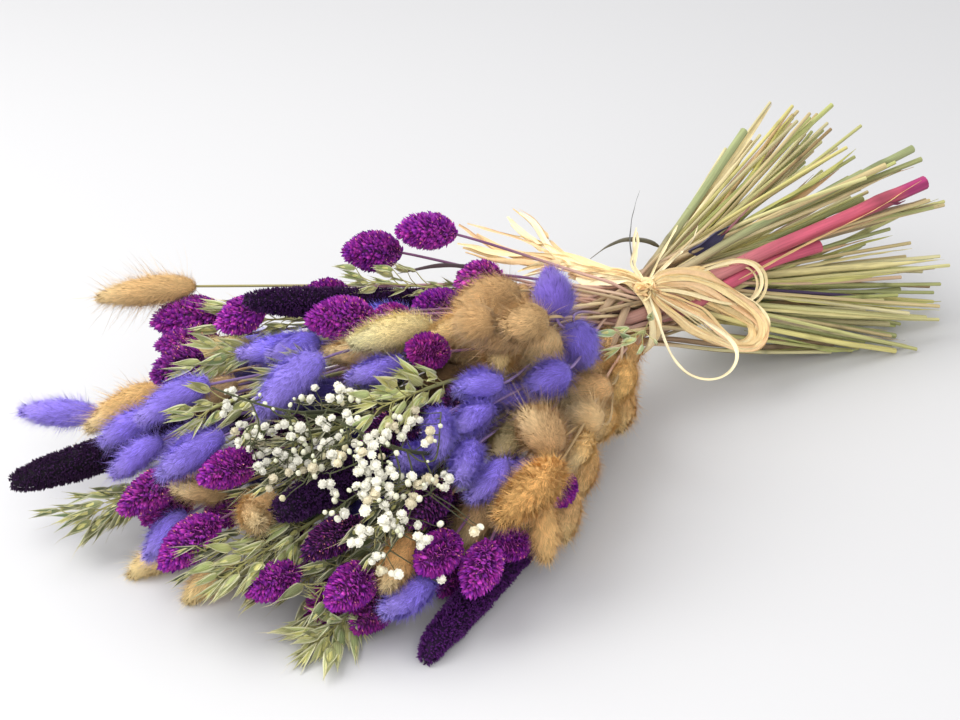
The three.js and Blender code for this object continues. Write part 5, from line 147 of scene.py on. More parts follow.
    ("canary_grass_more_05", None, "P", 9.4, [(239.1,-116.2,28.3),(183.1,-92.7,38.3),(127.1,-67.8,51.1),(74.4,-43.1,66.1),(54.3,-34,69.7),(44.3,-30.3,70),(27.4,-22.6,70.6),(11.1,-11.8,68.6),(-5.2,-0.5,66.8),(-20.7,11.8,66.5),(-34.8,25.1,68.2),(-48.5,37.8,69.8),(-61.7,49.8,71.3),(-64.9,52.7,71.7),(-69.6,56.9,72.3),(-74.3,61,73),(-79.1,65,74.1),(-82.9,68.3,75),(-85.2,70.3,75.6)], {"col": (166,50,167)}),
    ("natural_bunny_tail_more_07", None, "T", 7.2, [(282.5,-117.9,77.9),(211.9,-90.1,75.6),(141.3,-62.2,72.6),(74.8,-36,69.1),(54.3,-27.6,68),(44.3,-23.4,66.5),(30.1,-8.2,62.3),(15.7,7.2,58),(1.2,22.8,53.7),(-13.2,38.5,49.5),(-27.3,53.8,45.5),(-40.9,68.6,41.7),(-53.8,82.8,38.2),(-57.4,86.7,37.3),(-62.2,91.8,36.3),(-67.4,97.5,35.3),(-72.7,103.2,34.4),(-77.3,108,33.6),(-80.2,111.2,33.1)], {"col": (235,198,150), "tip": (250,224,172), "bristles": 182, "bristle": 12, "dens": 1.8, "fuzz": 1}),
    ("violet_bunny_tail_more_09", None, "V", 7, [(265.1,-114,85.9),(200.4,-85.9,76.8),(135.6,-58.2,69.3),(74.7,-32.4,63.8),(54.3,-24,60.8),(44.3,-21.5,58.1),(20.5,-3.4,52.9),(-3.7,15.4,47.8),(-28.3,34.4,42.6),(-51.7,54,35.9),(-73.8,73.6,27.5),(-95.2,92.2,17.4),(-115.6,109.7,2.1),(-119.7,113.2,5.6),(-125.1,117.5,7),(-131.2,122.2,7),(-137.4,126.8,6.3),(-142.7,130.8,4.4),(-146.2,133.3,0.9)], {"col": (152,136,243), "tip": (180,160,252), "fur": 4.2, "tilt": 32, "bristles": 125, "bristle": 8, "tuft": 4.2, "meet": 0.22, "lean": 0.12, "dens": 1.8, "fuzz": 1}),
    ("oat_stalk_more_05", None, "O", 5.5, [(233.5,-100.5,115.2),(179.4,-77.4,99.9),(125.4,-56.6,87.1),(74.6,-39.3,77.4),(54.3,-31,73.9),(44.3,-27.3,71.7),(14.4,-11.7,65.1),(-15.2,5.3,56.8),(-43.8,24.2,48.2),(-72.3,42.7,39.6),(-100.2,60.6,30.4),(-127.1,77.7,19.6),(-152.7,93.8,1.7),(-160.1,98.4,3.3),(-170.1,104.5,5),(-180.2,110.5,5.5),(-190.3,116.6,4.7),(-197.9,121.1,2.8),(-203,124.1,0.6)], {"col": (153,170,109)}),
    ("violet_bunny_tail_more_10", None, "V", 7.2, [(288.7,-116.1,38.9),(216.1,-88,48.5),(143.5,-61.7,56.6),(75.2,-38.7,62.9),(54.3,-30.9,64.3),(44.3,-27.8,63),(13.3,-17.7,60.6),(-18.5,-6.6,62.6),(-49,9.4,60.8),(-79.4,24.9,59),(-109.3,39.8,57.2),(-138.2,54,55.6),(-165.8,67.4,54.1),(-171.1,69.9,53.9),(-177.8,73.1,53.6),(-185.4,76.7,53.4),(-193,80.2,53.2),(-199.4,83.1,53),(-203.6,85.1,52.9)], {"col": (147,132,232), "tip": (180,160,252), "fur": 4.2, "tilt": 32, "bristles": 125, "bristle": 8, "tuft": 4.2, "meet": 0.22, "lean": 0.12, "dens": 1.8, "fuzz": 1}),
    ("canary_grass_more_06", None, "P", 9.4, [(266.5,-92.5,100.3),(201.5,-74.7,91),(136.6,-54.6,82),(75.5,-33.4,74),(54.3,-27,70.9),(44.3,-24.6,68.8),(10.5,-11.7,61.2),(-24.1,1.3,53.4),(-58.9,14.5,45.6),(-93.4,27.8,37.7),(-127.1,40.8,29.2),(-159.5,53.4,19),(-190.3,65.4,3.2),(-194.7,67.1,8.1),(-200.9,69.4,9.4),(-207.2,71.8,9.2),(-213.4,74.1,8.1),(-218.4,76,5.5),(-221.6,77.1,1.3)], {"col": (168,49,168)}),
    ("natural_bunny_tail_more_08", None, "T", 6.8, [(288.7,-110.4,16.5),(216,-88.1,32.9),(143.4,-64.7,50.9),(75,-41.7,69.6),(54.3,-34.3,73.4),(44.3,-29.9,74.1),(32.9,-21.1,72.8),(19.8,-14,69.3),(7,-6.1,66.1),(-4.9,2.8,63.4),(-14.3,14.4,62.9),(-23.3,25.6,62.8),(-31.9,36.2,62.8),(-35.2,40.3,62.9),(-39.6,45.4,63.1),(-44.5,51.1,63.3),(-49.4,56.8,63.7),(-53.5,61.6,64),(-56.2,64.8,64.2)], {"col": (230,194,136), "tip": (250,224,172), "bristles": 182, "bristle": 12, "dens": 1.8, "fuzz": 1}),
    ("violet_bunny_tail_more_11", None, "V", 6.8, [(247.5,-84.5,82.7),(189,-63.8,75.8),(130.4,-45.5,68.5),(75.4,-30.6,61.3),(54.3,-24,57.8),(44.3,-21.6,55.7),(34.5,-13.6,53.2),(24.5,-5.4,50.4),(14.4,3.1,47.5),(4.5,11.7,44.5),(-5.1,20.1,41.6),(-14.3,28.3,39),(-22.9,36.2,36.6),(-26.6,39.7,35.7),(-31.2,44.4,34.7),(-36.3,49.6,34),(-41.6,54.9,33.4),(-46,59.4,33),(-48.9,62.3,32.8)], {"col": (159,142,253), "tip": (180,160,252), "fur": 4.2, "tilt": 32, "bristles": 125, "bristle": 8, "tuft": 4.2, "meet": 0.22, "lean": 0.12, "dens": 1.8, "fuzz": 1}),
    ("canary_grass_more_07", None, "P", 9.9, [(226.6,-133.4,2.2),(174.5,-103.7,22.6),(122.3,-76.7,43.3),(73.3,-54.1,63.1),(54.3,-44.3,68.9),(44.3,-41.4,74.3),(25.1,-29.7,78.9),(6.5,-15.3,80.3),(-12.8,-2,83),(-32.1,10.7,86.2),(-51.2,22.8,89.5),(-70.2,33.5,91.3),(-88.5,43.2,92.9),(-92.5,45.2,93.2),(-98.1,47.8,93.8),(-104,49.3,94.7),(-110.1,49.4,95.9),(-115.1,49,97.2),(-118.2,48.6,98.1)], {"col": (169,49,172)}),
    ("natural_bunny_tail_more_09", None, "T", 6.8, [(239.3,-68.1,116.6),(183.6,-55.1,102),(127.9,-42.4,86),(75.5,-30.6,69.3),(54.3,-25.8,63.9),(44.3,-24.1,62.4),(11.7,-16.5,58.1),(-20.9,-6.8,51.5),(-54,3,45.5),(-86.9,12.6,40.2),(-119.1,21.9,35.2),(-150.2,30.8,30.6),(-179.9,39.3,26.2),(-185.4,40.9,25.5),(-192.6,42.9,24.6),(-200.6,45.2,23.8),(-208.6,47.4,23.1),(-215.5,49.3,22.5),(-219.9,50.5,22.1)], {"col": (239,195,138), "tip": (250,224,172), "bristles": 182, "bristle": 12, "dens": 1.8, "fuzz": 1}),
    ("violet_bunny_tail_more_12", None, "V", 7.2, [(230.8,-100.8,7.8),(177.9,-83.9,23.7),(125,-66.9,40.6),(75.2,-50.7,57.6),(54.3,-44.5,62.8),(44.3,-40.1,66.5),(18.3,-29.8,69.2),(-8.2,-18.5,67.8),(-35.3,-9.1,71.6),(-62.8,-1.9,76),(-89.5,5.8,80.1),(-115.2,13.6,83.8),(-139.7,21.2,87.3),(-145.3,22.9,88),(-152.5,25,89),(-160.4,27.6,90),(-168.3,30.3,90.9),(-175,32.5,91.8),(-179.3,34,92.3)], {"col": (149,129,253), "tip": (180,160,252), "fur": 4.2, "tilt": 32, "bristles": 125, "bristle": 8, "tuft": 4.2, "meet": 0.22, "lean": 0.12, "dens": 1.8, "fuzz": 1}),
    ("natural_bunny_tail_more_10", None, "T", 6.7, [(273.2,-115.5,78.4),(205.7,-86.7,77.6),(138.2,-58.8,74.2),(74.7,-33.5,68.5),(54.3,-25,66.5),(44.3,-22.4,64),(25.8,-3,56.6),(7,16.8,48.9),(-12,36.9,41.2),(-30.8,56.8,33.2),(-49.1,76.3,24.8),(-66.6,94.9,15.1),(-83.3,112.7,2),(-86.8,116.3,5.3),(-91.3,121,6.7),(-96.4,126.3,6.7),(-101.6,131.5,6),(-106,136,4.1),(-108.8,138.9,0.8)], {"col": (230,197,139), "tip": (250,224,172), "bristles": 182, "bristle": 12, "dens": 1.8, "fuzz": 1}),
    ("canary_grass_more_08", None, "P", 8.9, [(253.4,-95.8,109.9),(192.6,-74.1,93.9),(131.8,-51.7,80.3),(74.5,-30.1,69.9),(54.3,-22.5,64.8),(44.3,-21.9,61.3),(32,-7.4,55.7),(19.1,6.7,48.8),(6.2,21.1,41.5),(-6.6,35.3,34.1),(-19,49.2,26.2),(-30.8,62.4,17),(-42.1,75,3.1),(-44.8,78.2,7.7),(-48.8,82.7,8.9),(-52.8,87.2,8.8),(-56.8,91.9,7.7),(-60.1,95.6,5.2),(-62.1,97.9,1.3)], {"col": (174,51,170)}),
    ("violet_bunny_tail_more_13", None, "V", 7, [(244.9,-102.1,68.5),(187.3,-80.9,65.8),(129.6,-60.1,65.2),(75.4,-41,67),(54.3,-33.5,66.9),(44.3,-30.1,66.5),(10,-21.8,64.6),(-25.1,-13.6,62.9),(-60.5,-5.1,61.6),(-95.5,3.6,60.4),(-129.8,12.3,59.3),(-163,20.8,58.3),(-194.6,28.9,57.4),(-200.2,30.3,57.3),(-207.5,32.1,57.1),(-215.7,34.1,56.9),(-223.8,36,56.9),(-230.8,37.6,56.9),(-235.3,38.6,56.9)], {"col": (158,137,233), "tip": (180,160,252), "fur": 4.2, "tilt": 32, "bristles": 125, "bristle": 8, "tuft": 4.2, "meet": 0.22, "lean": 0.12, "dens": 1.8, "fuzz": 1}),
    ("natural_bunny_tail_more_11", None, "T", 7, [(252.2,-68.6,2.2),(192.2,-61.8,20.2),(132.3,-53.1,37.6),(75.9,-42.9,53.2),(54.3,-40,58.2),(44.3,-38.9,60.2),(20.6,-36.4,65.4),(-3.5,-33.7,69.8),(-27.6,-30.8,74.5),(-51.5,-27.8,79.4),(-74.9,-24.7,84.4),(-97.6,-21.9,89.1),(-119.2,-19.1,93.6),(-124.9,-18.4,94.7),(-132.3,-17.4,96),(-140.4,-16.6,97.7),(-148.6,-15.6,99.5),(-155.5,-15,101.2),(-159.9,-14.7,102.4)], {"col": (245,204,145), "tip": (250,224,172), "bristles": 182, "bristle": 12, "dens": 1.8, "fuzz": 1}),
    ("canary_grass_more_09", None, "P", 9.4, [(246.8,-112.5,2.2),(188.2,-92.6,20.1),(129.7,-72.3,39.7),(74.6,-52.6,59.6),(54.3,-45.5,66.3),(44.3,-41.6,68.5),(31.8,-35.8,70.3),(18.8,-30.4,73.1),(5.3,-25.1,75.3),(-7.7,-18.8,76.9),(-20.7,-13.4,78.8),(-33.5,-9.2,81.7),(-45.1,-3.5,84.9),(-49.2,-1.8,86),(-54.5,0.8,87.8),(-60.1,3,89.2),(-65.9,5.1,90.7),(-70.5,6.6,91.9),(-73.4,7.5,92.7)], {"col": (160,47,180)}),
    ("violet_bunny_tail_more_14", None, "V", 6.8, [(204,-112.5,2.2),(159.7,-95,21.4),(115.4,-75.3,39.6),(73.6,-54.3,55.5),(54.3,-47.1,64.1),(44.3,-42.6,66.2),(26.3,-35.4,68.4),(7.7,-28.6,69.8),(-10.6,-21.1,71.9),(-28.5,-13.3,72.7),(-47.5,-9.7,77.9),(-65.2,-5.1,83.6),(-81.6,0.2,89.2),(-86.7,1.9,90.8),(-93.3,4.2,92.7),(-100.7,6.8,94.6),(-108.1,8.4,96.9),(-114.5,9.2,99.1),(-118.7,9.7,100.5)], {"col": (151,141,248), "tip": (180,160,252), "fur": 4.2, "tilt": 32, "bristles": 125, "bristle": 8, "tuft": 4.2, "meet": 0.22, "lean": 0.12, "dens": 1.8, "fuzz": 1}),
    ("canary_grass_more_10", None, "P", 8.7, [(288.7,-6.1,108.5),(216.1,-16.4,86.3),(143.6,-26.2,64.9),(75.3,-34.9,45.7),(54.3,-38.1,40.3),(44.4,-39.7,39.9),(10.9,-45.8,39.9),(-23.9,-53,41.6),(-59.6,-60.4,44.2),(-95.6,-67.3,47),(-131.3,-73,49),(-166.3,-76.5,49.4),(-200,-77.1,47.4),(-205.9,-76.9,46.7),(-211.8,-76.7,46.1),(-217.7,-76.5,45.5),(-223.6,-76.3,44.9),(-229.4,-76.1,44.2),(-235.3,-75.9,43.6)], {"col": (58,20,70), "deep": 0.55}),
    ("oat_stalk_more_06", None, "O", 5.6, [(234.1,-81.5,35.7),(180.3,-77,42.8),(126.6,-70.6,49.7),(75.9,-62.6,55.9),(54.3,-59.7,57.6),(44.3,-58.7,58.2),(13.8,-55.8,60.3),(-17.8,-53.1,63.1),(-50.2,-50.8,66.4),(-82.8,-48.7,69.8),(-115.2,-46.8,73.1),(-146.9,-45.1,76.2),(-177.5,-43.5,78.7),(-186.2,-43.1,79.3),(-195,-42.7,79.9),(-203.7,-42.2,80.6),(-212.4,-41.8,81.2),(-221.2,-41.4,81.8),(-229.9,-40.9,82.5)], {"col": (70,76,48), "deep": 0.55, "n": 10, "size": 18.8, "lean": 18}),
    ("canary_grass_more_11", None, "P", 9.8, [(288.7,2,70.3),(216.2,-10.4,59.6),(143.7,-24.8,50.1),(75.5,-40.3,42.2),(54.3,-45.6,40.6),(44.7,-48.4,41.4),(15.9,-56.5,45.1),(-14,-64.6,50.4),(-44.7,-72.6,56.3),(-75.6,-80.5,61.7),(-106.2,-88.1,65.5),(-136.2,-95.6,66.7),(-165,-102.7,64.2),(-170.1,-104,63.3),(-175.3,-105.3,62.5),(-180.4,-106.6,61.6),(-185.6,-107.8,60.7),(-190.8,-109.1,59.8),(-195.9,-110.4,59)], {"col": (58,20,70), "deep": 0.55}),
    ("oat_stalk_more_07", None, "O", 5.8, [(288.7,6.5,98.7),(216.1,-6.9,78.3),(143.5,-21.4,59.3),(75.2,-36.5,42.9),(54.3,-41.3,38.7),(44.5,-43.6,39),(14.7,-50.1,40.9),(-16.5,-56.1,44.4),(-48.3,-61.9,48.7),(-80.4,-67.7,52.9),(-112.2,-73.7,56.2),(-143.1,-80.2,57.8),(-172.8,-87.4,56.8),(-181.8,-89.8,56),(-190.8,-92.2,55.2),(-199.9,-94.5,54.4),(-208.9,-96.9,53.6),(-218,-99.3,52.8),(-227,-101.7,51.9)], {"col": (70,76,48), "deep": 0.55, "n": 10, "size": 17.8, "lean": 18}),
    ("oat_stalk_more_08", None, "O", 6, [(288.7,-93.7,67.1),(216.3,-84.6,62.6),(144,-74.9,60.2),(75.9,-65.2,60),(54.3,-61.7,59.1),(44.4,-60.3,59.7),(18.4,-56.6,61.8),(-8.4,-53.1,64.9),(-35.8,-49.8,68.5),(-63.3,-46.7,72.4),(-90.7,-43.8,76.1),(-117.6,-41.2,79.4),(-143.7,-38.6,81.9),(-152.6,-37.8,82.6),(-161.5,-37,83.3),(-170.4,-36.1,84),(-179.2,-35.3,84.7),(-188.1,-34.5,85.3),(-197,-33.6,86)], {"col": (70,76,48), "deep": 0.55, "n": 10, "size": 18.9, "lean": 18}),
    ("natural_bunny_tail_more_12", None, "T", 7.6, [(187,-97.6,3.2),(148.8,-81.4,10.1),(110.5,-66.2,20.2),(74.5,-52.9,32.7),(54.3,-47.1,37.9),(44.6,-48.8,39.9),(23.6,-53.2,44.6),(2.1,-58.6,49.7),(-19.4,-64.9,54.9),(-41,-72,59.7),(-62.3,-79.6,63.7),(-83.3,-87.6,66.4),(-103.6,-95.7,67.5),(-108.4,-97.7,67.5),(-113.3,-99.7,67.5),(-118.1,-101.7,67.6),(-122.9,-103.6,67.6),(-127.7,-105.6,67.6),(-132.5,-107.6,67.6)], {"col": (185,169,124), "tip": (220,197,151), "bristles": 260, "bristle": 12, "dens": 1.7, "fuzz": 0.9, "deep": 0.55}),
    ("canary_grass_more_12", None, "P", 9.4, [(288,-59.9,30.7),(215.9,-60.2,35.8),(143.8,-58.3,39.5),(75.9,-54.3,41.7),(54.3,-55.8,43.1),(44.5,-57,44.6),(18.1,-60.1,48.9),(-9.1,-62.6,54.2),(-36.8,-64.7,59.8),(-64.7,-66.1,65.5),(-92.6,-67,70.7),(-120,-67.1,75.1),(-146.6,-66.6,78.1),(-152.6,-66.4,78.7),(-158.6,-66.1,79.2),(-164.6,-65.9,79.7),(-170.7,-65.7,80.2),(-176.7,-65.5,80.8),(-182.7,-65.3,81.3)], {"col": (58,20,70), "deep": 0.55}),
    ("oat_stalk_more_09", None, "O", 6.2, [(279.6,0.6,108.3),(210.1,-7.7,88.7),(140.6,-17.4,68.2),(75.1,-27.9,47.9),(54.3,-31.5,42.2),(44.5,-33.5,41.1),(11.7,-40.8,38.5),(-22.5,-48.9,37.2),(-57.5,-57.3,36.5),(-92.9,-65.3,36),(-128.1,-72.2,35.1),(-162.6,-77.6,33.2),(-195.9,-80.7,29.8),(-205,-81.2,28.6),(-214.1,-81.7,27.3),(-223.2,-82.2,26.1),(-232.3,-82.7,24.8),(-241.4,-83.2,23.6),(-250.5,-83.7,22.4)], {"col": (123,131,89), "deep": 0.55, "n": 10, "size": 17.7, "lean": 18}),
    ("oat_stalk_more_10", None, "O", 6.5, [(198.3,-97.2,2.2),(156.3,-88.8,16.3),(114.3,-77.6,31.8),(74.8,-64.1,47.6),(54.3,-61,53.8),(44.3,-60.7,54.8),(13.5,-58.9,57.4),(-18.6,-55.6,59.3),(-51.4,-51.5,60.9),(-84.4,-47.6,62.3),(-117.2,-44.5,63.8),(-149.2,-43.1,65.7),(-180,-44.3,68.1),(-190.2,-45.2,69.1),(-200.4,-46.1,70),(-210.6,-47,71),(-220.8,-47.9,72),(-231,-48.8,72.9),(-241.2,-49.7,73.9)], {"col": (70,76,48), "deep": 0.55, "n": 10, "size": 17.9, "lean": 18}),
    ("canary_grass_more_13", None, "P", 8.9, [(253.3,-29.7,125.8),(192.8,-36.6,107.9),(132.3,-42.6,91.9),(75.3,-47.4,78.8),(54.3,-49.4,73.4),(44.4,-48.6,72.6),(12.9,-45.5,70.4),(-19.7,-41.6,69.3),(-53,-36.8,68.9),(-86.5,-31.2,69),(-119.7,-24.9,69.2),(-151.9,-18,69.3),(-182.7,-10.7,69),(-187.8,-9.4,68.9),(-192.9,-8.1,68.8),(-197.9,-6.8,68.6),(-203,-5.5,68.5),(-208.1,-4.2,68.4),(-213.2,-2.9,68.3)], {"col": (58,20,70), "deep": 0.55}),
    ("violet_bunny_tail_more_15", None, "V", 8.4, [(264.3,-23.1,118.2),(200,-24.4,96.1),(135.7,-25.3,74.8),(75.2,-25.4,55.5),(54.3,-26.7,49.3),(44.4,-28.1,48.3),(17.1,-32.1,46.1),(-11.2,-36.2,44.9),(-40.2,-40.3,44.2),(-69.3,-44.3,43.6),(-98.3,-48,42.7),(-126.7,-51.3,40.9),(-154,-54.1,37.9),(-159.4,-54.6,37.1),(-164.9,-55.1,36.3),(-170.3,-55.6,35.5),(-175.8,-56.1,34.7),(-181.2,-56.6,33.9),(-186.7,-57.1,33.1)], {"col": (72,60,128), "tip": (72,60,128), "fur": 4.2, "tilt": 32, "bristles": 180, "bristle": 8, "tuft": 4.2, "meet": 0.22, "lean": 0.12, "dens": 1.7, "fuzz": 0.9, "deep": 0.55}),
    ("oat_stalk_more_11", None, "O", 5.7, [(240.9,-82.7,85.1),(184.6,-65.6,75.2),(128.2,-48.3,66.3),(75.3,-31.7,58.9),(54.3,-26.1,56),(44.3,-25.9,55.4),(8.3,-25.9,53),(-29.1,-27.5,50.7),(-67.5,-30,48.5),(-106.2,-33,46.3),(-144.6,-35.9,44.4),(-182.1,-38,42.7),(-218.1,-38.9,41.3),(-228.4,-38.9,40.9),(-238.8,-38.9,40.5),(-249.1,-38.9,40.2),(-259.4,-38.9,39.8),(-269.7,-38.9,39.5),(-280.1,-38.9,39.1)], {"col": (70,76,48), "deep": 0.55, "n": 10, "size": 17.8, "lean": 18}),
    ("natural_bunny_tail_more_13", None, "T", 8.8, [(288.7,-16.3,112.9),(216.1,-23.1,89),(143.5,-28.8,65.8),(75.2,-33.1,44.9),(54.3,-35.9,39.1),(44.8,-39,38.7),(19.3,-47.7,39.4),(-7.1,-57.4,42.6),(-33.9,-67.6,46.7),(-60.8,-78,50.5),(-87.2,-88.1,52.5),(-112.7,-97.6,51.2),(-137,-106.1,45.4),(-142.5,-107.9,43.4),(-148,-109.8,41.4),(-153.5,-111.6,39.4),(-159,-113.4,37.3),(-164.5,-115.3,35.3),(-170,-117.1,33.3)], {"col": (203,166,120), "tip": (220,197,151), "bristles": 260, "bristle": 12, "dens": 1.7, "fuzz": 0.9, "deep": 0.55}),
    ("natural_bunny_tail_more_14", None, "T", 7.7, [(197.7,-111.5,2.2),(155.8,-96.5,17.1),(113.8,-81.4,33),(74.4,-67.1,48.8),(54.3,-62.7,55.6),(44.5,-61.9,57.7),(28.6,-60,61.2),(12.5,-57.1,64.7),(-3.8,-53.7,68.1),(-20.1,-50.2,71.4),(-36.3,-47.2,74.5),(-52.6,-45.1,77.4),(-68.8,-44.2,80),(-74.6,-44.2,80.9),(-80.4,-44.2,81.8),(-86.3,-44.2,82.7),(-92.1,-44.2,83.6),(-97.9,-44.2,84.5),(-103.8,-44.2,85.4)], {"col": (207,173,125), "tip": (220,197,151), "bristles": 260, "bristle": 12, "dens": 1.7, "fuzz": 0.9, "deep": 0.55}),
    ("violet_bunny_tail_more_16", None, "V", 7.3, [(253.2,-82.9,2.2),(192.6,-75.9,22.9),(132.1,-68,44.3),(75,-59.8,65.1),(54.3,-57,71.5),(44.5,-55.4,72.7),(16.8,-50.4,75.4),(-11.8,-44.5,77.5),(-41,-38.3,79.2),(-70.5,-32.3,80.6),(-99.8,-27.1,81.8),(-128.7,-23.1,83),(-156.8,-20.8,84.5),(-162.2,-20.6,84.8),(-167.5,-20.4,85.1),(-172.9,-20.1,85.4),(-178.3,-19.9,85.7),(-183.7,-19.7,86),(-189.1,-19.5,86.3)], {"col": (72,60,128), "tip": (72,60,128), "fur": 4.2, "tilt": 32, "bristles": 180, "bristle": 8, "tuft": 4.2, "meet": 0.22, "lean": 0.12, "dens": 1.7, "fuzz": 0.9, "deep": 0.55}),
    ("canary_grass_more_14", None, "P", 9.3, [(288.7,-18.6,101.3),(216.2,-23.4,84.7),(143.7,-26.1,67.5),(75.5,-26.5,50.7),(54.3,-28.4,45.6),(44.6,-30.3,44.1),(10.1,-37,38.9),(-25.9,-44,33.9),(-62.9,-51,29.2),(-100.2,-58,24.8),(-137.2,-64.7,20.8),(-173.5,-71,17.1),(-208.5,-76.6,14),(-213.8,-77.4,13.5),(-219.1,-78.2,13.1),(-224.3,-79,12.6),(-229.6,-79.8,12.2),(-234.9,-80.6,11.7),(-240.2,-81.4,11.2)], {"col": (145,43,136), "deep": 0.55}),
    ("canary_grass_more_15", None, "P", 8.8, [(288.7,-14.5,93.7),(216.2,-22.2,75.6),(143.7,-27.6,59.1),(75.4,-30.4,45.1),(54.3,-33.6,40.5),(44.9,-36.7,39.2),(18.5,-45.5,35.9),(-9,-54.5,33.3),(-37.1,-63.7,30.9),(-65.3,-73,28.3),(-93.2,-82.4,25.2),(-120.3,-91.6,21.2),(-146.2,-100.5,15.9),(-151.4,-102.4,14.6),(-156.6,-104.2,13.4),(-161.8,-106,12.1),(-167,-107.9,10.8),(-172.2,-109.7,9.6),(-177.3,-111.5,8.3)], {"col": (142,42,146), "deep": 0.55}),
    ("violet_bunny_tail_more_17", None, "V", 7.9, [(213.9,-110.5,2.2),(166.3,-90.8,21.9),(118.7,-72.2,42.9),(73.9,-55.8,63.9),(54.3,-49.6,70.9),(44.3,-48.5,71.4),(17.9,-45.7,72.5),(-9.5,-43,73.4),(-37.5,-40.5,73.8),(-65.7,-38.3,73.3),(-93.5,-36.6,71.6),(-120.6,-35.4,68.3),(-146.4,-34.9,63),(-152.2,-34.8,61.5),(-158,-34.8,60.1),(-163.8,-34.8,58.6),(-169.6,-34.7,57.1),(-175.4,-34.7,55.7),(-181.2,-34.7,54.2)], {"col": (72,60,128), "tip": (72,60,128), "fur": 4.2, "tilt": 32, "bristles": 180, "bristle": 8, "tuft": 4.2, "meet": 0.22, "lean": 0.12, "dens": 1.7, "fuzz": 0.9, "deep": 0.55}),
    ("natural_bunny_tail_more_15", None, "T", 8.7, [(288.7,-45.6,4.5),(216.3,-50.4,17.2),(143.9,-54.3,29.7),(75.8,-57.3,41.2),(54.3,-58.7,45.2),(44.5,-58.8,47.5),(24.3,-58.4,52.2),(3.6,-57.2,57.3),(-17.4,-55.7,62.4),(-38.5,-54.1,67.6),(-59.5,-53.1,72.7),(-80.1,-53,77.5),(-100.3,-54.3,82),(-105.4,-54.9,83.1),(-110.5,-55.4,84.1),(-115.6,-55.9,85.2),(-120.6,-56.5,86.3),(-125.7,-57,87.4),(-130.8,-57.6,88.5)], {"col": (120,92,62), "tip": (120,92,62), "bristles": 260, "bristle": 12, "dens": 1.7, "fuzz": 0.9, "deep": 0.55}),
    ("natural_bunny_tail_more_16", None, "T", 9.3, [(288.7,2.4,109.6),(216,-5.1,88.6),(143.4,-14.6,67.9),(75,-25.5,48.8),(54.3,-29.6,43.3),(45.3,-33.8,42),(36.5,-38.4,41.1),(28,-43.5,41),(19.6,-48.8,41.1),(11.4,-54.1,41.1),(3.1,-59,40.5),(-5.4,-63.2,38.9),(-14,-66.6,35.8),(-18.6,-68.1,33.7),(-23.2,-69.6,31.6),(-27.8,-71.1,29.5),(-32.5,-72.6,27.4),(-37.1,-74.1,25.3),(-41.7,-75.5,23.2)], {"col": (244,198,134), "tip": (255,222,160), "bristles": 260, "bristle": 12, "dens": 1.7, "fuzz": 0.9, "deep": 0.55}),
    ("oat_stalk_more_12", None, "O", 5.4, [(240,-80.3,92),(183.9,-61.2,80.4),(127.9,-43.9,68.4),(75.1,-29.6,56.6),(54.3,-24.4,52.7),(44.3,-24.7,51.9),(13,-27,50.7),(-19.5,-31.4,50.8),(-52.8,-36.9,51.4),(-86.2,-42.5,51.7),(-119.2,-47.3,51),(-151.3,-50.1,48.3),(-181.9,-50.2,42.8),(-191.1,-49.6,40.6),(-200.2,-49.1,38.4),(-209.4,-48.6,36.2),(-218.5,-48.1,34),(-227.7,-47.5,31.8),(-236.9,-47,29.6)], {"col": (70,76,48), "deep": 0.55, "n": 10, "size": 17.8, "lean": 18}),
    ("natural_bunny_tail_more_17", None, "T", 8.8, [(183.8,-104.8,4.3),(146.6,-86.6,11.8),(109.3,-71.3,22.3),(74.3,-59.9,35),(54.3,-53.4,40.9),(44.7,-53.1,43.9),(31.9,-52.7,48.4),(19.1,-52.4,53.5),(6.2,-52.4,58.8),(-6.6,-52.7,63.7),(-19.6,-53.4,67.7),(-32.7,-54.7,70.4),(-45.8,-56.7,71.3),(-52.2,-57.8,71.1),(-58.6,-58.9,71),(-65,-60,70.9),(-71.3,-61.1,70.8),(-77.7,-62.2,70.7),(-84.1,-63.3,70.5)], {"col": (211,161,109), "tip": (220,197,151), "bristles": 260, "bristle": 12, "dens": 1.7, "fuzz": 0.9, "deep": 0.55}),
    ("oat_stalk_more_13", None, "O", 5.9, [(249.1,-50.4,103),(190.1,-40.5,88),(131.1,-33.5,73),(75.6,-29.9,58.9),(54.3,-27.9,54),(44.4,-28.6,52.6),(12.7,-31.4,48.4),(-20.2,-35.1,44.6),(-53.8,-39.4,41),(-87.7,-44.2,37.3),(-121.2,-49.1,33.5),(-154,-53.9,29.2),(-185.4,-58.3,24.4),(-195.2,-59.6,22.8),(-204.9,-60.9,21.2),(-214.6,-62.3,19.5),(-224.4,-63.6,17.9),(-234.1,-64.9,16.3),(-243.9,-66.2,14.6)], {"col": (127,132,93), "deep": 0.55, "n": 10, "size": 18, "lean": 18}),
    ("oat_stalk_more_14", None, "O", 5.6, [(216.3,-131.9,2.2),(167.8,-111.8,20.9),(119.2,-88.1,41.3),(73.5,-62.2,62.1),(54.3,-54.6,69),(44.5,-52.8,70.2),(26.6,-49.3,72.3),(8.3,-45.5,74.1),(-10.2,-41.6,75.7),(-28.8,-37.9,76.9),(-47.5,-34.8,77.7),(-66,-32.4,78.1),(-84.2,-31.1,78),(-93.7,-30.7,77.8),(-103.1,-30.3,77.6),(-112.6,-29.9,77.4),(-122,-29.5,77.2),(-131.5,-29.2,77),(-140.9,-28.8,76.9)], {"col": (70,76,48), "deep": 0.55, "n": 10, "size": 17.2, "lean": 18}),
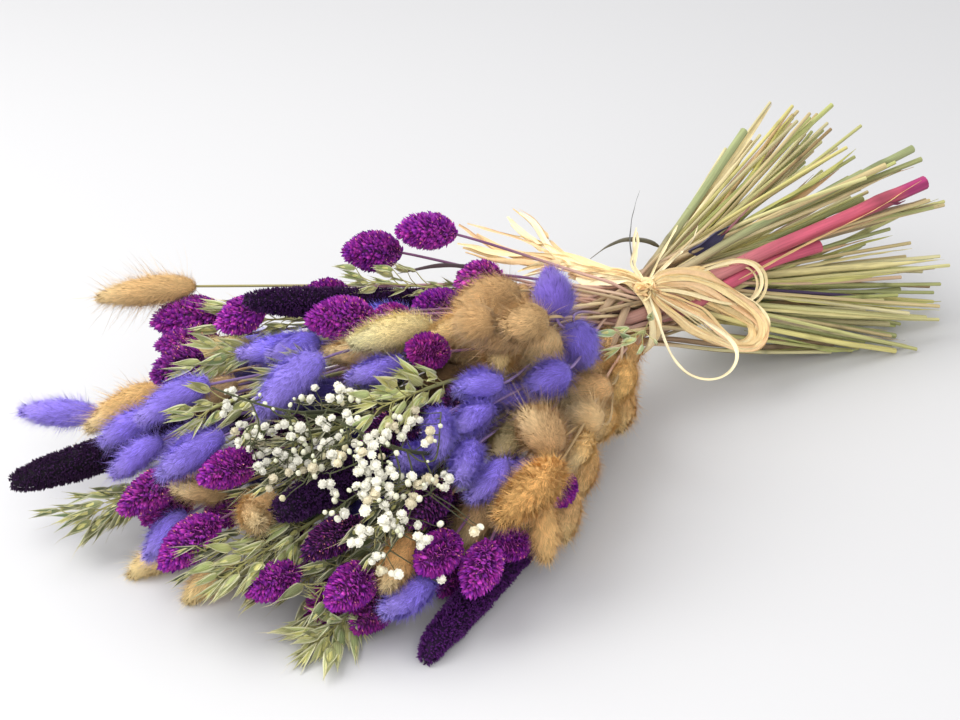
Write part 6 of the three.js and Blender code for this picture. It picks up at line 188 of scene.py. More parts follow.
    ("natural_bunny_tail_more_18", None, "T", 8.3, [(288.7,-10.1,98.1),(216.2,-21.5,77.4),(143.7,-32.2,58.5),(75.4,-41.4,42.4),(54.3,-44.9,38.4),(44.7,-47.3,39.8),(32.5,-50.6,42.3),(20.6,-54.3,46),(8.9,-58.2,50.3),(-2.9,-62,54.5),(-14.8,-65.5,58),(-26.8,-68.6,60.1),(-39.2,-71,60.2),(-45.3,-71.9,59.7),(-51.3,-72.9,59.2),(-57.4,-73.9,58.7),(-63.4,-74.8,58.2),(-69.5,-75.8,57.7),(-75.5,-76.7,57.2)], {"col": (195,169,123), "tip": (220,197,151), "bristles": 260, "bristle": 12, "dens": 1.7, "fuzz": 0.9, "deep": 0.55}),
    ("canary_grass_more_16", None, "P", 9.3, [(257.6,-69,2.2),(195.7,-66.8,18.9),(133.9,-64,33.9),(75.7,-60.5,46.4),(54.3,-60.4,51.2),(44.4,-59.9,52.4),(23.5,-58.1,54.7),(2.2,-55,56.7),(-19.4,-51.4,58.4),(-41.1,-47.7,60.1),(-62.8,-44.7,61.9),(-84.1,-43.1,63.9),(-104.8,-43.5,66.2),(-109.7,-43.9,66.8),(-114.5,-44.3,67.4),(-119.3,-44.6,68),(-124.2,-45,68.6),(-129,-45.4,69.2),(-133.8,-45.8,69.8)], {"col": (58,20,70), "deep": 0.55}),
    ("natural_bunny_tail_more_19", None, "T", 7.7, [(184.4,-100.2,3.4),(146.8,-84.3,10.7),(109.3,-68.7,21.2),(73.9,-54.3,34.4),(54.3,-47.8,40.8),(45.5,-48.5,45.6),(42.1,-49,47.9),(39.4,-49.6,50.4),(37,-50.3,53),(34.8,-51.2,55.3),(32.3,-52,57.2),(29.3,-53,58.3),(25.5,-53.8,58.5),(20.3,-54.8,58),(15.1,-55.8,57.6),(10,-56.9,57.1),(4.8,-57.9,56.7),(-0.4,-58.9,56.2),(-5.6,-59.9,55.7)], {"col": (252,212,150), "tip": (255,222,160), "bristles": 260, "bristle": 12, "dens": 1.7, "fuzz": 0.9, "deep": 0.55}),
    ("canary_grass_more_17", None, "P", 8.9, [(288.1,-115.8,5.8),(215.5,-90.6,28.4),(142.9,-64.9,50.6),(74.5,-40.1,70.9),(54.3,-33.8,75.8),(44.4,-32.4,75.1),(9.4,-27.8,71.7),(-27,-23.7,66.4),(-64.3,-20.1,60),(-101.8,-16.7,53.1),(-139,-13.6,46.4),(-175.5,-10.5,40.6),(-210.7,-7.5,36.5),(-215.5,-7.1,36.1),(-220.3,-6.6,35.7),(-225,-6.2,35.2),(-229.8,-5.8,34.8),(-234.6,-5.4,34.4),(-239.4,-4.9,34)], {"col": (139,37,143), "deep": 0.55}),
    ("natural_bunny_tail_more_20", None, "T", 8.6, [(281.3,-0.7,81.9),(210.9,-14.5,69.1),(140.4,-26.2,55.8),(74.1,-35,42.7),(54.3,-40.9,41.1),(48.6,-47.3,46.2),(47.7,-48.7,47.6),(47.6,-49.6,49.2),(47.9,-50.3,50.8),(48.3,-50.9,52.1),(48.4,-51.4,53.1),(47.9,-52,53.4),(46.5,-52.8,52.9),(41.8,-54.9,50.6),(37,-57.1,48.4),(32.3,-59.2,46.1),(27.6,-61.3,43.8),(22.9,-63.4,41.5),(18.2,-65.5,39.2)], {"col": (244,198,134), "tip": (255,222,160), "bristles": 260, "bristle": 12, "dens": 1.7, "fuzz": 0.9, "deep": 0.55}),
    ("oat_stalk_more_15", None, "O", 5.8, [(288.7,-1.8,101.1),(216.1,-11.5,81.1),(143.6,-21.2,62.8),(75.3,-30.2,47.1),(54.3,-34.3,42.8),(44.6,-36.8,42.5),(17.6,-43.3,42.3),(-10.5,-49.6,43.2),(-39.3,-55.7,44.5),(-68.3,-61.7,45.7),(-97.1,-67.6,46.1),(-125.1,-73.4,45.1),(-152,-79.3,42.1),(-161.2,-81.3,40.7),(-170.3,-83.4,39.2),(-179.5,-85.4,37.7),(-188.7,-87.5,36.2),(-197.8,-89.5,34.7),(-207,-91.6,33.3)], {"col": (70,76,48), "deep": 0.55, "n": 10, "size": 18.2, "lean": 18}),
    ("oat_stalk_more_16", None, "O", 6.2, [(283.4,-70,11.9),(212.9,-62.7,23.5),(142.3,-55.1,36.7),(75.9,-47.5,50.8),(54.3,-46.2,54.3),(44.3,-47.2,54.7),(18.9,-50.2,56),(-7.3,-53.8,57.5),(-33.9,-57.7,58.9),(-60.7,-61.8,59.8),(-87.3,-66,60.1),(-113.4,-70.1,59.3),(-138.6,-74,57.2),(-147.4,-75.3,56.2),(-156.3,-76.6,55.2),(-165.2,-78,54.2),(-174,-79.3,53.1),(-182.9,-80.6,52.1),(-191.8,-81.9,51.1)], {"col": (70,76,48), "deep": 0.55, "n": 10, "size": 17.1, "lean": 18}),
    ("natural_bunny_tail_more_21", None, "T", 8.2, [(288.7,-111.3,15.3),(215.8,-86.7,35.3),(143,-65.2,54.8),(74.5,-48.1,72.6),(54.3,-41,76.8),(45.1,-37.3,75.7),(39.9,-35.2,74.8),(35.2,-33.4,73.6),(30.7,-31.8,72.1),(26.3,-30.2,70.6),(21.8,-28.6,69.4),(17,-26.9,68.5),(11.8,-25,68.2),(6.7,-23.1,68.3),(1.6,-21.3,68.4),(-3.5,-19.4,68.5),(-8.5,-17.5,68.6),(-13.6,-15.7,68.7),(-18.7,-13.8,68.8)], {"col": (208,167,109), "tip": (220,197,151), "bristles": 260, "bristle": 12, "dens": 1.7, "fuzz": 0.9, "deep": 0.55}),
    ("violet_bunny_tail_more_18", None, "V", 8.3, [(288.7,-104.7,24.1),(216,-82.6,43.5),(143.3,-61.7,60.3),(74.9,-43.3,73.5),(54.3,-37.1,76.8),(44.5,-35.2,76.1),(13.8,-29.3,72.8),(-18.1,-23.6,68.2),(-50.8,-18.3,62.9),(-83.7,-13.6,57.5),(-116.6,-9.9,52.8),(-148.8,-7.4,49.3),(-180.1,-6.4,47.7),(-185.3,-6.4,47.6),(-190.4,-6.4,47.6),(-195.6,-6.3,47.5),(-200.7,-6.3,47.4),(-205.9,-6.3,47.4),(-211,-6.2,47.3)], {"col": (72,60,128), "tip": (72,60,128), "fur": 4.2, "tilt": 32, "bristles": 180, "bristle": 8, "tuft": 4.2, "meet": 0.22, "lean": 0.12, "dens": 1.7, "fuzz": 0.9, "deep": 0.55}),
    ("violet_bunny_tail_more_19", None, "V", 8.6, [(288.7,-56.8,27.6),(216.4,-57.8,32.6),(144.1,-57.1,38.7),(76.1,-55,45.5),(54.3,-55.8,47.8),(44.4,-57.1,48.8),(24.9,-59.7,51.1),(4.8,-62.1,53.5),(-15.5,-64.6,55.8),(-35.9,-67.2,57.9),(-56.2,-70.1,59.6),(-76.1,-73.4,60.7),(-95.6,-77.2,61),(-101.5,-78.5,60.9),(-107.3,-79.8,60.9),(-113.2,-81,60.8),(-119.1,-82.3,60.8),(-125,-83.6,60.7),(-130.9,-84.9,60.7)], {"col": (136,108,201), "tip": (158,140,221), "fur": 4.2, "tilt": 32, "bristles": 180, "bristle": 8, "tuft": 4.2, "meet": 0.22, "lean": 0.12, "dens": 1.7, "fuzz": 0.9, "deep": 0.55}),
    ("canary_grass_more_18", None, "P", 8.8, [(253.4,-20.5,118.2),(192.8,-21.4,98.7),(132.1,-23.6,77.7),(75.1,-27.2,56.4),(54.3,-29.2,49.9),(44.7,-32,48.7),(19.9,-39.4,46.4),(-5.7,-47.8,45.3),(-31.7,-56.6,44.7),(-58,-65.4,44.2),(-84,-73.8,42.9),(-109.5,-81.4,40.4),(-134.2,-87.8,35.9),(-139.9,-89.1,34.6),(-145.5,-90.5,33.3),(-151.2,-91.8,31.9),(-156.9,-93.1,30.6),(-162.5,-94.4,29.3),(-168.2,-95.7,28)], {"col": (58,20,70), "deep": 0.55}),
    ("natural_bunny_tail_more_22", None, "T", 8.3, [(268.9,-37,112.6),(203,-34.4,90.2),(137.1,-31.5,70),(75.1,-28.7,53.4),(54.3,-30,47.5),(45.2,-33.9,45.8),(40.3,-36.6,44.9),(36,-39.7,44.2),(32.1,-42.9,43.6),(28.1,-45.9,43),(24,-48.4,42.5),(19.4,-50,42),(14.1,-50.4,41.3),(8.7,-50.1,40.7),(3.4,-49.8,40.1),(-2,-49.5,39.5),(-7.4,-49.2,38.9),(-12.7,-48.9,38.3),(-18.1,-48.6,37.7)], {"col": (252,212,150), "tip": (255,222,160), "bristles": 260, "bristle": 12, "dens": 1.7, "fuzz": 0.9, "deep": 0.55}),
    ("canary_grass_more_19", None, "P", 8.6, [(222.9,-123.9,7.3),(172,-100.5,27.6),(121.1,-77.5,46.8),(73.2,-56.4,63.9),(54.3,-47.4,70),(45.9,-42,70.6),(18.9,-24.3,72.1),(-8.9,-5.5,73),(-37.1,14.2,73.2),(-65.4,34.2,73),(-93.3,54.2,72.3),(-120.6,73.8,71.1),(-146.8,92.6,69.6),(-151.5,95.9,69.3),(-156.1,99.3,69),(-160.8,102.6,68.7),(-165.4,105.9,68.4),(-170.1,109.2,68.1),(-174.7,112.5,67.8)], {"col": (141,40,146), "deep": 0.55}),
    ("violet_bunny_tail_more_20", None, "V", 7.7, [(230.2,-107.2,26.1),(177.2,-85.9,42.1),(124.2,-65.4,57.2),(74.3,-46.9,70.4),(54.3,-39.7,74),(44.6,-38.6,71.6),(38.9,-38.1,69.7),(33.7,-37.9,67.4),(28.8,-37.9,64.8),(24.1,-38.1,62.2),(19.2,-38.4,59.9),(13.8,-38.7,58.2),(7.9,-38.9,57.3),(2.8,-39.1,56.9),(-2.4,-39.2,56.6),(-7.5,-39.3,56.2),(-12.6,-39.5,55.9),(-17.8,-39.6,55.6),(-22.9,-39.7,55.2)], {"col": (124,103,211), "tip": (158,140,221), "fur": 4.2, "tilt": 32, "bristles": 180, "bristle": 8, "tuft": 4.2, "meet": 0.22, "lean": 0.12, "dens": 1.7, "fuzz": 0.9, "deep": 0.55}),
    ("canary_grass_more_20", None, "P", 10.1, [(242.9,-80.2,100.5),(185.8,-64.2,88),(128.7,-46.5,74),(75,-28.1,59.5),(54.3,-22.8,55.1),(44.4,-22.9,53.8),(11.5,-24.7,49.9),(-22.8,-28.8,46.4),(-57.8,-34.1,43),(-93,-39.5,39.3),(-127.9,-43.7,35.1),(-161.7,-45.7,29.8),(-193.9,-44.2,23.2),(-199.8,-43.5,21.9),(-205.6,-42.9,20.5),(-211.5,-42.2,19.1),(-217.3,-41.5,17.7),(-223.2,-40.9,16.3),(-229,-40.2,15)], {"col": (58,20,70), "deep": 0.55}),
    ("oat_stalk_more_17", None, "O", 5.7, [(288.7,-23.7,120.6),(216.1,-23.3,99),(143.6,-23.8,75.9),(75.3,-25.2,52.7),(54.3,-26.6,47),(44.6,-28.9,46.5),(23.3,-34.4,46.1),(1.6,-40.7,46.8),(-20.4,-47.4,48.1),(-42.5,-53.9,49.3),(-64.6,-59.9,50.1),(-86.5,-64.7,49.9),(-108,-68,48.2),(-116.3,-68.9,47.2),(-124.6,-69.8,46.2),(-132.9,-70.8,45.1),(-141.3,-71.7,44.1),(-149.6,-72.6,43.1),(-157.9,-73.5,42.1)], {"col": (70,76,48), "deep": 0.55, "n": 10, "size": 18.4, "lean": 18}),
    ("oat_stalk_more_18", None, "O", 5.7, [(282.3,-55.3,83.6),(212.2,-47.1,74.8),(142.1,-40.4,66.3),(76.1,-35.6,58.8),(54.3,-34.1,56.4),(44.3,-34.6,55.5),(8.3,-36.8,53),(-29.4,-40,51),(-67.9,-43.8,49.2),(-106.7,-47.7,47.1),(-145.1,-51,44.2),(-182.5,-53.3,40.2),(-218.2,-54.1,34.6),(-226.6,-54.1,33),(-235,-54.1,31.4),(-243.4,-54,29.9),(-251.8,-54,28.3),(-260.3,-54,26.7),(-268.7,-54,25.1)], {"col": (129,127,83), "deep": 0.55, "n": 10, "size": 17.6, "lean": 18}),
    ("natural_bunny_tail_more_23", None, "T", 8.2, [(288.7,-13.4,93.5),(216.1,-21.8,75.9),(143.5,-29,58.6),(75.1,-34.6,42.4),(54.3,-39,38.2),(45.4,-43.5,37.4),(27.1,-52.8,36.5),(8.2,-62.4,36.6),(-11,-72.2,37),(-30.1,-82.2,37),(-48.7,-92.5,36),(-66.3,-103.1,33.3),(-82.7,-113.9,28.3),(-87.2,-117,26.5),(-91.6,-120.1,24.7),(-96,-123.2,22.9),(-100.5,-126.3,21),(-104.9,-129.5,19.2),(-109.4,-132.6,17.4)], {"col": (252,212,150), "tip": (255,222,160), "bristles": 260, "bristle": 12, "dens": 1.7, "fuzz": 0.9, "deep": 0.55}),
    ("natural_bunny_tail_more_24", None, "T", 8.3, [(251.9,-75.1,82.3),(192,-63.6,75.5),(132.1,-50.4,68.2),(75.7,-36.1,60.7),(54.3,-32.1,58.1),(44.4,-31.5,56.9),(12.4,-29.6,53.2),(-20.9,-28,49.8),(-55,-26.7,46.3),(-89.3,-25.5,42.5),(-123.2,-24.5,38),(-156.2,-23.8,32.5),(-187.6,-23.1,25.6),(-193.7,-23,24.1),(-199.7,-22.9,22.6),(-205.7,-22.8,21.1),(-211.7,-22.7,19.6),(-217.7,-22.6,18.1),(-223.8,-22.5,16.6)], {"col": (120,92,62), "tip": (120,92,62), "bristles": 260, "bristle": 12, "dens": 1.7, "fuzz": 0.9, "deep": 0.55}),
    ("canary_grass_more_21", None, "P", 9.5, [(288.7,-119,19.6),(215.9,-97.4,37.4),(143.1,-74.1,55.5),(74.6,-50.5,73),(54.3,-43.5,77),(44.7,-40.8,76.6),(18.6,-33.9,75.1),(-8.4,-27.4,72.8),(-36.1,-21.1,70.1),(-64,-15.3,66.9),(-91.8,-9.9,63.5),(-119.1,-4.9,60),(-145.5,-0.4,56.7),(-151.4,0.6,55.9),(-157.3,1.6,55.2),(-163.2,2.5,54.4),(-169.1,3.5,53.7),(-175,4.5,53),(-180.9,5.4,52.2)], {"col": (58,20,70), "deep": 0.55}),
    ("canary_grass_more_22", None, "P", 9.7, [(276.5,-38.1,97.5),(208.3,-31.8,83.8),(140,-28.4,69.7),(75.8,-27.9,56),(54.3,-28,51.7),(44.6,-30.1,50.2),(10.8,-38.4,44.9),(-24.2,-48.2,39.7),(-59.9,-58.9,34.5),(-95.8,-69.9,29.5),(-131.5,-80.6,24.6),(-166.6,-90.5,19.9),(-200.5,-98.8,15.5),(-205.5,-99.9,14.9),(-210.6,-101,14.3),(-215.6,-102.1,13.6),(-220.6,-103.2,13),(-225.6,-104.3,12.4),(-230.6,-105.4,11.7)], {"col": (144,43,138), "deep": 0.55}),
    ("oat_stalk_more_19", None, "O", 6.3, [(285.8,-103.2,26.7),(214.2,-83.6,44.3),(142.5,-63.6,59.8),(75.1,-44.5,72.3),(54.3,-38.8,75.7),(44.4,-37.6,75.2),(13.4,-34,73.1),(-18.8,-30.8,70.2),(-51.7,-28,66.7),(-84.9,-26,62.9),(-117.8,-24.9,59.1),(-150,-25,55.5),(-181.1,-26.5,52.5),(-190.3,-27.2,51.7),(-199.6,-27.9,50.9),(-208.9,-28.5,50.1),(-218.2,-29.2,49.3),(-227.4,-29.9,48.5),(-236.7,-30.6,47.7)], {"col": (70,76,48), "deep": 0.55, "n": 10, "size": 18.8, "lean": 18}),
    ("canary_grass_more_23", None, "P", 10.1, [(211.1,-100.9,113.4),(164.5,-75.5,102.2),(117.9,-53.9,90),(74,-37.3,77.4),(54.3,-29,72.6),(44.6,-26.9,71),(7.7,-18.9,65.2),(-31.1,-11.3,59.4),(-71,-4,53.7),(-111.4,2.8,48.2),(-151.5,9.2,42.9),(-190.7,15,37.8),(-228.3,20.3,33),(-233.1,21,32.3),(-237.8,21.6,31.7),(-242.6,22.3,31.1),(-247.4,23,30.5),(-252.1,23.6,29.9),(-256.9,24.3,29.3)], {"col": (143,38,133), "deep": 0.55}),
    ("violet_bunny_tail_more_21", None, "V", 8.1, [(275.9,-4.4,90.2),(207.7,-14.4,71.8),(139.5,-26.1,55.4),(75.3,-38.6,41.9),(54.3,-42.7,37.4),(44.8,-45.9,36.7),(21.8,-54,35.6),(-1.8,-63,35.6),(-25.7,-72.6,36.2),(-49.7,-82.3,36.5),(-73.6,-91.7,36.1),(-97,-100.2,34.3),(-119.8,-107.5,30.4),(-125.3,-109.1,29.1),(-130.8,-110.7,27.9),(-136.3,-112.3,26.6),(-141.8,-113.9,25.4),(-147.3,-115.5,24.1),(-152.7,-117.2,22.9)], {"col": (136,115,188), "tip": (158,140,221), "fur": 4.2, "tilt": 32, "bristles": 180, "bristle": 8, "tuft": 4.2, "meet": 0.22, "lean": 0.12, "dens": 1.7, "fuzz": 0.9, "deep": 0.55}),
    ("canary_grass_more_24", None, "P", 10, [(257.1,-13.5,125.8),(195.1,-23.5,109.7),(133.1,-32.9,94.7),(74.8,-41.1,81.7),(54.3,-42.3,75.4),(46.2,-38.3,71),(41,-35.4,67.9),(36.6,-32.3,64.6),(32.5,-28.9,61.2),(28.6,-25.4,58.2),(24.4,-21.9,55.5),(19.6,-18.5,53.6),(14,-15.2,52.6),(8.6,-12.4,52.1),(3.2,-9.6,51.7),(-2.2,-6.8,51.2),(-7.7,-4.1,50.8),(-13.1,-1.3,50.4),(-18.5,1.5,49.9)], {"col": (132,38,137), "deep": 0.55}),
    ("natural_bunny_tail_more_25", None, "T", 8.5, [(288.7,-21.6,107.2),(216.2,-23.7,87.9),(143.6,-26.4,68.3),(75.4,-29.4,49.5),(54.3,-31.7,44.5),(44.6,-34,44.2),(31,-37.4,44.6),(17.4,-40.8,45.9),(3.7,-44.3,47.7),(-9.9,-47.6,49.5),(-23.6,-50.8,50.8),(-37.2,-53.7,50.9),(-50.7,-56.3,49.5),(-56.5,-57.4,48.4),(-62.3,-58.4,47.4),(-68.2,-59.4,46.3),(-74,-60.5,45.3),(-79.8,-61.5,44.2),(-85.6,-62.6,43.2)], {"col": (183,160,112), "tip": (220,197,151), "bristles": 260, "bristle": 12, "dens": 1.7, "fuzz": 0.9, "deep": 0.55}),
    ("canary_grass_more_25", None, "P", 9.9, [(267.8,-65.5,19.1),(202.5,-59.5,27.8),(137.3,-54.3,38.3),(75.8,-50.3,50.1),(54.3,-50.4,53.7),(44.5,-51.8,55.3),(23.4,-54.8,59),(1.8,-57.5,63),(-20.3,-60.2,67.1),(-42.4,-62.7,71.1),(-64.5,-65.3,74.6),(-86.3,-68,77.4),(-107.6,-70.8,79.2),(-113.6,-71.7,79.6),(-119.5,-72.5,80),(-125.4,-73.3,80.3),(-131.4,-74.1,80.7),(-137.3,-75,81.1),(-143.3,-75.8,81.4)], {"col": (58,20,70), "deep": 0.55}),
    ("natural_bunny_tail_more_26", None, "T", 8.4, [(288.7,-4.9,94.9),(216.1,-17,77.1),(143.4,-27,60.6),(75.1,-34.2,46.3),(54.3,-39.1,42.1),(45.5,-43.9,41),(32.2,-51.5,39.8),(18.9,-59.7,39.2),(5.6,-68.2,38.7),(-7.7,-76.7,38),(-21,-84.8,36.8),(-34.3,-92.4,34.6),(-47.6,-99.1,31),(-52.8,-101.5,29.3),(-58.1,-104,27.5),(-63.3,-106.4,25.8),(-68.6,-108.9,24.1),(-73.8,-111.3,22.4),(-79.1,-113.8,20.6)], {"col": (250,206,140), "tip": (255,222,160), "bristles": 260, "bristle": 12, "dens": 1.7, "fuzz": 0.9, "deep": 0.55}),
    ("canary_grass_more_26", None, "P", 9.7, [(288.3,-13.1,111.5),(215.9,-20.3,90.6),(143.5,-27.3,68.9),(75.3,-33.8,47.8),(54.3,-36.4,41.9),(44.5,-38.1,40.6),(18.8,-42.6,37.6),(-8,-47.1,35.5),(-35.3,-51.6,33.9),(-62.8,-56.3,32.3),(-90,-61.3,30.1),(-116.4,-66.6,27),(-141.6,-72.5,22.5),(-146.4,-73.7,21.4),(-151.2,-74.9,20.4),(-156.1,-76.1,19.3),(-160.9,-77.3,18.2),(-165.7,-78.5,17.2),(-170.5,-79.7,16.1)], {"col": (58,20,70), "deep": 0.55}),
    ("canary_grass_more_27", None, "P", 8.7, [(227.5,-140.5,2.2),(175,-114.8,25.3),(122.5,-86.4,48.6),(73.1,-56.8,70.5),(54.3,-48.3,77.2),(44.5,-46.3,77.1),(19.8,-41.4,76),(-5.6,-36.3,73.2),(-31.6,-31.4,69.5),(-57.7,-26.9,65.6),(-83.7,-23,62.2),(-109.4,-20.1,60.2),(-134.4,-18.3,60.3),(-140.2,-18.1,60.6),(-146,-17.8,60.9),(-151.7,-17.6,61.2),(-157.5,-17.3,61.5),(-163.2,-17,61.8),(-169,-16.8,62.1)], {"col": (58,20,70), "deep": 0.55}),
    ("natural_bunny_tail_more_27", None, "T", 8.3, [(283.7,-50.4,114.3),(212.6,-43.1,93.2),(141.6,-34.4,73.6),(74.7,-24.8,56.6),(54.3,-25.2,50.9),(46.8,-31.4,48.6),(41.1,-37.1,46.9),(36.2,-43.3,45.6),(31.9,-49.9,44.5),(27.7,-56.6,43.3),(23.3,-62.9,41.9),(18.4,-68.7,39.8),(12.6,-73.6,37),(8.6,-76.4,35),(4.7,-79.1,32.9),(0.8,-81.8,30.9),(-3.1,-84.5,28.9),(-7,-87.3,26.8),(-11,-90,24.8)], {"col": (250,206,140), "tip": (255,222,160), "bristles": 260, "bristle": 12, "dens": 1.7, "fuzz": 0.9, "deep": 0.55}),
    ("violet_bunny_tail_more_22", None, "V", 8.1, [(231.7,-75.6,16.7),(178.5,-69.6,31.2),(125.2,-63.3,45.3),(75.1,-57.3,58.1),(54.3,-53.5,62.9),(45.5,-48.7,63),(20.9,-34.6,62.7),(-4.1,-19.2,61.3),(-29.1,-2.8,59.2),(-54,14.3,56.7),(-78.3,31.9,54.5),(-101.8,49.5,52.8),(-124.1,67,52.1),(-128.9,70.9,52.1),(-133.7,74.8,52.1),(-138.5,78.6,52.1),(-143.3,82.5,52.1),(-148.2,86.3,52.1),(-153,90.2,52.1)], {"col": (125,117,189), "tip": (158,140,221), "fur": 4.2, "tilt": 32, "bristles": 180, "bristle": 8, "tuft": 4.2, "meet": 0.22, "lean": 0.12, "dens": 1.7, "fuzz": 0.9, "deep": 0.55}),
    ("natural_bunny_tail_more_28", None, "T", 9.6, [(286.4,-66.8,8.4),(214.7,-58.6,26.7),(143,-51.1,42.8),(75.6,-44.7,55.7),(54.3,-43.2,60.9),(44.9,-42.9,64.4),(36.4,-42.1,68.1),(25.1,-40.5,73.6),(12,-38.7,80.2),(-1.8,-36.9,87.1),(-15.2,-35.8,93.7),(-27.2,-35.7,99.2),(-36.7,-37.1,102.9),(-42,-34.2,102.2),(-47.3,-31.4,101.5),(-52.7,-28.6,100.9),(-58,-25.8,100.2),(-63.3,-22.9,99.5),(-68.7,-20.1,98.9)], {"col": (211,172,121), "tip": (230,190,136), "bristles": 360, "bristle": 15, "dens": 2.3, "fuzz": 1.3, "fat": 1.12, "stand": 55}),
    ("natural_bunny_tail_more_29", None, "T", 8.8, [(208.2,-97.5,2.2),(162.7,-80.8,19.6),(117.2,-66,36.4),(74.3,-53.9,51.7),(54.3,-48.9,58.8),(44.9,-49.5,62.2),(34.4,-50.9,66.2),(20,-53.7,72.1),(3.3,-57.5,79),(-14.1,-62,86),(-30.6,-66.9,92.3),(-44.6,-71.7,97.1),(-54.6,-76.2,99.6),(-58,-76.7,97.2),(-61.4,-77.2,94.9),(-64.9,-77.6,92.6),(-68.3,-78.1,90.3),(-71.8,-78.6,87.9),(-75.2,-79,85.6)], {"col": (240,206,152), "tip": (246,220,168), "bristles": 360, "bristle": 15, "dens": 2.3, "fuzz": 1.3, "fat": 1.12, "stand": 55}),
    ("natural_bunny_tail_more_30", None, "T", 8.6, [(273.8,-99.5,38.6),(206.3,-79,48.3),(138.8,-59.6,55.9),(75.3,-42.4,60.9),(54.3,-37.5,64),(44.8,-38.6,67),(30.8,-42,72.1),(11.6,-48.7,80.1),(-10.5,-57.6,89.7),(-33.3,-67.3,99.7),(-54.7,-76.4,108.9),(-72.4,-83.7,116),(-84.2,-87.8,119.9),(-87.8,-85.1,118.1),(-91.5,-82.4,116.3),(-95.2,-79.7,114.5),(-98.9,-77,112.7),(-102.5,-74.3,110.9),(-106.2,-71.6,109.1)], {"col": (205,165,114), "tip": (230,190,136), "bristles": 360, "bristle": 15, "dens": 2.3, "fuzz": 1.3, "fat": 1.12, "stand": 55}),
    ("natural_bunny_tail_more_31", None, "T", 8.8, [(270.3,-68.5,69.4),(204.2,-60,64.8),(138.2,-50.3,60.7),(76,-40.2,57.5),(54.3,-37.6,57),(44.7,-39.4,59.5),(30,-43.9,65),(10.1,-52.3,74.6),(-12.6,-63,86.5),(-35.9,-74.6,99.2),(-57.5,-85.5,111.1),(-75.2,-94.3,120.6),(-86.7,-99.3,126),(-90.5,-98.2,126),(-94.3,-97.1,126),(-98.2,-96,126),(-102,-95,126),(-105.8,-93.9,126),(-109.7,-92.8,126)], {"col": (214,178,127), "tip": (230,190,136), "bristles": 360, "bristle": 15, "dens": 2.3, "fuzz": 1.3, "fat": 1.12, "stand": 55}),
    ("natural_bunny_tail_more_32", None, "T", 8, [(249.6,-93,2.2),(190.3,-77.5,19.2),(130.9,-62.9,35.7),(75.1,-50,50.7),(54.3,-47.3,56.2),(44.9,-50.5,57.7),(36.9,-54.6,58.5),(26.5,-61.6,59),(14.6,-70.2,59.2),(2.1,-79.3,59.6),(-10.1,-87.9,60.4),(-21.2,-94.7,61.8),(-30.3,-98.6,64),(-34.4,-96.8,63.5),(-38.5,-94.9,63),(-42.6,-93,62.5),(-46.7,-91.2,62),(-50.8,-89.3,61.5),(-54.9,-87.4,61)], {"col": (232,190,134), "tip": (246,220,168), "bristles": 360, "bristle": 15, "dens": 2.3, "fuzz": 1.3, "fat": 1.12, "stand": 55}),
    ("violet_bunny_tail_more_23", None, "V", 8.4, [(277.3,-87.5,2.2),(208.6,-71.4,16),(139.9,-56.5,32.6),(75.2,-43.7,51),(54.3,-40.4,56.3),(45,-42.2,59.7),(35.5,-44.5,64),(22.7,-48.5,70.7),(8.1,-53.8,78.8),(-7.1,-60,86.9),(-21.2,-66.7,94),(-33,-73.5,98.7),(-41,-80.1,100.1),(-40.6,-81.2,96.1),(-40.3,-82.3,92.1),(-39.9,-83.4,88),(-39.5,-84.5,84),(-39.1,-85.6,80),(-38.7,-86.7,75.9)], {"col": (146,126,232), "tip": (156,138,240), "fur": 4.2, "tilt": 32, "bristles": 180, "bristle": 8, "tuft": 4.2, "meet": 0.22, "lean": 0.12, "dens": 2.3, "fuzz": 1.3, "fat": 1.12}),
    ("natural_bunny_tail_more_33", None, "T", 8.2, [(222.3,-125.6,2.2),(171.7,-102.3,21.9),(121.1,-77.1,41.1),(73.4,-51.5,58.6),(54.3,-43.7,65.6),(44.9,-43.8,69),(28.8,-45.9,75),(6,-51.2,83.7),(-20.4,-58.5,93.9),(-47.8,-66.5,104.5),(-73.2,-74.1,114.3),(-93.7,-80,122),(-106.6,-83.1,126.6),(-108.3,-80.3,125.6),(-109.9,-77.6,124.7),(-111.5,-74.8,123.8),(-113.2,-72,122.9),(-114.8,-69.3,121.9),(-116.5,-66.5,121)], {"col": (205,165,114), "tip": (230,190,136), "bristles": 360, "bristle": 15, "dens": 2.3, "fuzz": 1.3, "fat": 1.12, "stand": 55}),
    ("violet_bunny_tail_more_24", None, "V", 7.6, [(271.7,-130.1,3.4),(204.6,-104,20.7),(137.4,-76.4,38.8),(74.2,-48.8,56.6),(54.3,-41.9,62.1),(44.7,-43.2,64.5),(32.2,-47.1,67.5),(15.3,-55,71.2),(-4.2,-65.5,75.5),(-24.3,-77,79.8),(-43.2,-87.9,84),(-59,-96.6,87.7),(-69.9,-101.6,90.6),(-73.7,-100.5,89.8),(-77.6,-99.3,89),(-81.4,-98.2,88.2),(-85.2,-97,87.4),(-89,-95.8,86.6),(-92.8,-94.7,85.8)], {"col": (146,126,232), "tip": (156,138,240), "fur": 4.2, "tilt": 32, "bristles": 180, "bristle": 8, "tuft": 4.2, "meet": 0.22, "lean": 0.12, "dens": 2.3, "fuzz": 1.3, "fat": 1.12}),
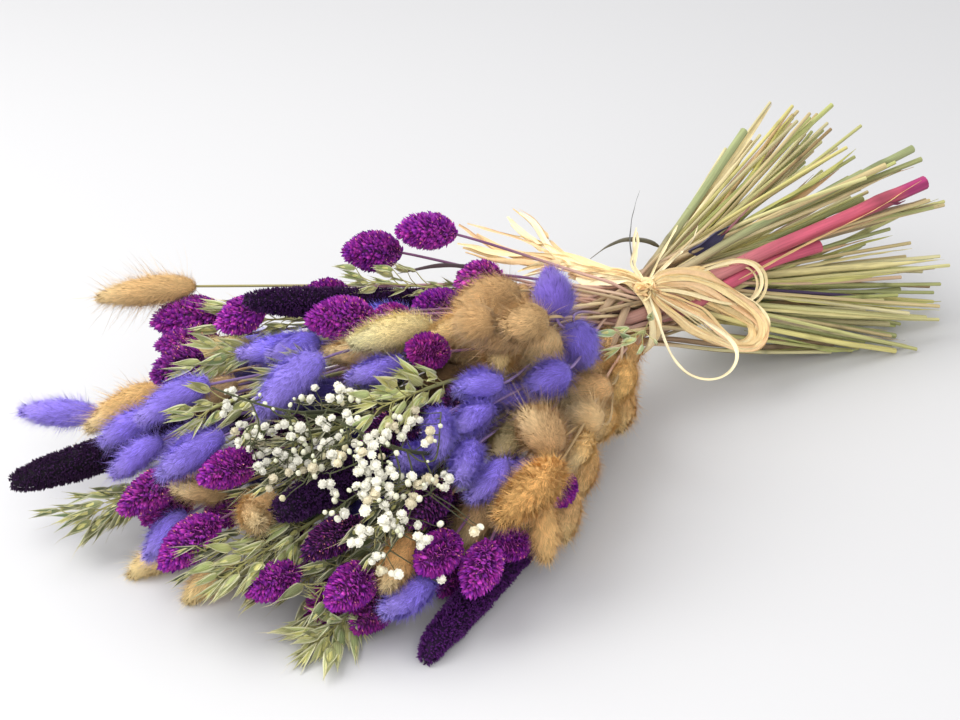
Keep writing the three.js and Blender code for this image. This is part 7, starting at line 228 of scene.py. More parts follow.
    ("violet_bunny_tail_more_25", None, "V", 5.4, [(216.3,-106.9,22.6),(168,-87.1,35.9),(119.7,-66.7,48.4),(74.2,-46.8,59.2),(54.3,-39.2,64),(44.5,-39.4,66.1),(27.4,-42.5,69.3),(3.2,-49.8,73.5),(-24.8,-59.8,78.4),(-53.6,-71,83.6),(-80.1,-81.6,88.7),(-101.3,-90.1,93.4),(-114,-94.9,97.4),(-117.5,-93.4,97.7),(-120.9,-91.9,98.1),(-124.4,-90.4,98.4),(-127.9,-88.9,98.8),(-131.4,-87.4,99.1),(-134.8,-85.9,99.5)], {"col": (146,126,232), "tip": (156,138,240), "fur": 4.2, "tilt": 32, "bristles": 180, "bristle": 8, "tuft": 4.2, "meet": 0.22, "lean": 0.12, "dens": 2.3, "fuzz": 1.3, "fat": 1.12}),
    ("natural_bunny_tail_more_34", None, "T", 7.4, [(260.5,-69,2.2),(197.5,-59.9,19.9),(134.5,-50.4,37.5),(75.2,-41.1,54.2),(54.3,-39,59.8),(44.9,-42.2,60.9),(33.1,-48.6,61.1),(17.4,-60.2,59.9),(-0.3,-74.8,58),(-18.6,-90.1,56.2),(-35.7,-103.9,55.4),(-50,-114.1,56.3),(-59.8,-118.3,59.6),(-61.3,-115.8,60.5),(-62.7,-113.3,61.3),(-64.1,-110.8,62.2),(-65.6,-108.3,63),(-67,-105.7,63.8),(-68.5,-103.2,64.7)], {"col": (240,206,152), "tip": (246,220,168), "bristles": 360, "bristle": 15, "dens": 2.3, "fuzz": 1.3, "fat": 1.12, "stand": 55}),
    ("violet_bunny_tail_more_26", None, "V", 8.6, [(259.4,-78.6,54.1),(197,-65.6,53.9),(134.6,-53.8,53.5),(75.9,-43.9,52.8),(54.3,-41.3,52.9),(44.8,-43,55.4),(32.6,-46.3,59.4),(15.9,-52.2,65.9),(-3.1,-59.5,74.4),(-22.4,-67.4,83.9),(-39.8,-75,93.8),(-53.3,-81.1,103.2),(-60.8,-84.8,111.4),(-58.7,-82.4,113.9),(-56.6,-79.9,116.3),(-54.5,-77.4,118.8),(-52.4,-74.9,121.2),(-50.3,-72.4,123.7),(-48.2,-70,126.2)], {"col": (128,104,200), "tip": (140,114,210), "fur": 4.2, "tilt": 32, "bristles": 180, "bristle": 8, "tuft": 4.2, "meet": 0.22, "lean": 0.12, "dens": 2.3, "fuzz": 1.3, "fat": 1.12}),
]
# the spray that carries the twig, and the twig's route
TWIGS = [
    ("gypsophila_01", [(-185.4,-96.9,89.2),(-189.7,-105,80.9),(-194.2,-109.9,74.2),(-200.2,-113.6,68.5),(-207,-115.9,63.7),(-214.1,-117.2,59.5),(-221,-117.8,55.4)]),
    ("gypsophila_01", [(-185.4,-96.9,89.2),(-182.5,-103.8,84.7),(-176.8,-106.9,84.1),(-172.2,-105.2,88.1),(-168.6,-102.6,92.8),(-164.4,-99.1,96.2),(-160.1,-95.7,99.5)]),
    ("gypsophila_01", [(-193.5,-94.6,94.6),(-195.1,-100.5,88.3),(-197.2,-103.8,83.6),(-201.1,-105.8,79.9),(-206,-106.2,77.5),(-211,-105.4,75.8),(-215.7,-104.1,74)]),
    ("gypsophila_01", [(-201.2,-91.6,100.3),(-201.9,-96.2,93.4),(-204.1,-98.3,87.7),(-208.6,-98.6,83.6),(-213.8,-97.4,81),(-218.8,-95.5,78.6),(-223.4,-93.2,76)]),
    ("gypsophila_01", [(-208.5,-88.1,106.3),(-207.5,-90.7,100.1),(-208.1,-91.2,94.7),(-211.2,-89.6,91),(-214.9,-86.8,89),(-218.1,-83.6,87),(-220.9,-80.2,84.9)]),
    ("gypsophila_01", [(-201.2,-91.6,100.3),(-198.7,-95,96.9),(-196,-96.6,95),(-193.2,-97.5,93.7),(-190.4,-97.6,93.3),(-188,-96.8,93.7),(-186,-95.5,94.3)]),
    ("gypsophila_01", [(-215.6,-84.2,112.5),(-213.1,-84.9,107),(-211.8,-83.8,102.2),(-212.2,-81,98.5),(-213.6,-77.3,96.3),(-214.8,-73.4,94.5),(-215.6,-69.5,92.8)]),
    ("gypsophila_01", [(-176.7,-98.2,84.3),(-178.7,-104.4,80.4),(-180.4,-108.6,77.3),(-183.1,-112,75.1),(-186.8,-114.5,74.1),(-190.9,-115.7,74.3),(-195,-115.7,75.3)]),
    ("gypsophila_02", [(-205.6,-46.4,99.3),(-209.4,-53.8,92.3),(-212.5,-58.6,88.2),(-216.3,-62.8,85.1),(-220.5,-66.2,82.7),(-225.1,-68.8,81),(-229.7,-70.7,79.6)]),
    ("gypsophila_02", [(-215,-44.2,103.3),(-217.4,-49.6,97.1),(-219.4,-52.9,93.2),(-222.3,-55.4,90.2),(-225.9,-56.8,87.9),(-229.9,-57,86.3),(-233.6,-56.4,84.9)]),
    ("gypsophila_02", [(-215,-44.2,103.3),(-213.4,-50.1,98.8),(-210.3,-53.9,97.4),(-206.6,-56.4,98.2),(-202.9,-57,100.7),(-199.5,-56.4,103.2),(-195.9,-55.4,105.5)]),
    ("gypsophila_02", [(-223.9,-41.2,108),(-221.6,-44.9,104.1),(-218.5,-46.7,102.3),(-215,-47.5,101.7),(-211.8,-46.9,102.4),(-209,-45.4,103.5),(-206.4,-43.7,104.2)]),
    ("gypsophila_02", [(-232.5,-37.8,113.3),(-231.8,-40.2,107.8),(-231.4,-41.4,103.5),(-231.6,-41.8,99.6),(-232.5,-41.3,96),(-233.6,-40.2,93),(-234.5,-38.6,90.3)]),
    ("gypsophila_02", [(-240.8,-34,118.9),(-235.8,-34.6,114.7),(-231.1,-34.1,111.7),(-226.7,-33,109.2),(-222.7,-31.2,107.3),(-219,-29.1,105.9),(-215.6,-26.7,104.7)]),
]
# raffia strands past the knot: width, whether it is a tail, route
STRANDS = [
    (1.69, False, [(50.6,-59.8,81.5),(58.6,-61.2,82.1),(68.8,-62.6,81.6),(79,-63.8,81.6),(89.1,-65.2,82.1),(98.8,-67.3,82.3),(108.2,-70.1,82.2),(117.1,-73.4,81.4),(125,-77.1,79.1),(131.2,-80.7,74.9),(134.4,-83.8,68.7),(134,-85.4,61.8),(130.2,-85.5,55.7),(123.4,-83.6,52.1),(115.2,-80.2,52.4),(106.6,-76.7,55.5),(97.7,-73.4,60.1),(88.4,-70.5,65),(78.9,-68,69.6),(69,-65.7,73.8),(58.8,-63.6,77.5),(50.6,-60.2,80.8)]),
    (2.23, False, [(50.5,-59.8,81.5),(58.3,-61.2,82.2),(68.2,-62.8,81.2),(78.1,-64.4,80.7),(87.8,-66.3,80.4),(97.2,-68.3,80.7),(106.3,-70.7,81),(114.8,-73.6,80.7),(122.5,-77,79),(128.1,-80.5,75.1),(130.6,-83.3,69.3),(129.7,-84.7,63.3),(125.6,-84.6,58.6),(119.1,-83.2,56.3),(111.2,-81.1,56.4),(102.6,-78.2,59),(94,-75,62.9),(85.3,-71.9,67.2),(76.8,-68.9,71.6),(67.9,-66.1,75.4),(58.4,-63.7,78.6),(50.6,-60.2,81)]),
    (2.5, False, [(50.6,-59.8,81.4),(58.6,-61,81.1),(68.9,-61.9,79.9),(79.1,-62.9,79.5),(89,-64,79.5),(98.3,-66,79.3),(107.2,-68.5,78.9),(115.3,-71.5,78),(122.3,-74.6,76),(127.5,-77.6,72.8),(130.3,-80.3,68),(129.7,-82.2,62.4),(125.8,-82.7,57.4),(119.2,-81.5,54.7),(111.3,-78.9,55.4),(103.1,-76,58.5),(94.9,-73,62.9),(86.5,-70.1,67.5),(77.7,-67.4,71.7),(68.3,-65.1,75.2),(58.5,-63.2,78.2),(50.6,-60.1,81)]),
    (3.14, False, [(50.7,-59.5,82.1),(59.2,-59.3,85.8),(69.7,-60.9,85.3),(79.7,-63.8,82.7),(88.7,-67.3,78.4),(96.6,-70.8,72.8),(103.7,-74.5,66.9),(109.9,-78.4,60.9),(114.9,-83,55.1),(117.8,-87.9,49.5),(117.1,-92.3,43.7),(112.5,-94.4,38.9),(105.4,-93.9,36.7),(97.8,-91.6,37.2),(89.9,-88.1,39.6),(82.3,-83.9,43.5),(74.9,-79.5,47.9),(68,-75.5,52.8),(62.9,-72.1,59.5),(57.6,-68.7,65.9),(52.4,-65.3,72.5),(49.7,-60.4,80.1)]),
    (2.85, False, [(50.7,-59.5,82),(59.6,-59.4,84.9),(70.8,-60.6,84.5),(81.5,-63.1,82.6),(91.6,-66.5,79.3),(100.2,-70.5,73.9),(107.4,-74.5,67.9),(113.6,-78.8,61.9),(118.4,-83.8,55.8),(120.9,-89.2,49.5),(119.6,-93.8,43),(114.4,-95.7,37.6),(106.9,-94.9,35.3),(99,-92.4,35.8),(91.1,-88.7,38.5),(83.9,-84.4,43.1),(77.3,-80.2,48.6),(71.1,-76.3,54.6),(65,-72.6,60.6),(58.9,-69,66.6),(53,-65.4,72.8),(49.8,-60.4,80.1)]),
    (3.01, False, [(50.7,-59.6,82),(59.5,-60.1,85.4),(70.4,-62.2,85),(80.8,-65.4,82.7),(90.4,-69.4,78.8),(98.6,-73.8,73.5),(105.8,-78.2,67.5),(111.9,-83.1,61.5),(116.8,-88.6,55.7),(119.2,-94.3,49.5),(118.1,-98.8,43.3),(113.4,-100.8,38.1),(106.4,-100,35.4),(99,-97.1,35.8),(91.6,-93,38.6),(84.5,-88.2,43.1),(77.6,-83.3,48.3),(70.9,-78.7,53.8),(64.8,-74.4,59.8),(58.7,-70.2,65.9),(52.8,-66.1,72.3),(49.7,-60.5,80.1)]),
    (3.58, False, [(50.6,-59.7,81.7),(58.6,-60.4,83),(69.1,-61.2,83.1),(79.9,-62.9,82.8),(90.9,-65.9,81.5),(98.5,-69.8,75),(104.4,-73.1,67.3),(109.7,-76.6,60),(114,-80.5,53.4),(117.3,-85,48.2),(117.4,-89.4,43.2),(113,-92,38.7),(105.7,-91.9,36.6),(97.6,-90,37.3),(89.3,-86.8,39.8),(81.7,-82.8,44),(74.5,-78.8,48.7),(68.1,-75.1,54),(63.1,-71.8,60.6),(57.9,-68.5,66.9),(52.7,-65.2,73.3),(49.7,-60.4,80.2)]),
    (3.86, False, [(50.6,-59.7,81.8),(58.9,-60.3,83.9),(69.3,-62,83),(79.4,-64.4,81),(88.9,-67.5,77.5),(97.6,-71,72.8),(105.4,-74.8,67.3),(112.2,-78.9,61.6),(117.5,-83.8,55.9),(120,-89,49.5),(118.5,-93.1,43.1),(113.5,-94.9,38.2),(106.5,-94.3,36.2),(99,-92,36.9),(91.5,-88.6,39.8),(84.4,-84.4,44.2),(77.3,-80.2,49.1),(70.6,-76.1,54.3),(65.1,-72.6,60.9),(59.4,-69,67.3),(53.6,-65.5,73.5),(49.8,-60.4,80.2)]),
    (2.98, False, [(50.7,-59.5,82.1),(59.6,-59.3,86.2),(70.6,-60.9,86.2),(81.1,-64,84.2),(90.7,-68,80.5),(98.3,-72.4,74.5),(104.7,-76.6,68),(110.1,-81.1,61.5),(114.4,-86.1,55.5),(116.6,-91.3,49.7),(115.5,-95.6,44.2),(111,-97.6,39.8),(104.4,-97.3,37.6),(97.1,-95.1,38.2),(89.8,-91.4,41),(82.6,-87,45.1),(75.2,-82.3,49.3),(67.9,-77.7,53.6),(62.7,-73.7,59.9),(57.3,-69.8,66.1),(52.2,-65.9,72.5),(49.6,-60.5,80.1)]),
    (2.93, False, [(50.7,-59.7,81.9),(59.2,-60.9,84.4),(69.8,-63.4,83.1),(79.8,-66.6,80.3),(88.8,-70.2,75.9),(97.8,-74.1,71.5),(106.1,-78.6,66.7),(113.2,-83.7,61.5),(118.8,-89.5,56.1),(121,-95.4,49.5),(119.3,-99.8,42.7),(114.3,-101.5,37.4),(107.4,-100.5,34.9),(100.1,-97.7,35.4),(93.1,-93.5,38.6),(86.6,-88.7,43.6),(80.4,-83.8,49.3),(74.2,-79.1,55.2),(68.3,-74.6,61.7),(61.9,-70.3,68),(55.1,-66.2,74.1),(50.1,-60.5,80.3)]),
    (2.47, False, [(50.7,-59.7,81.9),(59.2,-60.6,84.6),(69.7,-62.8,83.9),(79.8,-66,81.6),(89.1,-69.7,77.7),(97.7,-73.8,73),(105.3,-78.3,67.6),(111.9,-83.1,62),(117,-88.7,56.4),(119.3,-94.4,49.9),(117.8,-98.7,43.4),(112.9,-100.4,38.4),(106.1,-99.6,35.9),(98.8,-96.9,36.4),(91.6,-92.9,39.4),(84.7,-88.2,43.9),(77.8,-83.4,49),(71,-78.8,54.3),(65.3,-74.5,60.7),(59.4,-70.4,67),(53.5,-66.2,73.2),(49.8,-60.6,80.2)]),
    (2.58, False, [(50.6,-59.9,81.5),(58.5,-61.7,81.6),(68.3,-63.9,79.1),(77.6,-66.1,75.9),(86.2,-68.5,71.4),(94.4,-71.1,66.3),(102.2,-74.4,60.7),(109.3,-78.4,55.3),(114.8,-83.1,50.4),(118,-88.2,46.1),(117.7,-92.7,42),(113.6,-95.5,38.2),(106.9,-95.8,36),(99.6,-93.6,36.7),(92.9,-89.9,40.2),(87,-85.6,45.4),(81.8,-81.2,51.5),(76.5,-77,57.8),(70.3,-72.9,63.7),(63.5,-69,69.5),(56,-65.4,75),(50.2,-60.4,80.5)]),
    (3.2, False, [(50.6,-59.8,81.7),(58.6,-61.3,83.3),(68.8,-63.5,82.1),(78.6,-66.3,79.9),(87.7,-69.6,76.3),(95.9,-73.3,71.2),(103.1,-77.3,65.4),(109.5,-81.9,59.6),(114.5,-87,54.2),(117.3,-92.3,48.7),(116.7,-96.6,43.3),(112.5,-98.7,38.7),(106,-98.3,36.3),(98.7,-95.8,36.7),(91.6,-91.9,39.8),(84.7,-87.4,44.4),(78,-82.8,49.6),(71.4,-78.3,55),(65.3,-74.1,61),(59.2,-70,66.9),(53.2,-66,73),(49.8,-60.5,80.2)]),
    (3.56, False, [(50.7,-59.8,81.5),(59.3,-61.5,82.1),(69.8,-64.2,79.2),(79.4,-67,75.3),(87.6,-69.8,69.8),(96,-72.9,64.9),(104,-76.8,59.6),(111.3,-81.6,54.4),(117.1,-86.9,49.6),(120.3,-92.3,45),(120.2,-96.8,40.4),(116.5,-99.3,36.2),(110.3,-99.2,33.5),(103.3,-96.4,34),(97.1,-92.2,37.9),(91.7,-87.4,43.7),(86.7,-82.8,50.6),(81.4,-78.3,57.7),(74.4,-73.8,63.9),(66.6,-69.6,70),(57.9,-65.7,75.5),(50.5,-60.5,80.5)]),
    (2.55, False, [(50.5,-59.9,81.2),(58.2,-62,80.2),(67.9,-64,77.3),(76.9,-65.9,74.5),(85.2,-68,70.8),(93.2,-70.7,66.4),(100.9,-74,61.3),(107.9,-77.9,56.1),(113.6,-82.3,51.3),(117,-87,46.8),(116.9,-91.1,42.4),(113.2,-93.6,38.6),(106.9,-93.7,36.5),(99.8,-91.6,37.2),(93.4,-88.1,40.9),(87.9,-84.1,46.3),(83.1,-80,52.7),(78,-76.1,59.2),(71.4,-72.1,64.6),(64.2,-68.5,70.1),(56.3,-65.1,75.3),(50.3,-60.4,80.5)]),
    (3.92, False, [(50.5,-60,81.2),(57.7,-62.3,79.7),(66.9,-64.4,76.3),(75.4,-66.1,73),(83.2,-67.8,68.7),(91,-69.8,64.1),(98.7,-72.5,58.9),(105.8,-76,53.8),(111.6,-80,49.4),(115.2,-84.4,45.8),(115.4,-88.5,42.6),(112,-91.5,39.5),(105.7,-92.2,37.7),(98.7,-90.5,38.6),(92.7,-87.2,42.6),(87.7,-83.4,48.1),(83.4,-79.6,54.6),(78.6,-75.8,61),(71.2,-71.7,65.3),(63.5,-68.1,69.9),(55.6,-64.9,74.7),(50.1,-60.3,80.4)]),
    (3.57, False, [(50.6,-59.9,81.4),(58.6,-62,81.1),(68.7,-64.3,78.9),(78.3,-66.7,76.4),(87.2,-69.4,72.9),(95,-72.8,67.6),(102.2,-76.5,61.5),(108.7,-80.9,55.7),(113.9,-85.8,50.5),(117.1,-90.8,46.1),(117,-95.2,42.1),(113.3,-98,38.3),(107,-98.2,36),(99.9,-95.8,36.6),(93.5,-91.9,40.3),(87.9,-87.4,45.6),(82.7,-82.7,51.7),(77.3,-78.2,57.9),(70.9,-73.7,63.7),(64,-69.6,69.5),(56.3,-65.7,74.9),(50.2,-60.5,80.5)]),
    (3.94, False, [(50.6,-59.8,81.4),(58.6,-61.5,81),(68.3,-63.8,77.2),(76.9,-66,72.5),(84.1,-67.9,66.4),(92.3,-69.8,62.1),(100.5,-72.9,57.7),(108,-77,53.4),(113.8,-81.7,49.4),(116.9,-86.7,45.7),(116.5,-91,42.1),(112.8,-93.8,38.9),(106.7,-94.3,36.8),(100,-92.1,37.5),(94.3,-88.4,41.3),(89.4,-84.2,46.7),(85,-80,53.2),(80.1,-76,59.8),(73.4,-72.1,65.4),(65.9,-68.4,71),(57.4,-65.1,76.1),(50.4,-60.4,80.6)]),
    (2.43, False, [(50.5,-60,81.2),(58.3,-62.3,80.2),(67.7,-64.9,76.4),(76.3,-67.1,72.3),(83.6,-69.1,67),(91,-71.3,62),(98.2,-74.5,56.7),(104.9,-78.7,51.7),(110.3,-83.3,47.7),(113.6,-88,44.8),(114.2,-92.2,42.4),(111.5,-95.3,39.7),(106,-96.1,37.5),(99.7,-93.9,38.1),(94.6,-90.1,42.3),(90.5,-85.8,48),(86.7,-81.5,54.8),(82.2,-77.3,61.7),(75,-73,66.8),(67,-69,72.1),(58.1,-65.4,76.7),(50.5,-60.4,80.7)]),
    (1.94, False, [(50.7,-59.9,81.1),(59.3,-61.8,79),(69.2,-63.6,75.9),(79,-65.9,72.5),(88.5,-68.4,68.5),(97.3,-71.3,63.3),(105.1,-74.2,57),(111.9,-77.2,50.6),(117.9,-80.5,45.3),(123,-83.7,42.3),(126.6,-85.9,42.5),(127.5,-86.3,45.3),(125.2,-84.5,49.8),(120,-81.3,54.9),(113.2,-77.9,59.8),(105.6,-74.6,64.6),(97.6,-71.5,69),(89.3,-68.6,73),(80.4,-66.1,76.1),(71,-64,78.7),(61.1,-62.3,81),(51,-60,81.4)]),
    (2.53, False, [(50.5,-59.8,81.1),(58.2,-61.3,79.3),(67.2,-62.8,76.8),(76,-64.6,74),(84.7,-66.8,70.7),(92.1,-69.2,65.4),(98.4,-71.4,58.7),(104,-73.6,51.9),(109.5,-76.3,46.1),(115.3,-79.4,43.5),(119.8,-81.5,44.7),(121,-81.5,48.4),(118.3,-80,53.1),(112.9,-77.6,58),(106.2,-75,62.8),(99,-72.4,67.2),(91.8,-69.8,71),(84.4,-67.3,74.2),(76.6,-65.1,76.7),(68.3,-63.4,78.8),(59.6,-62,80.8),(50.7,-59.9,81.3)]),
    (2.83, False, [(50.6,-59.9,81),(58.6,-61.8,78.6),(67.9,-63.7,75),(76.8,-65.8,70.8),(85.3,-68,65.9),(93.6,-70.2,60.7),(101.6,-72.6,55.1),(108.9,-75.3,49.3),(115.5,-78.5,44.5),(121.2,-81.7,41.9),(125.2,-84,42.6),(126.1,-84.4,46),(123.5,-82.8,50.9),(118,-80,56.3),(111.1,-77,61.7),(103.7,-74,66.8),(96,-71,71.5),(87.9,-68.2,75.1),(79.1,-65.7,77.4),(70,-63.7,79.5),(60.5,-62.2,81.3),(50.9,-59.9,81.4)]),
    (2.62, False, [(50.6,-59.9,81),(58.4,-61.6,78.5),(67.3,-63.4,74.6),(75.7,-65.4,70.1),(83.6,-67.4,64.9),(91.6,-69.3,59.7),(99.4,-71.4,54.5),(106.8,-74,49.1),(113.6,-77,44.4),(119.5,-80.1,41.9),(124,-82.5,42.6),(125.3,-82.8,46.5),(122.9,-81.1,51.8),(117.4,-78.4,57.3),(110.4,-75.6,62.6),(102.9,-72.8,67.5),(95.1,-70.1,71.9),(86.9,-67.5,75.2),(78.3,-65.3,77.7),(69.4,-63.4,79.7),(60.2,-62,81.5),(50.8,-59.9,81.5)]),
    (2.34, False, [(48.6,-60.8,80.1),(45.4,-67.6,72.6),(42.5,-73.4,68.2),(39.4,-79,63.7),(36.3,-84.6,59.4),(33.7,-90.4,55.3),(32.2,-96.5,51.6),(32.1,-102.7,48.6),(34,-108.7,46.6),(37.7,-113.8,45.6),(43.2,-117.5,45.6),(49.9,-119.3,46.8),(57,-118.8,49.1),(63.2,-116.1,52.1),(67.3,-111.4,55.1),(69,-105.4,58),(68.7,-98.9,60.7),(67.1,-92.5,63.5),(64.8,-86.4,66.3),(61.6,-80.6,69.2),(57.9,-75,72),(50.5,-61.9,80)]),
    (3.43, True, [(48.3,-56.7,83.9),(46.4,-52,85.1),(44.5,-47.4,85.9),(42.3,-42.9,86),(39.9,-38.2,85.7),(37.5,-33.3,85.5),(35.2,-28.3,85.4),(33.1,-23.1,85.5),(31.1,-17.9,85.7),(29.3,-12.6,85.9),(27.7,-7.2,85.8),(26,-1.8,85.6),(24.4,3.8,85.4),(22.8,9.4,85.4),(21.4,15.3,85.8),(20.1,21.1,86.5),(19,26.8,87.7),(18.2,32.5,89.4),(17.4,37.9,91.2),(16.6,43.2,93)]),
    (3.17, True, [(48.6,-56.6,84.5),(46.9,-52,86.5),(44.8,-47.3,88),(42.3,-42.6,88.8),(39.7,-37.8,89),(37,-33.1,88.4),(34.4,-28.2,87.6),(32,-23,87),(29.7,-17.6,86.4),(28.3,-12,86.8),(27.3,-6.2,87.8),(26.1,-0.3,88.6),(24.8,5.5,89.1),(23.2,11.3,89.1),(21.2,16.9,88.6),(19.4,22.6,88.5),(17.9,28.3,89.1),(16.8,34,90.5),(16.3,39.5,92.7),(15.7,44.9,94.9)]),
    (4.14, True, [(48.2,-56.4,84.1),(46.2,-51.4,85.6),(44,-46.5,86.6),(41.6,-41.5,87),(39.3,-36.2,86.9),(37.1,-30.6,86.8),(35.3,-24.8,86.9),(33.7,-18.8,87.2),(32.3,-12.8,87.7),(30.7,-6.7,88),(29,-0.8,88.2),(27.1,5.2,88.2),(25.1,11.1,88.1),(23.1,17.1,88.1),(21.3,23.1,88.3),(19.6,29,88.8),(18.1,34.9,89.9),(17,40.7,91.6),(16.1,46.4,93.8),(15.1,52,96.2),(13.6,57.6,98.2)]),
    (3.42, True, [(48.5,-56.6,84.2),(46.5,-52,86.1),(44.4,-47.4,87.5),(42.1,-42.7,88.2),(39.8,-37.7,88.6),(37.6,-32.6,88.5),(35.7,-27.3,88.4),(34,-21.9,88.6),(32.4,-16.3,88.8),(30.9,-10.7,89.2),(29.2,-5.1,89.6),(27.3,0.4,89.9),(25.3,5.9,90),(23.3,11.3,89.9),(21.3,16.7,89.7),(19.4,22.2,89.9),(17.9,27.7,90.6),(16.8,33.3,91.9),(16,38.8,93.9),(15.1,44.2,95.8)]),
    (3.44, True, [(48.2,-56.6,83.9),(46.1,-51.7,85.3),(43.8,-47,85.9),(41.1,-42.4,85.8),(38.2,-37.7,85.1),(35.4,-32.7,84.8),(33,-27.4,85.1),(30.9,-21.9,85.6),(29.1,-16.4,86.1),(27.3,-10.9,86.5),(25.4,-5.4,86.8),(23.4,0.2,86.9),(21.2,5.7,86.9),(18.7,11,86.7),(15.8,16.1,86),(12.9,21.3,85.7),(10.1,26.6,85.6),(7.5,31.9,85.9),(5.5,37.3,87),(3.3,42.5,87.9)]),
    (3.01, True, [(48.5,-56.7,84.2),(46.8,-51.9,85.6),(44.6,-47.1,86.1),(42.1,-42.5,85.7),(39.3,-37.9,84.7),(37,-32.8,84.5),(35.2,-27.3,85.2),(33.6,-21.9,86.1),(32.1,-16.4,87.1),(30.2,-11.1,87.3),(28,-5.8,86.8),(25.7,-0.7,86.3),(23.2,4.4,85.7),(20.7,9.6,85.4),(18.3,14.8,85.4),(15.9,20,85.6),(13.7,25.2,86.1),(11.6,30.5,86.7),(9.7,35.9,87.8),(7.7,41.2,88.6),(5.5,46.5,89.1)]),
    (3.63, True, [(48.8,-56.6,84.7),(47,-51.8,86.7),(44.8,-46.9,88.1),(42.3,-42,88.5),(39.7,-37,88.2),(37.7,-31.6,88.5),(36.2,-25.9,89.1),(35,-20.1,89.8),(33.7,-14.2,90.5),(32,-8.3,90.9),(29.9,-2.6,90.8),(27.6,3,90.4),(25,8.3,90),(22.3,13.5,89.4),(19.5,18.5,88.9),(16.6,23.4,88.6),(13.8,28.4,88.7),(11.2,33.5,89.3),(8.7,38.6,90.3),(6.1,43.8,91.2),(3.3,49,91.7)]),
    (1.9, True, [(48.4,-56.5,84.3),(46.5,-51.4,85.9),(44.4,-46.3,86.6),(41.9,-41.2,86.4),(39.2,-36,85.6),(37,-30.3,85.4),(35.2,-24.4,85.8),(33.7,-18.3,86.6),(32.8,-12.3,87.9),(31.9,-6.4,89.4),(31.1,-0.4,91),(30.2,5.5,92.7),(29.1,11.4,94.2),(27.7,17.2,95.4),(26,23,96.3),(24,28.8,97),(21.9,34.6,97.7),(19.7,40.4,98.4),(17.5,46.1,99.3),(15.1,51.7,100.1)]),
    (1.36, True, [(48.7,-56.7,84.5),(46.9,-51.8,86.3),(44.8,-47,87.4),(42.4,-42,87.6),(40,-37,87.2),(37.9,-31.7,86.9),(36.2,-26,86.8),(35,-20.2,87),(34.2,-14.3,87.7),(33.9,-8.3,89),(34,-2.5,90.9),(33.9,3.4,92.9),(33.3,9.3,94.6),(32,15.2,95.7),(30,20.9,96),(27.8,26.5,96.1),(25.6,32,96.3),(23.5,37.5,96.7),(21.6,43.1,97.5),(19.6,48.7,98.3),(17.5,54.3,99)]),
    (3.41, True, [(48.1,-56.6,83.7),(46.5,-52.4,84.9),(44.8,-48.2,85.7),(42.9,-44.1,85.8),(40.8,-39.8,85.6),(38.6,-35.4,85.1),(36.6,-30.7,84.9),(34.9,-25.8,85),(33.4,-20.8,85.3),(32.3,-15.6,86),(31.7,-10.3,87.2),(31.5,-5.1,88.6),(31.5,0.2,90.1),(31.3,5.4,91.5),(30.9,10.7,92.8),(30.7,16,94.2),(30.6,21.2,96),(30.7,26.2,98.1),(31,31.1,100.5)]),
    (3.48, True, [(48.5,-56.7,84.2),(46.7,-52.7,86),(44.7,-48.7,87.4),(42.5,-44.7,88.1),(40.1,-40.5,88.4),(38,-36.1,88.4),(36.2,-31.5,88.5),(34.8,-26.7,88.6),(33.7,-21.8,89),(33,-16.7,89.7),(32.8,-11.7,90.9),(32.7,-6.6,92.4),(32.5,-1.5,93.9),(31.9,3.7,95.1),(31,8.8,96),(30.3,13.9,97.1),(29.9,18.9,98.5),(29.8,23.8,100.5),(29.9,28.6,102.8),(30.3,33.2,105.4)]),
    (2.86, True, [(49,-56.6,85),(47.7,-52.3,87.2),(46,-47.8,88.8),(43.9,-43.2,89.7),(41.7,-38.6,89.8),(40,-33.8,90.4),(38.7,-28.9,90.8),(37.8,-23.9,91.2),(37.2,-18.8,91.7),(36.6,-13.8,91.7),(35.8,-8.6,91.7),(35,-3.2,92),(34.1,2.3,92.6),(33.4,7.8,93.5),(33.1,13.2,95),(32.8,18.4,96.5),(32.8,23.5,98.3),(33.1,28.3,100.5),(33.3,33,102.9)]),
    (2.97, True, [(48.6,-56.7,84.4),(47.2,-52.5,85.8),(45.4,-48.4,86.4),(43.2,-44.5,86),(40.9,-40.6,84.7),(39,-36.2,84.4),(37.5,-31.4,84.7),(36.4,-26.5,85.4),(35.5,-21.5,86.3),(34.5,-16.7,86.8),(33.5,-11.8,87.3),(33,-6.8,88.6),(33,-1.9,90.3),(33.4,2.9,92.4),(34.4,7.4,95),(35.5,11.8,97.6),(36.7,16,100.2),(37.4,20.4,102.5),(37.4,25.1,104.4),(37,29.9,106.1),(36.7,34.7,107.9)]),
    (3.75, True, [(48.4,-56.6,84.1),(46.7,-52.8,85.8),(44.8,-48.9,87),(42.7,-45,87.5),(40.5,-41.1,87.5),(38.2,-37,87.1),(36,-32.7,86.7),(34.1,-28.2,86.4),(32.3,-23.5,86.3),(31.1,-18.6,86.8),(30.4,-13.5,88),(30.5,-8.5,89.8),(31.1,-3.8,91.9),(31.9,0.9,94.2),(33,5.3,96.8),(34.2,9.6,99.5),(35.3,13.8,102.2),(36,18.2,104.7),(35.8,23,106.5),(35.3,27.8,108.1)]),
    (3.49, True, [(48.9,-56.6,84.7),(47.4,-52.6,86.7),(45.5,-48.4,88),(43.3,-44.3,88.5),(41,-40.2,88.2),(39.1,-35.7,88.3),(37.6,-31,88.6),(36.4,-26.2,89),(35.7,-21.2,89.5),(35.2,-16.5,89.9),(35,-11.8,90.6),(35.2,-7.1,91.8),(35.5,-2.1,93.5),(36.1,2.7,95.5),(37,7.3,97.9),(38.1,11.7,100.4),(39,16.2,103),(39.5,21.1,105.6),(38.8,26.3,107.3),(38,31.3,108.7)]),
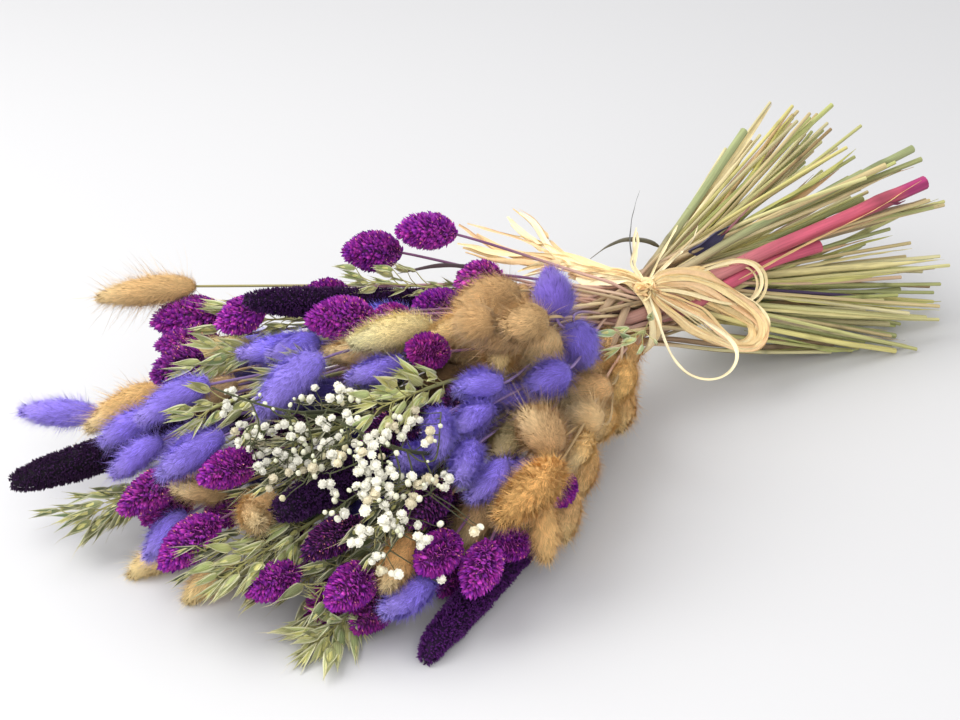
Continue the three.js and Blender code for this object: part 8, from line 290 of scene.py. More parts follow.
    (3.17, True, [(47.9,-56.4,83.7),(46.5,-53,84.8),(45.1,-49.8,85.6),(43.7,-46.7,86),(42.2,-43.5,86),(40.5,-40.2,85.8),(38.9,-36.6,85.7),(37.3,-33,85.8),(35.8,-29.2,86.4),(34.3,-25.7,86.7),(32.6,-22.1,87),(31,-18.6,87.4),(29.5,-15.1,87.6),(27.8,-11.8,87.3),(26,-8.8,86.3),(23.9,-5.8,85.1),(21.8,-2.7,83.7),(19.7,0.3,82.5),(17.7,3.3,81.5),(15.7,6.1,80.2),(13.6,8.7,78.6)]),
    (2.78, True, [(48.3,-56.5,84.1),(47,-53.5,85.5),(45.7,-50.4,86.7),(44.2,-47.3,87.6),(42.5,-44.2,88),(40.8,-41,88.2),(39.3,-37.6,88.4),(38,-34,88.6),(36.9,-30.3,88.8),(35.7,-26.7,88.6),(34.4,-23,88.2),(33.1,-19.3,88),(31.6,-15.8,87.7),(29.9,-12.5,87.3),(28,-9.5,86.5),(25.9,-6.6,85.5),(23.8,-3.7,84.3),(21.7,-0.8,83.3),(19.7,2.1,82.3),(17.6,4.9,81.1)]),
    (3.11, True, [(48.2,-56.4,84.1),(46.7,-53.3,85.6),(45.2,-50.3,86.9),(43.6,-47.2,87.9),(41.8,-44.1,88.5),(39.9,-40.9,88.6),(38.1,-37.5,88.7),(36.6,-33.9,88.9),(35.4,-30.1,89),(34.3,-26.3,89.1),(33.3,-22.3,89.2),(32.3,-18.4,89.4),(31.1,-14.5,89.6),(29.5,-10.7,89.5),(27.5,-7.2,89),(25.4,-4,88.2),(23.1,-0.9,87.3),(20.7,2.1,86.4),(18.2,4.9,85.2),(15.7,7.6,83.7)]),
    (3.16, True, [(48.7,-56.6,84.7),(47.6,-53.4,86.4),(46.3,-50.2,87.9),(44.8,-46.9,89),(42.9,-43.6,89.5),(41,-40.3,89.4),(39.2,-37,89.2),(37.7,-33.5,88.9),(36.3,-29.9,88.4),(35.1,-26.1,88.2),(34.2,-22.1,88.3),(33.2,-18.2,88.4),(32,-14.4,88.6),(30.5,-10.7,88.5),(28.5,-7.3,87.9),(26.4,-4.2,87.1),(24.1,-1.2,86.1),(21.9,1.8,85.2),(19.6,5,84.3),(17.3,7.9,83.1),(14.9,10.7,81.5)]),
    (3.56, True, [(47.6,-57,82.5),(46.4,-55,82.7),(45.3,-53,83),(44.3,-51,83.4),(43.4,-49,83.9),(42.5,-47.2,83.9),(41.4,-45.4,83.7),(40.3,-43.5,83.3),(39.2,-41.5,83.2),(38.1,-39.4,83),(37,-37.3,82.7),(35.9,-35.3,82.4),(34.8,-33.2,82.1),(33.6,-31.3,81.5),(32.1,-29.5,80.3),(30.6,-27.5,79.2),(29.1,-25.5,78.3),(27.8,-23.2,77.9),(27.2,-20.6,78.8),(26.7,-18.1,79.7)]),
    (3.42, True, [(48.2,-57.1,83.2),(47.4,-55.1,83.7),(46.5,-53.1,84.2),(45.7,-51,84.6),(44.9,-49,84.9),(44.2,-46.9,85.1),(43.5,-44.7,85.2),(42.8,-42.5,85.2),(42,-40.2,85.2),(41.3,-37.9,85.1),(40.5,-35.7,84.9),(39.6,-33.5,84.8),(38.7,-31.3,84.7),(37.6,-29.3,84.4),(36.3,-27.5,83.8),(35,-25.8,83.2),(33.7,-23.9,82.7),(32.5,-22,82.3),(31.4,-20,81.9),(30.3,-18,81.6),(29.3,-15.9,81.2)]),
    (5.49, True, [(48.3,-57.1,83.3),(47.4,-55.3,84),(46.4,-53.4,84.7),(45.5,-51.5,85.3),(44.5,-49.6,85.8),(43.4,-47.7,85.9),(42.2,-45.9,85.6),(41,-44.1,85.1),(39.8,-42.3,84.6),(38.5,-40.5,84.1),(37.4,-38.6,83.6),(36.2,-36.8,83.1),(35,-34.9,82.7),(33.9,-33,82.3),(32.8,-31,82.2),(31.8,-28.9,82.1),(30.8,-26.8,82.1),(29.9,-24.6,82.3),(29.3,-22.3,82.9)]),
    (3.78, True, [(48.4,-57.1,83.6),(47.7,-55.1,84.4),(47.1,-53.2,85.4),(46.4,-51.1,86.3),(45.7,-49,87.2),(44.8,-46.8,88),(43.8,-44.5,88.5),(42.8,-42.3,88.9),(41.8,-40.1,88.8),(40.8,-38.1,88.3),(39.8,-36,87.6),(38.9,-33.8,86.9),(37.9,-31.7,86.1),(36.9,-29.7,85.3),(35.8,-27.8,84.6),(34.5,-25.9,83.9),(33.3,-24.1,83.3),(32.1,-22.2,83),(31.2,-20.1,83.1),(30.3,-18,83.3),(29.4,-15.8,83.4)]),
    (2.03, True, [(49,-57.2,84.1),(49,-56,85.2),(49,-54.7,86.3),(49,-53.5,87.4),(49,-52.2,88.5),(49,-51,89.6),(48.9,-49.7,90.7),(48.8,-48.5,91.9),(49,-47.3,93.2),(49.6,-46.6,94.7),(50.4,-46.3,96.1),(51.4,-46.1,97.5),(52.4,-46,98.9),(53.3,-45.7,100.3),(53.8,-45.1,101.7),(54.4,-44.5,103.2),(54.9,-43.9,104.6),(55.5,-43.3,106.1),(56.4,-43.1,107.5),(57.2,-42.9,108.9),(58.1,-42.6,110.4),(58.9,-42.3,111.8)]),
    (1.9, True, [(49.5,-57.7,84.3),(49.5,-56.6,85.4),(49.4,-55.5,86.5),(49.4,-54.4,87.6),(49.4,-53.4,88.7),(49.3,-52.3,89.8),(49.2,-51.3,90.9),(49.2,-50.3,92),(49.4,-49.6,93.1),(49.8,-49,94.3),(50.4,-48.7,95.5),(51.1,-48.4,96.8),(51.8,-48.2,98.1),(52.5,-47.9,99.4),(53.2,-47.6,100.8),(53.9,-47.3,102.1),(54.6,-46.9,103.5),(55.3,-46.6,104.9),(55.7,-46,106.3),(56.2,-45.4,107.7),(56.7,-44.9,109),(57.1,-44.3,110.4)]),
    (1.8, True, [(51.1,-58.6,85.2),(53.8,-58.5,85.7),(56.6,-58.4,86.2),(59.3,-58.4,86.7),(62.1,-58.2,87.2),(64.9,-58.1,87.7),(67.7,-57.8,88.3),(70.6,-57.5,88.9),(73.5,-57.1,89.4),(76.4,-56.8,90),(79.3,-56.5,90.5),(82.2,-56.3,91),(85.1,-56.2,91.4),(88.1,-56,91.8),(91.1,-55.7,92.3),(94.1,-55.3,92.9),(96.9,-54.8,93.6),(99.6,-54.2,94.5),(102.1,-53.4,95.5),(104.3,-52.5,96.8),(106.3,-51.6,98.1),(108.3,-50.6,99.5)]),
    (1.72, True, [(53,-57.5,82.9),(55.1,-56.6,83.8),(57.2,-55.7,84.6),(59.2,-54.9,85.5),(61.2,-54.2,86.4),(63.1,-53.5,87.4),(65.1,-52.8,88.3),(67.1,-52.1,89.2),(69.3,-51.4,90),(71.5,-50.7,90.8),(73.8,-49.9,91.5),(76.2,-49.2,92.3),(78.5,-48.4,93),(80.8,-47.8,93.7),(83,-47.2,94.6),(85,-46.7,95.4),(87,-46.3,96.4),(88.9,-45.9,97.4),(90.7,-45.5,98.4),(92.6,-45.1,99.5),(94.4,-44.6,100.5),(96.3,-44.2,101.6)]),
]
# small white flowers: place, size, and a factor of painted shade that darkens flowers deep in the sprays
BLOOMS = [
    ("gypsophila_02",-193.7,-59.4,112.6,0.92,0.92),
    ("gypsophila_02",-179.1,-50,101.7,0.76,1),
    ("gypsophila_02",-198.8,-57.6,109,0.84,0.92),
    ("gypsophila_02",-192.8,-59.8,104.4,0.38,0.92),
    ("gypsophila_02",-190.6,-63.7,107.3,0.5,1),
    ("gypsophila_02",-187.8,-66,106.3,0.42,1),
    ("gypsophila_02",-193.4,-37.2,98.4,0.84,0.92),
    ("gypsophila_02",-192.2,-39.3,104.9,0.76,0.92),
    ("gypsophila_02",-198.3,-35.8,100.3,0.59,0.92),
    ("gypsophila_02",-242.4,-32.2,111.9,0.92,0.84),
    ("gypsophila_02",-238,-31.5,119.1,0.76,0.92),
    ("gypsophila_02",-221.2,-48.4,100.1,0.84,0.84),
    ("gypsophila_02",-215.8,-53.8,98,1.05,0.84),
    ("gypsophila_02",-223,-55.1,96.5,0.84,0.84),
    ("gypsophila_02",-217.7,-56.8,92.5,0.84,0.84),
    ("gypsophila_02",-233,-56.3,92.4,0.92,0.84),
    ("gypsophila_02",-224.8,-59,90.8,0.42,0.84),
    ("gypsophila_02",-220.6,-60.9,88.9,0.34,0.84),
    ("gypsophila_02",-206.4,-58.7,99.8,0.92,0.84),
    ("gypsophila_02",-221.8,-83.9,117.5,0.67,0.92),
    ("gypsophila_02",-195,-65,101.2,0.92,1),
    ("gypsophila_01",-210.8,-84.5,111.3,0.76,1),
    ("gypsophila_01",-207.6,-86.4,112.5,0.59,1),
    ("gypsophila_02",-221.3,-38.7,91.1,1.01,0.84),
    ("gypsophila_02",-225.6,-34.5,86.5,1.01,0.84),
    ("gypsophila_02",-227.1,-33,91.3,0.84,0.84),
    ("gypsophila_02",-219.8,-40.4,87.4,0.84,0.84),
    ("gypsophila_02",-226.1,-31.9,77.1,0.84,0.84),
    ("gypsophila_02",-222.8,-33.4,81.1,0.76,0.84),
    ("gypsophila_02",-228.2,-43.6,85.6,0.76,0.84),
    ("gypsophila_02",-241.3,-35.3,99.2,0.84,0.84),
    ("gypsophila_02",-241.2,-37.3,94.4,0.76,0.84),
    ("gypsophila_02",-236.1,-38.1,95.3,0.5,0.84),
    ("gypsophila_02",-228.7,-27.6,94.6,0.67,0.84),
    ("gypsophila_02",-242,-40.3,105.2,0.76,0.84),
    ("gypsophila_02",-241.9,-52.1,86.6,0.97,0.84),
    ("gypsophila_02",-231.3,-45.7,81.7,0.84,0.84),
    ("gypsophila_02",-239.3,-59,81.3,0.92,0.84),
    ("gypsophila_02",-241.8,-59.1,77.3,0.67,0.84),
    ("gypsophila_02",-224.1,-60.4,85.5,0.84,0.84),
    ("gypsophila_02",-232.7,-63.8,84.1,0.76,0.84),
    ("gypsophila_02",-229.4,-66.7,83.4,0.42,0.84),
    ("gypsophila_02",-220.5,-67.6,82.6,1.01,0.84),
    ("gypsophila_01",-214.1,-66.4,79.3,0.59,0.84),
    ("gypsophila_02",-214.7,-57.3,78.6,0.67,0.84),
    ("gypsophila_02",-224,-72.6,81.5,0.34,0.84),
    ("gypsophila_02",-221.1,-48.4,75.8,0.67,0.84),
    ("gypsophila_01",-218,-78.5,93.5,0.97,0.92),
    ("gypsophila_01",-214.9,-82.1,92.7,0.92,0.92),
    ("gypsophila_01",-209.4,-62.7,82.3,0.5,0.92),
    ("gypsophila_01",-210,-71.7,82.4,0.76,0.92),
    ("gypsophila_01",-205.8,-94.3,99.7,1.01,1),
    ("gypsophila_01",-212,-93.8,98.5,0.84,1),
    ("gypsophila_01",-209.1,-97.1,97.2,0.76,1),
    ("gypsophila_01",-213.1,-94.8,93.4,0.84,1),
    ("gypsophila_01",-208.3,-98.3,91.8,1.01,1),
    ("gypsophila_01",-212.8,-91.3,87.2,1.01,1),
    ("gypsophila_01",-202.7,-102.7,88.3,0.92,1),
    ("gypsophila_01",-196.3,-91.1,76.8,0.76,1),
    ("gypsophila_01",-210,-100.9,84.3,0.92,1),
    ("gypsophila_01",-215.2,-98.2,82.7,0.92,1),
    ("gypsophila_01",-217.2,-98.4,79,1.01,1),
    ("gypsophila_01",-212.7,-102.3,79.1,1.01,1),
    ("gypsophila_01",-205.1,-104.3,80.7,0.84,1),
    ("gypsophila_01",-204.9,-108.6,76.8,0.59,1),
    ("gypsophila_01",-189.9,-93,103.5,0.76,1),
    ("gypsophila_01",-197,-95.1,103.2,0.92,1),
    ("gypsophila_01",-199.2,-95,100.4,0.76,1),
    ("gypsophila_01",-187.6,-95.7,97.5,0.84,1),
    ("gypsophila_01",-170.9,-85.8,95,0.92,1),
    ("gypsophila_01",-162.4,-79.8,95.8,0.84,1),
    ("gypsophila_01",-173.6,-101.2,97,0.92,1),
    ("gypsophila_01",-177.9,-101.8,92.1,0.76,1),
    ("gypsophila_01",-196.5,-101.2,94.3,0.42,1),
    ("gypsophila_01",-175.8,-79.2,97.3,0.59,1),
    ("gypsophila_01",-185.7,-92.8,105.8,0.42,1),
    ("gypsophila_01",-194.9,-109.4,83.9,0.92,1),
    ("gypsophila_01",-192.9,-111.9,79.3,0.92,1),
    ("gypsophila_01",-184.4,-109.6,77.8,1.01,1),
    ("gypsophila_01",-181.5,-111.9,76.1,0.67,1),
    ("gypsophila_01",-175.6,-115.8,76.9,0.92,1),
    ("gypsophila_01",-184.5,-119.4,77.3,0.42,1),
    ("gypsophila_01",-189.2,-111.6,76.6,0.67,1),
    ("gypsophila_01",-198.9,-111.1,82.6,0.59,1),
    ("gypsophila_01",-197.9,-113.9,75.8,0.76,1),
    ("gypsophila_01",-198.3,-117.7,76.3,0.59,1),
    ("gypsophila_01",-199.8,-113.5,72.8,1.01,1),
    ("gypsophila_01",-211.4,-107.1,74,0.92,1),
    ("gypsophila_01",-221.4,-104.3,74.7,1.05,1),
    ("gypsophila_01",-207.9,-115.4,70.8,0.92,1),
    ("gypsophila_01",-205.6,-114.6,66.5,0.76,1),
    ("gypsophila_01",-218,-113.1,71.3,1.01,1),
    ("gypsophila_01",-213.2,-113.8,66.9,0.76,1),
    ("gypsophila_01",-210.6,-115.6,63.6,1.05,1),
    ("gypsophila_01",-226.3,-105.6,66.7,1.01,1),
    ("gypsophila_01",-223.5,-109,66.4,0.84,1),
    ("gypsophila_01",-231.4,-104.5,62,0.76,1),
    ("gypsophila_01",-231.6,-109.9,64.1,0.84,1),
    ("gypsophila_01",-224.3,-83.5,82,0.92,0.92),
    ("gypsophila_01",-227.4,-91.3,80.7,0.42,0.92),
    ("gypsophila_01",-227.1,-89.6,76.5,0.5,0.92),
    ("gypsophila_01",-231.2,-91.5,72.2,0.42,0.92),
    ("gypsophila_01",-229.4,-98.3,74.3,0.92,0.92),
    ("gypsophila_01",-232.4,-96.3,72.1,0.42,0.92),
    ("gypsophila_01",-234.5,-90.5,73.8,0.25,0.92),
    ("gypsophila_01",-202.6,-120.6,64.9,0.76,1),
    ("gypsophila_01",-206.7,-124.6,62,0.92,1),
    ("gypsophila_01",-204.5,-128,60.6,0.92,1),
    ("gypsophila_01",-192.4,-125.7,62.8,0.59,1),
    ("gypsophila_01",-224.6,-114.9,55.4,0.84,1),
    ("gypsophila_01",-228.3,-120.7,51.4,0.92,1),
    ("gypsophila_01",-221.1,-125.7,48.2,0.92,1),
    ("gypsophila_01",-199.7,-133.5,38.2,0.84,1),
    ("gypsophila_01",-184.4,-140.8,61.4,0.92,1),
    ("gypsophila_01",-179.3,-139.8,61.4,0.59,1),
    ("gypsophila_02",-241.2,-67.9,75.1,0.59,0.84),
    ("gypsophila_01",-205.3,-63.5,89.4,0.76,0.92),
    ("gypsophila_01",-203.2,-67.4,92.9,0.67,0.92),
    ("gypsophila_01",-201,-76.9,92,0.76,1),
    ("gypsophila_01",-190.1,-79.6,94.1,0.76,1),
    ("gypsophila_01",-193.5,-87.4,85.4,0.67,1),
    ("gypsophila_01",-210.6,-89.5,97.5,0.5,1),
    ("gypsophila_01",-216.8,-95.3,83.2,0.42,1),
    ("gypsophila_01",-198.9,-107.5,73.6,0.5,1),
    ("gypsophila_02",-205,-47.3,87.6,0.59,0.84),
    ("gypsophila_02",-204.9,-51.9,84.6,0.67,0.84),
    ("gypsophila_01",-208.6,-62.2,89.4,0.67,0.92),
    ("gypsophila_02",-209,-51.3,81.3,0.59,0.84),
    ("gypsophila_02",-222.7,-35.6,94.3,0.76,0.84),
    ("gypsophila_02",-227.6,-28.9,81.3,0.76,0.84),
    ("gypsophila_02",-224.7,-49.2,81.6,0.67,0.84),
    ("gypsophila_02",-219.3,-50.3,79.7,0.59,0.84),
    ("gypsophila_02",-216.9,-55.9,75.2,0.67,0.84),
    ("gypsophila_01",-175.8,-87.2,93.8,0.67,1),
    ("gypsophila_01",-163.7,-84.4,92.4,0.67,1),
    ("gypsophila_01",-206,-75,90.6,0.59,1),
    ("gypsophila_01",-201.4,-99.7,71.4,0.67,1),
    ("gypsophila_01",-188.2,-95.6,75.1,0.59,1),
]
# narrow loose leaves: name, width, tint, route
LEAVES = [
    ("leaf_dark_1", 3.2, (84,66,70), [(-8.7,3.5,91.8),(-16.5,10.4,94.8),(-25.5,14.7,97.8),(-39.3,22.1,100.8),(-53.2,26,101.8),(-66.4,30.5,101.8)], {"slot": "canary_grass", "curl": 0.9, "twist": 0.8}),
    ("leaf_dark_2", 4.4, (98,92,72), [(104.8,-28.7,77.8),(98.6,-26.3,83.8),(86.5,-24.1,89.8),(70.9,-22.5,93.8),(56.6,-22,93.8),(43.9,-20.4,89.8)], {"slot": "oat", "curl": 1.1, "twist": 1.6, "point": 1.6}),
    ("leaf_dark_3", 1.1, (86,86,84), [(62,-39.4,83.8),(72.1,-27.9,91.8),(84.7,-18.1,97.8),(99.1,-9.4,103.8),(112,-2.7,107.8)], {"slot": "oat", "point": 1.2, "curl": 0.3}),
    ("leaf_violet", 12, (58,52,84), [(101.2,-49.5,84.8),(108.9,-52.4,87.1),(117.1,-55.1,90.5),(125.4,-57.7,93.9),(132.4,-59.8,96.2)], {"slot": "canary_grass", "curl": 1.2, "twist": 0.5, "turn": 0.1}),
    ("leaf_rust", 6, (126,66,76), [(120.8,-58.3,91),(128.3,-59.9,95.6),(145.8,-54.6,95),(159.8,-51.9,96.5)], {"slot": "canary_grass", "curl": 1, "twist": 0.8}),
    ("strip_tan", 2.6, (226,186,128), [(115.7,-77.5,69.9),(145,-84.7,76.1),(172.2,-91.8,81.7),(199.3,-99,86.6),(224.6,-105.4,91.7),(244.7,-109.7,97.2),(258.7,-112.8,100.7)], {"slot": "oat", "curl": 0.8, "twist": 0.3, "point": 6}),
    ("strip_dark", 4.2, (112,34,70), [(229.4,-105.5,93.1),(234.2,-107.9,91.9),(239.4,-110.1,91.1),(244,-111.5,91.5)], {"slot": "oat", "curl": 1.2, "twist": 0.8, "point": 3}),
    ("sheath_00", 4.6, (196,190,116), [(141,-84.2,51.9),(169.8,-100.9,44),(195.4,-115.3,36.8),(226.3,-131.8,29),(247,-142.9,23.8)], {"slot": "natural_bunny_tail", "curl": 1.3, "twist": -0.01, "turn": 0.5, "point": 3}),
    ("sheath_01", 6.6, (216,204,144), [(115.5,-62.5,64.7),(154.6,-80,60),(193.7,-97.6,55.8),(232.6,-115.2,51.1),(268.3,-130.6,48.3)], {"slot": "natural_bunny_tail", "curl": 1.3, "twist": 1.58, "turn": 2.41, "point": 3}),
    ("sheath_02", 6, (178,176,102), [(141,-48.8,85.1),(169.6,-55.1,92.7),(194.4,-60.7,98.4),(224.2,-67.4,106.9),(244.7,-71.8,115.3)], {"slot": "natural_bunny_tail", "curl": 1.3, "twist": 0.3, "turn": 1.04, "point": 3}),
    ("sheath_03", 6.5, (206,172,130), [(113.1,-37.6,65),(148,-43,72.4),(182.6,-48.3,81.4),(217.7,-54,88),(248.8,-58.6,96.5)], {"slot": "natural_bunny_tail", "curl": 1.3, "twist": -0.47, "turn": 0.12, "point": 3}),
    ("sheath_04", 4.6, (186,192,120), [(140.4,-42.2,58.1),(168.3,-44.1,58.9),(193.4,-44.4,59.1),(222.6,-47.6,60.7),(242.2,-49.3,61.5)], {"slot": "natural_bunny_tail", "curl": 1.3, "twist": -0.05, "turn": 1.45, "point": 3}),
    ("sheath_05", 5.1, (222,206,158), [(119.3,-31.4,59.7),(160.5,-25.5,64.7),(201.5,-19.8,69.6),(242.9,-13.5,74.7),(279.6,-9.1,78.4)], {"slot": "natural_bunny_tail", "curl": 1.3, "twist": -0.19, "turn": 1.24, "point": 3}),
    ("sheath_06", 5.3, (204,196,112), [(136.9,-74.1,37.1),(166.1,-79.9,28.7),(191.6,-85.4,20.9),(221.9,-92.3,10.9),(242.2,-96.5,3.7)], {"slot": "natural_bunny_tail", "curl": 1.3, "twist": -0.72, "turn": 0.91, "point": 3}),
    ("sheath_07", 5.5, (168,150,120), [(111,-49,35.8),(145.4,-43.6,26.9),(179.9,-38.8,17.5),(214.5,-34.4,7.6),(245.4,-29.4,2)], {"slot": "natural_bunny_tail", "curl": 1.3, "twist": -0.03, "turn": 0.11, "point": 3}),
    ("sheath_08", 3.8, (196,190,116), [(137.6,-65.2,39.9),(165.8,-69,32),(190.6,-72.2,25.6),(221.8,-75.4,15),(241.9,-77.6,9.8)], {"slot": "natural_bunny_tail", "curl": 1.3, "twist": 0.6, "turn": 2.52, "point": 3}),
    ("sheath_09", 4.2, (216,204,144), [(112,-46.4,39.9),(148.1,-45.6,29.9),(183.9,-44.4,18.8),(220.3,-44.1,9.5),(252.4,-43.5,2)], {"slot": "natural_bunny_tail", "curl": 1.3, "twist": 0.58, "turn": 1.56, "point": 3}),
    ("sheath_10", 6.7, (178,176,102), [(146.5,-1.9,60.1),(178.2,9,65),(205.5,18.6,69.9),(238.8,30.2,75.1),(259.1,37.8,80.4)], {"slot": "natural_bunny_tail", "curl": 1.3, "twist": 1.03, "turn": 0.93, "point": 3}),
    ("sheath_11", 4.4, (206,172,130), [(117.1,-26.4,45.9),(158.6,-12.8,49),(200.2,0.4,51.9),(242,13.4,54.9),(279.7,24.7,58)], {"slot": "natural_bunny_tail", "curl": 1.3, "twist": 0.76, "turn": 2.49, "point": 3}),
    ("sheath_12", 5, (186,192,120), [(145,-9.3,42.1),(176.1,3.5,41.7),(203.4,15.6,42.9),(236.5,28.3,40.6),(258.3,38.3,42.5)], {"slot": "natural_bunny_tail", "curl": 1.3, "twist": 0.54, "turn": 1.99, "point": 3}),
    ("sheath_13", 6.5, (222,206,158), [(117.5,-18,67.2),(159.1,-9.2,79.7),(200.4,0.2,91.4),(242.3,8.8,103.5),(279.6,17.3,113.6)], {"slot": "natural_bunny_tail", "curl": 1.3, "twist": -1, "turn": 0.08, "point": 3}),
    ("sheath_14", 3.9, (204,196,112), [(153.9,-22.2,71),(188.7,-17.2,81.7),(219.3,-12.3,91.7),(255.7,-4.8,105.8),(279.9,-2.1,113.7)], {"slot": "natural_bunny_tail", "curl": 1.3, "twist": 1.05, "turn": 1.25, "point": 3}),
    ("sheath_15", 6.5, (168,150,120), [(113.1,-53.6,73.4),(150.4,-68.5,76.9),(187.7,-85,80.3),(225.2,-99,84.2),(258.7,-114,87.5)], {"slot": "violet_bunny_tail", "curl": 1.3, "twist": 0.78, "turn": 1.42, "point": 3}),
    ("sheath_16", 6.5, (196,190,116), [(132,-76.7,63.9),(156.8,-90.4,59.1),(178.3,-102.6,57.5),(204.7,-117,55.3),(222.3,-126.5,53.7)], {"slot": "violet_bunny_tail", "curl": 1.3, "twist": 0.99, "turn": 0.1, "point": 3}),
    ("sheath_17", 6.6, (216,204,144), [(113,-59.2,62.1),(149.1,-72.5,61.2),(185.7,-86.2,59.8),(221.9,-99.7,57.9),(254.9,-113.9,55.2)], {"slot": "violet_bunny_tail", "curl": 1.3, "twist": 0.78, "turn": 0.55, "point": 3}),
    ("sheath_18", 4.1, (178,176,102), [(156.2,-52.8,35.2),(191.2,-55.1,26.3),(222,-56.5,18.4),(259,-58.4,7.7),(283.5,-59.4,2)], {"slot": "violet_bunny_tail", "curl": 1.3, "twist": -1.26, "turn": 2.33, "point": 3}),
    ("sheath_19", 6, (206,172,130), [(114.4,-58.6,46.2),(153.3,-69.3,37.1),(192.3,-78.7,27.7),(231.4,-86.3,17.9),(266.4,-96.6,9.5)], {"slot": "violet_bunny_tail", "curl": 1.3, "twist": -0.15, "turn": 2.77, "point": 3}),
    ("sheath_20", 4.5, (186,192,120), [(143.6,-49.3,68.1),(174.7,-56.7,71.5),(201.6,-62.1,74.3),(234.7,-69.5,79),(255.5,-71.6,80.7)], {"slot": "violet_bunny_tail", "curl": 1.3, "twist": 0.74, "turn": 0.36, "point": 3}),
    ("sheath_21", 4.3, (222,206,158), [(109,-21.7,68.1),(143,-15.9,78.1),(176.4,-10.4,88.9),(211.4,-3.7,96.6),(242.1,1.8,105)], {"slot": "violet_bunny_tail", "curl": 1.3, "twist": 0.72, "turn": 0.74, "point": 3}),
    ("sheath_22", 3.5, (204,196,112), [(139.1,-24.1,38),(167.2,-15.6,34.4),(192.1,-8.6,30.7),(221.7,1.3,27.7),(241.6,7,24.8)], {"slot": "violet_bunny_tail", "curl": 1.3, "twist": 0.96, "turn": 0.65, "point": 3}),
    ("sheath_23", 3.6, (168,150,120), [(115.8,-31.7,42.3),(154.8,-22.2,38.8),(194,-11.7,35.1),(233.1,-2.1,31.2),(268.4,7.2,27.7)], {"slot": "violet_bunny_tail", "curl": 1.3, "twist": 0.14, "turn": 1.52, "point": 3}),
    ("sheath_24", 4.5, (196,190,116), [(144,-28,44.7),(174.3,-22.1,42.8),(201.1,-16.8,41),(233.3,-10.3,38.6),(254.6,-6.3,37.3)], {"slot": "violet_bunny_tail", "curl": 1.3, "twist": -1.83, "turn": 1.68, "point": 3}),
    ("sheath_25", 6.2, (216,204,144), [(110.8,-39.4,49.5),(143.5,-38.7,47.6),(176.7,-37.4,46.8),(209,-37.8,43.6),(239.3,-35.8,43.8)], {"slot": "violet_bunny_tail", "curl": 1.3, "twist": 1.01, "turn": 0.94, "point": 3}),
    ("sheath_26", 4.2, (178,176,102), [(136.9,-19.9,41.6),(164.3,-9.2,40.3),(188.6,0.1,40.2),(217.6,11.3,37.7),(237,18.7,37.1)], {"slot": "violet_bunny_tail", "curl": 1.3, "twist": -0.65, "turn": 2.47, "point": 3}),
    ("sheath_27", 3.7, (206,172,130), [(118.8,-37.2,50.7),(161.3,-32.4,55),(203.9,-26.6,59.6),(246.3,-22,65.3),(284.4,-17.2,70.4)], {"slot": "violet_bunny_tail", "curl": 1.3, "twist": 0.78, "turn": 0.66, "point": 3}),
    ("sheath_28", 5.9, (186,192,120), [(157.3,-25.7,64.7),(193.5,-21.9,70.4),(225.6,-17.8,75),(263.8,-13.3,80.3),(289.3,-10.1,83.9)], {"slot": "violet_bunny_tail", "curl": 1.3, "twist": 0.8, "turn": 2.73, "point": 3}),
    ("sheath_29", 6.2, (222,206,158), [(110.7,-63.1,41.4),(147.5,-76.8,29.5),(184.8,-90.6,19.4),(222.6,-103.3,11.7),(256.8,-115.3,5.1)], {"slot": "canary_grass", "curl": 1.3, "twist": 0.53, "turn": 0.78, "point": 3}),
    ("sheath_30", 4.4, (204,196,112), [(143.5,-68,42.5),(174.2,-72.5,32.6),(201.4,-76.4,24.7),(234.3,-81,14.3),(256.2,-84.2,5.6)], {"slot": "canary_grass", "curl": 1.3, "twist": 0.59, "turn": 2.45, "point": 3}),
    ("sheath_31", 6.6, (168,150,120), [(106.2,-61,60.7),(136.4,-77.7,53.2),(166.2,-95.3,45.4),(195.5,-113.8,36.2),(222,-129.8,28)], {"slot": "canary_grass", "curl": 1.3, "twist": -0.53, "turn": 2.12, "point": 3}),
    ("sheath_32", 4.5, (196,190,116), [(144.5,-56.5,35.1),(175.4,-60.1,28.4),(202.6,-63.4,21.7),(235.2,-67.6,13.6),(256.7,-70.8,6.3)], {"slot": "canary_grass", "curl": 1.3, "twist": 0.32, "turn": 2.92, "point": 3}),
    ("sheath_33", 6.5, (216,204,144), [(117.6,-57.2,53.1),(158.7,-60.6,45.7),(199.3,-63.6,36.4),(240,-69.4,26.5),(276.3,-73.6,16.5)], {"slot": "canary_grass", "curl": 1.3, "twist": -1.29, "turn": 0.11, "point": 3}),
    ("sheath_34", 6.6, (178,176,102), [(152.9,-78.4,46.2),(187.5,-91.4,37.1),(217.3,-102.8,28.6),(253,-116.8,18.5),(278.7,-126.7,13.1)], {"slot": "canary_grass", "curl": 1.3, "twist": -0.16, "turn": 2.15, "point": 3}),
    ("sheath_35", 3.5, (206,172,130), [(108.9,-52.9,61.5),(140.6,-64.6,62.5),(172.3,-75.7,63.4),(203.9,-88.4,64.3),(232.6,-97.4,65.2)], {"slot": "canary_grass", "curl": 1.3, "twist": 1.91, "turn": 1.56, "point": 3}),
    ("sheath_36", 6.5, (186,192,120), [(145.7,-50.6,65.3),(176.3,-55.7,68.3),(203.2,-59.2,70.9),(235.7,-64.7,74.1),(257.3,-68.4,76.2)], {"slot": "canary_grass", "curl": 1.3, "twist": -1.26, "turn": 0.93, "point": 3}),
    ("sheath_37", 5.5, (222,206,158), [(111,-31.4,64.6),(145,-31.9,71.4),(178.6,-30.2,78),(212.7,-30.8,84.7),(243.1,-30,90.6)], {"slot": "canary_grass", "curl": 1.3, "twist": -0.46, "turn": 1.07, "point": 3}),
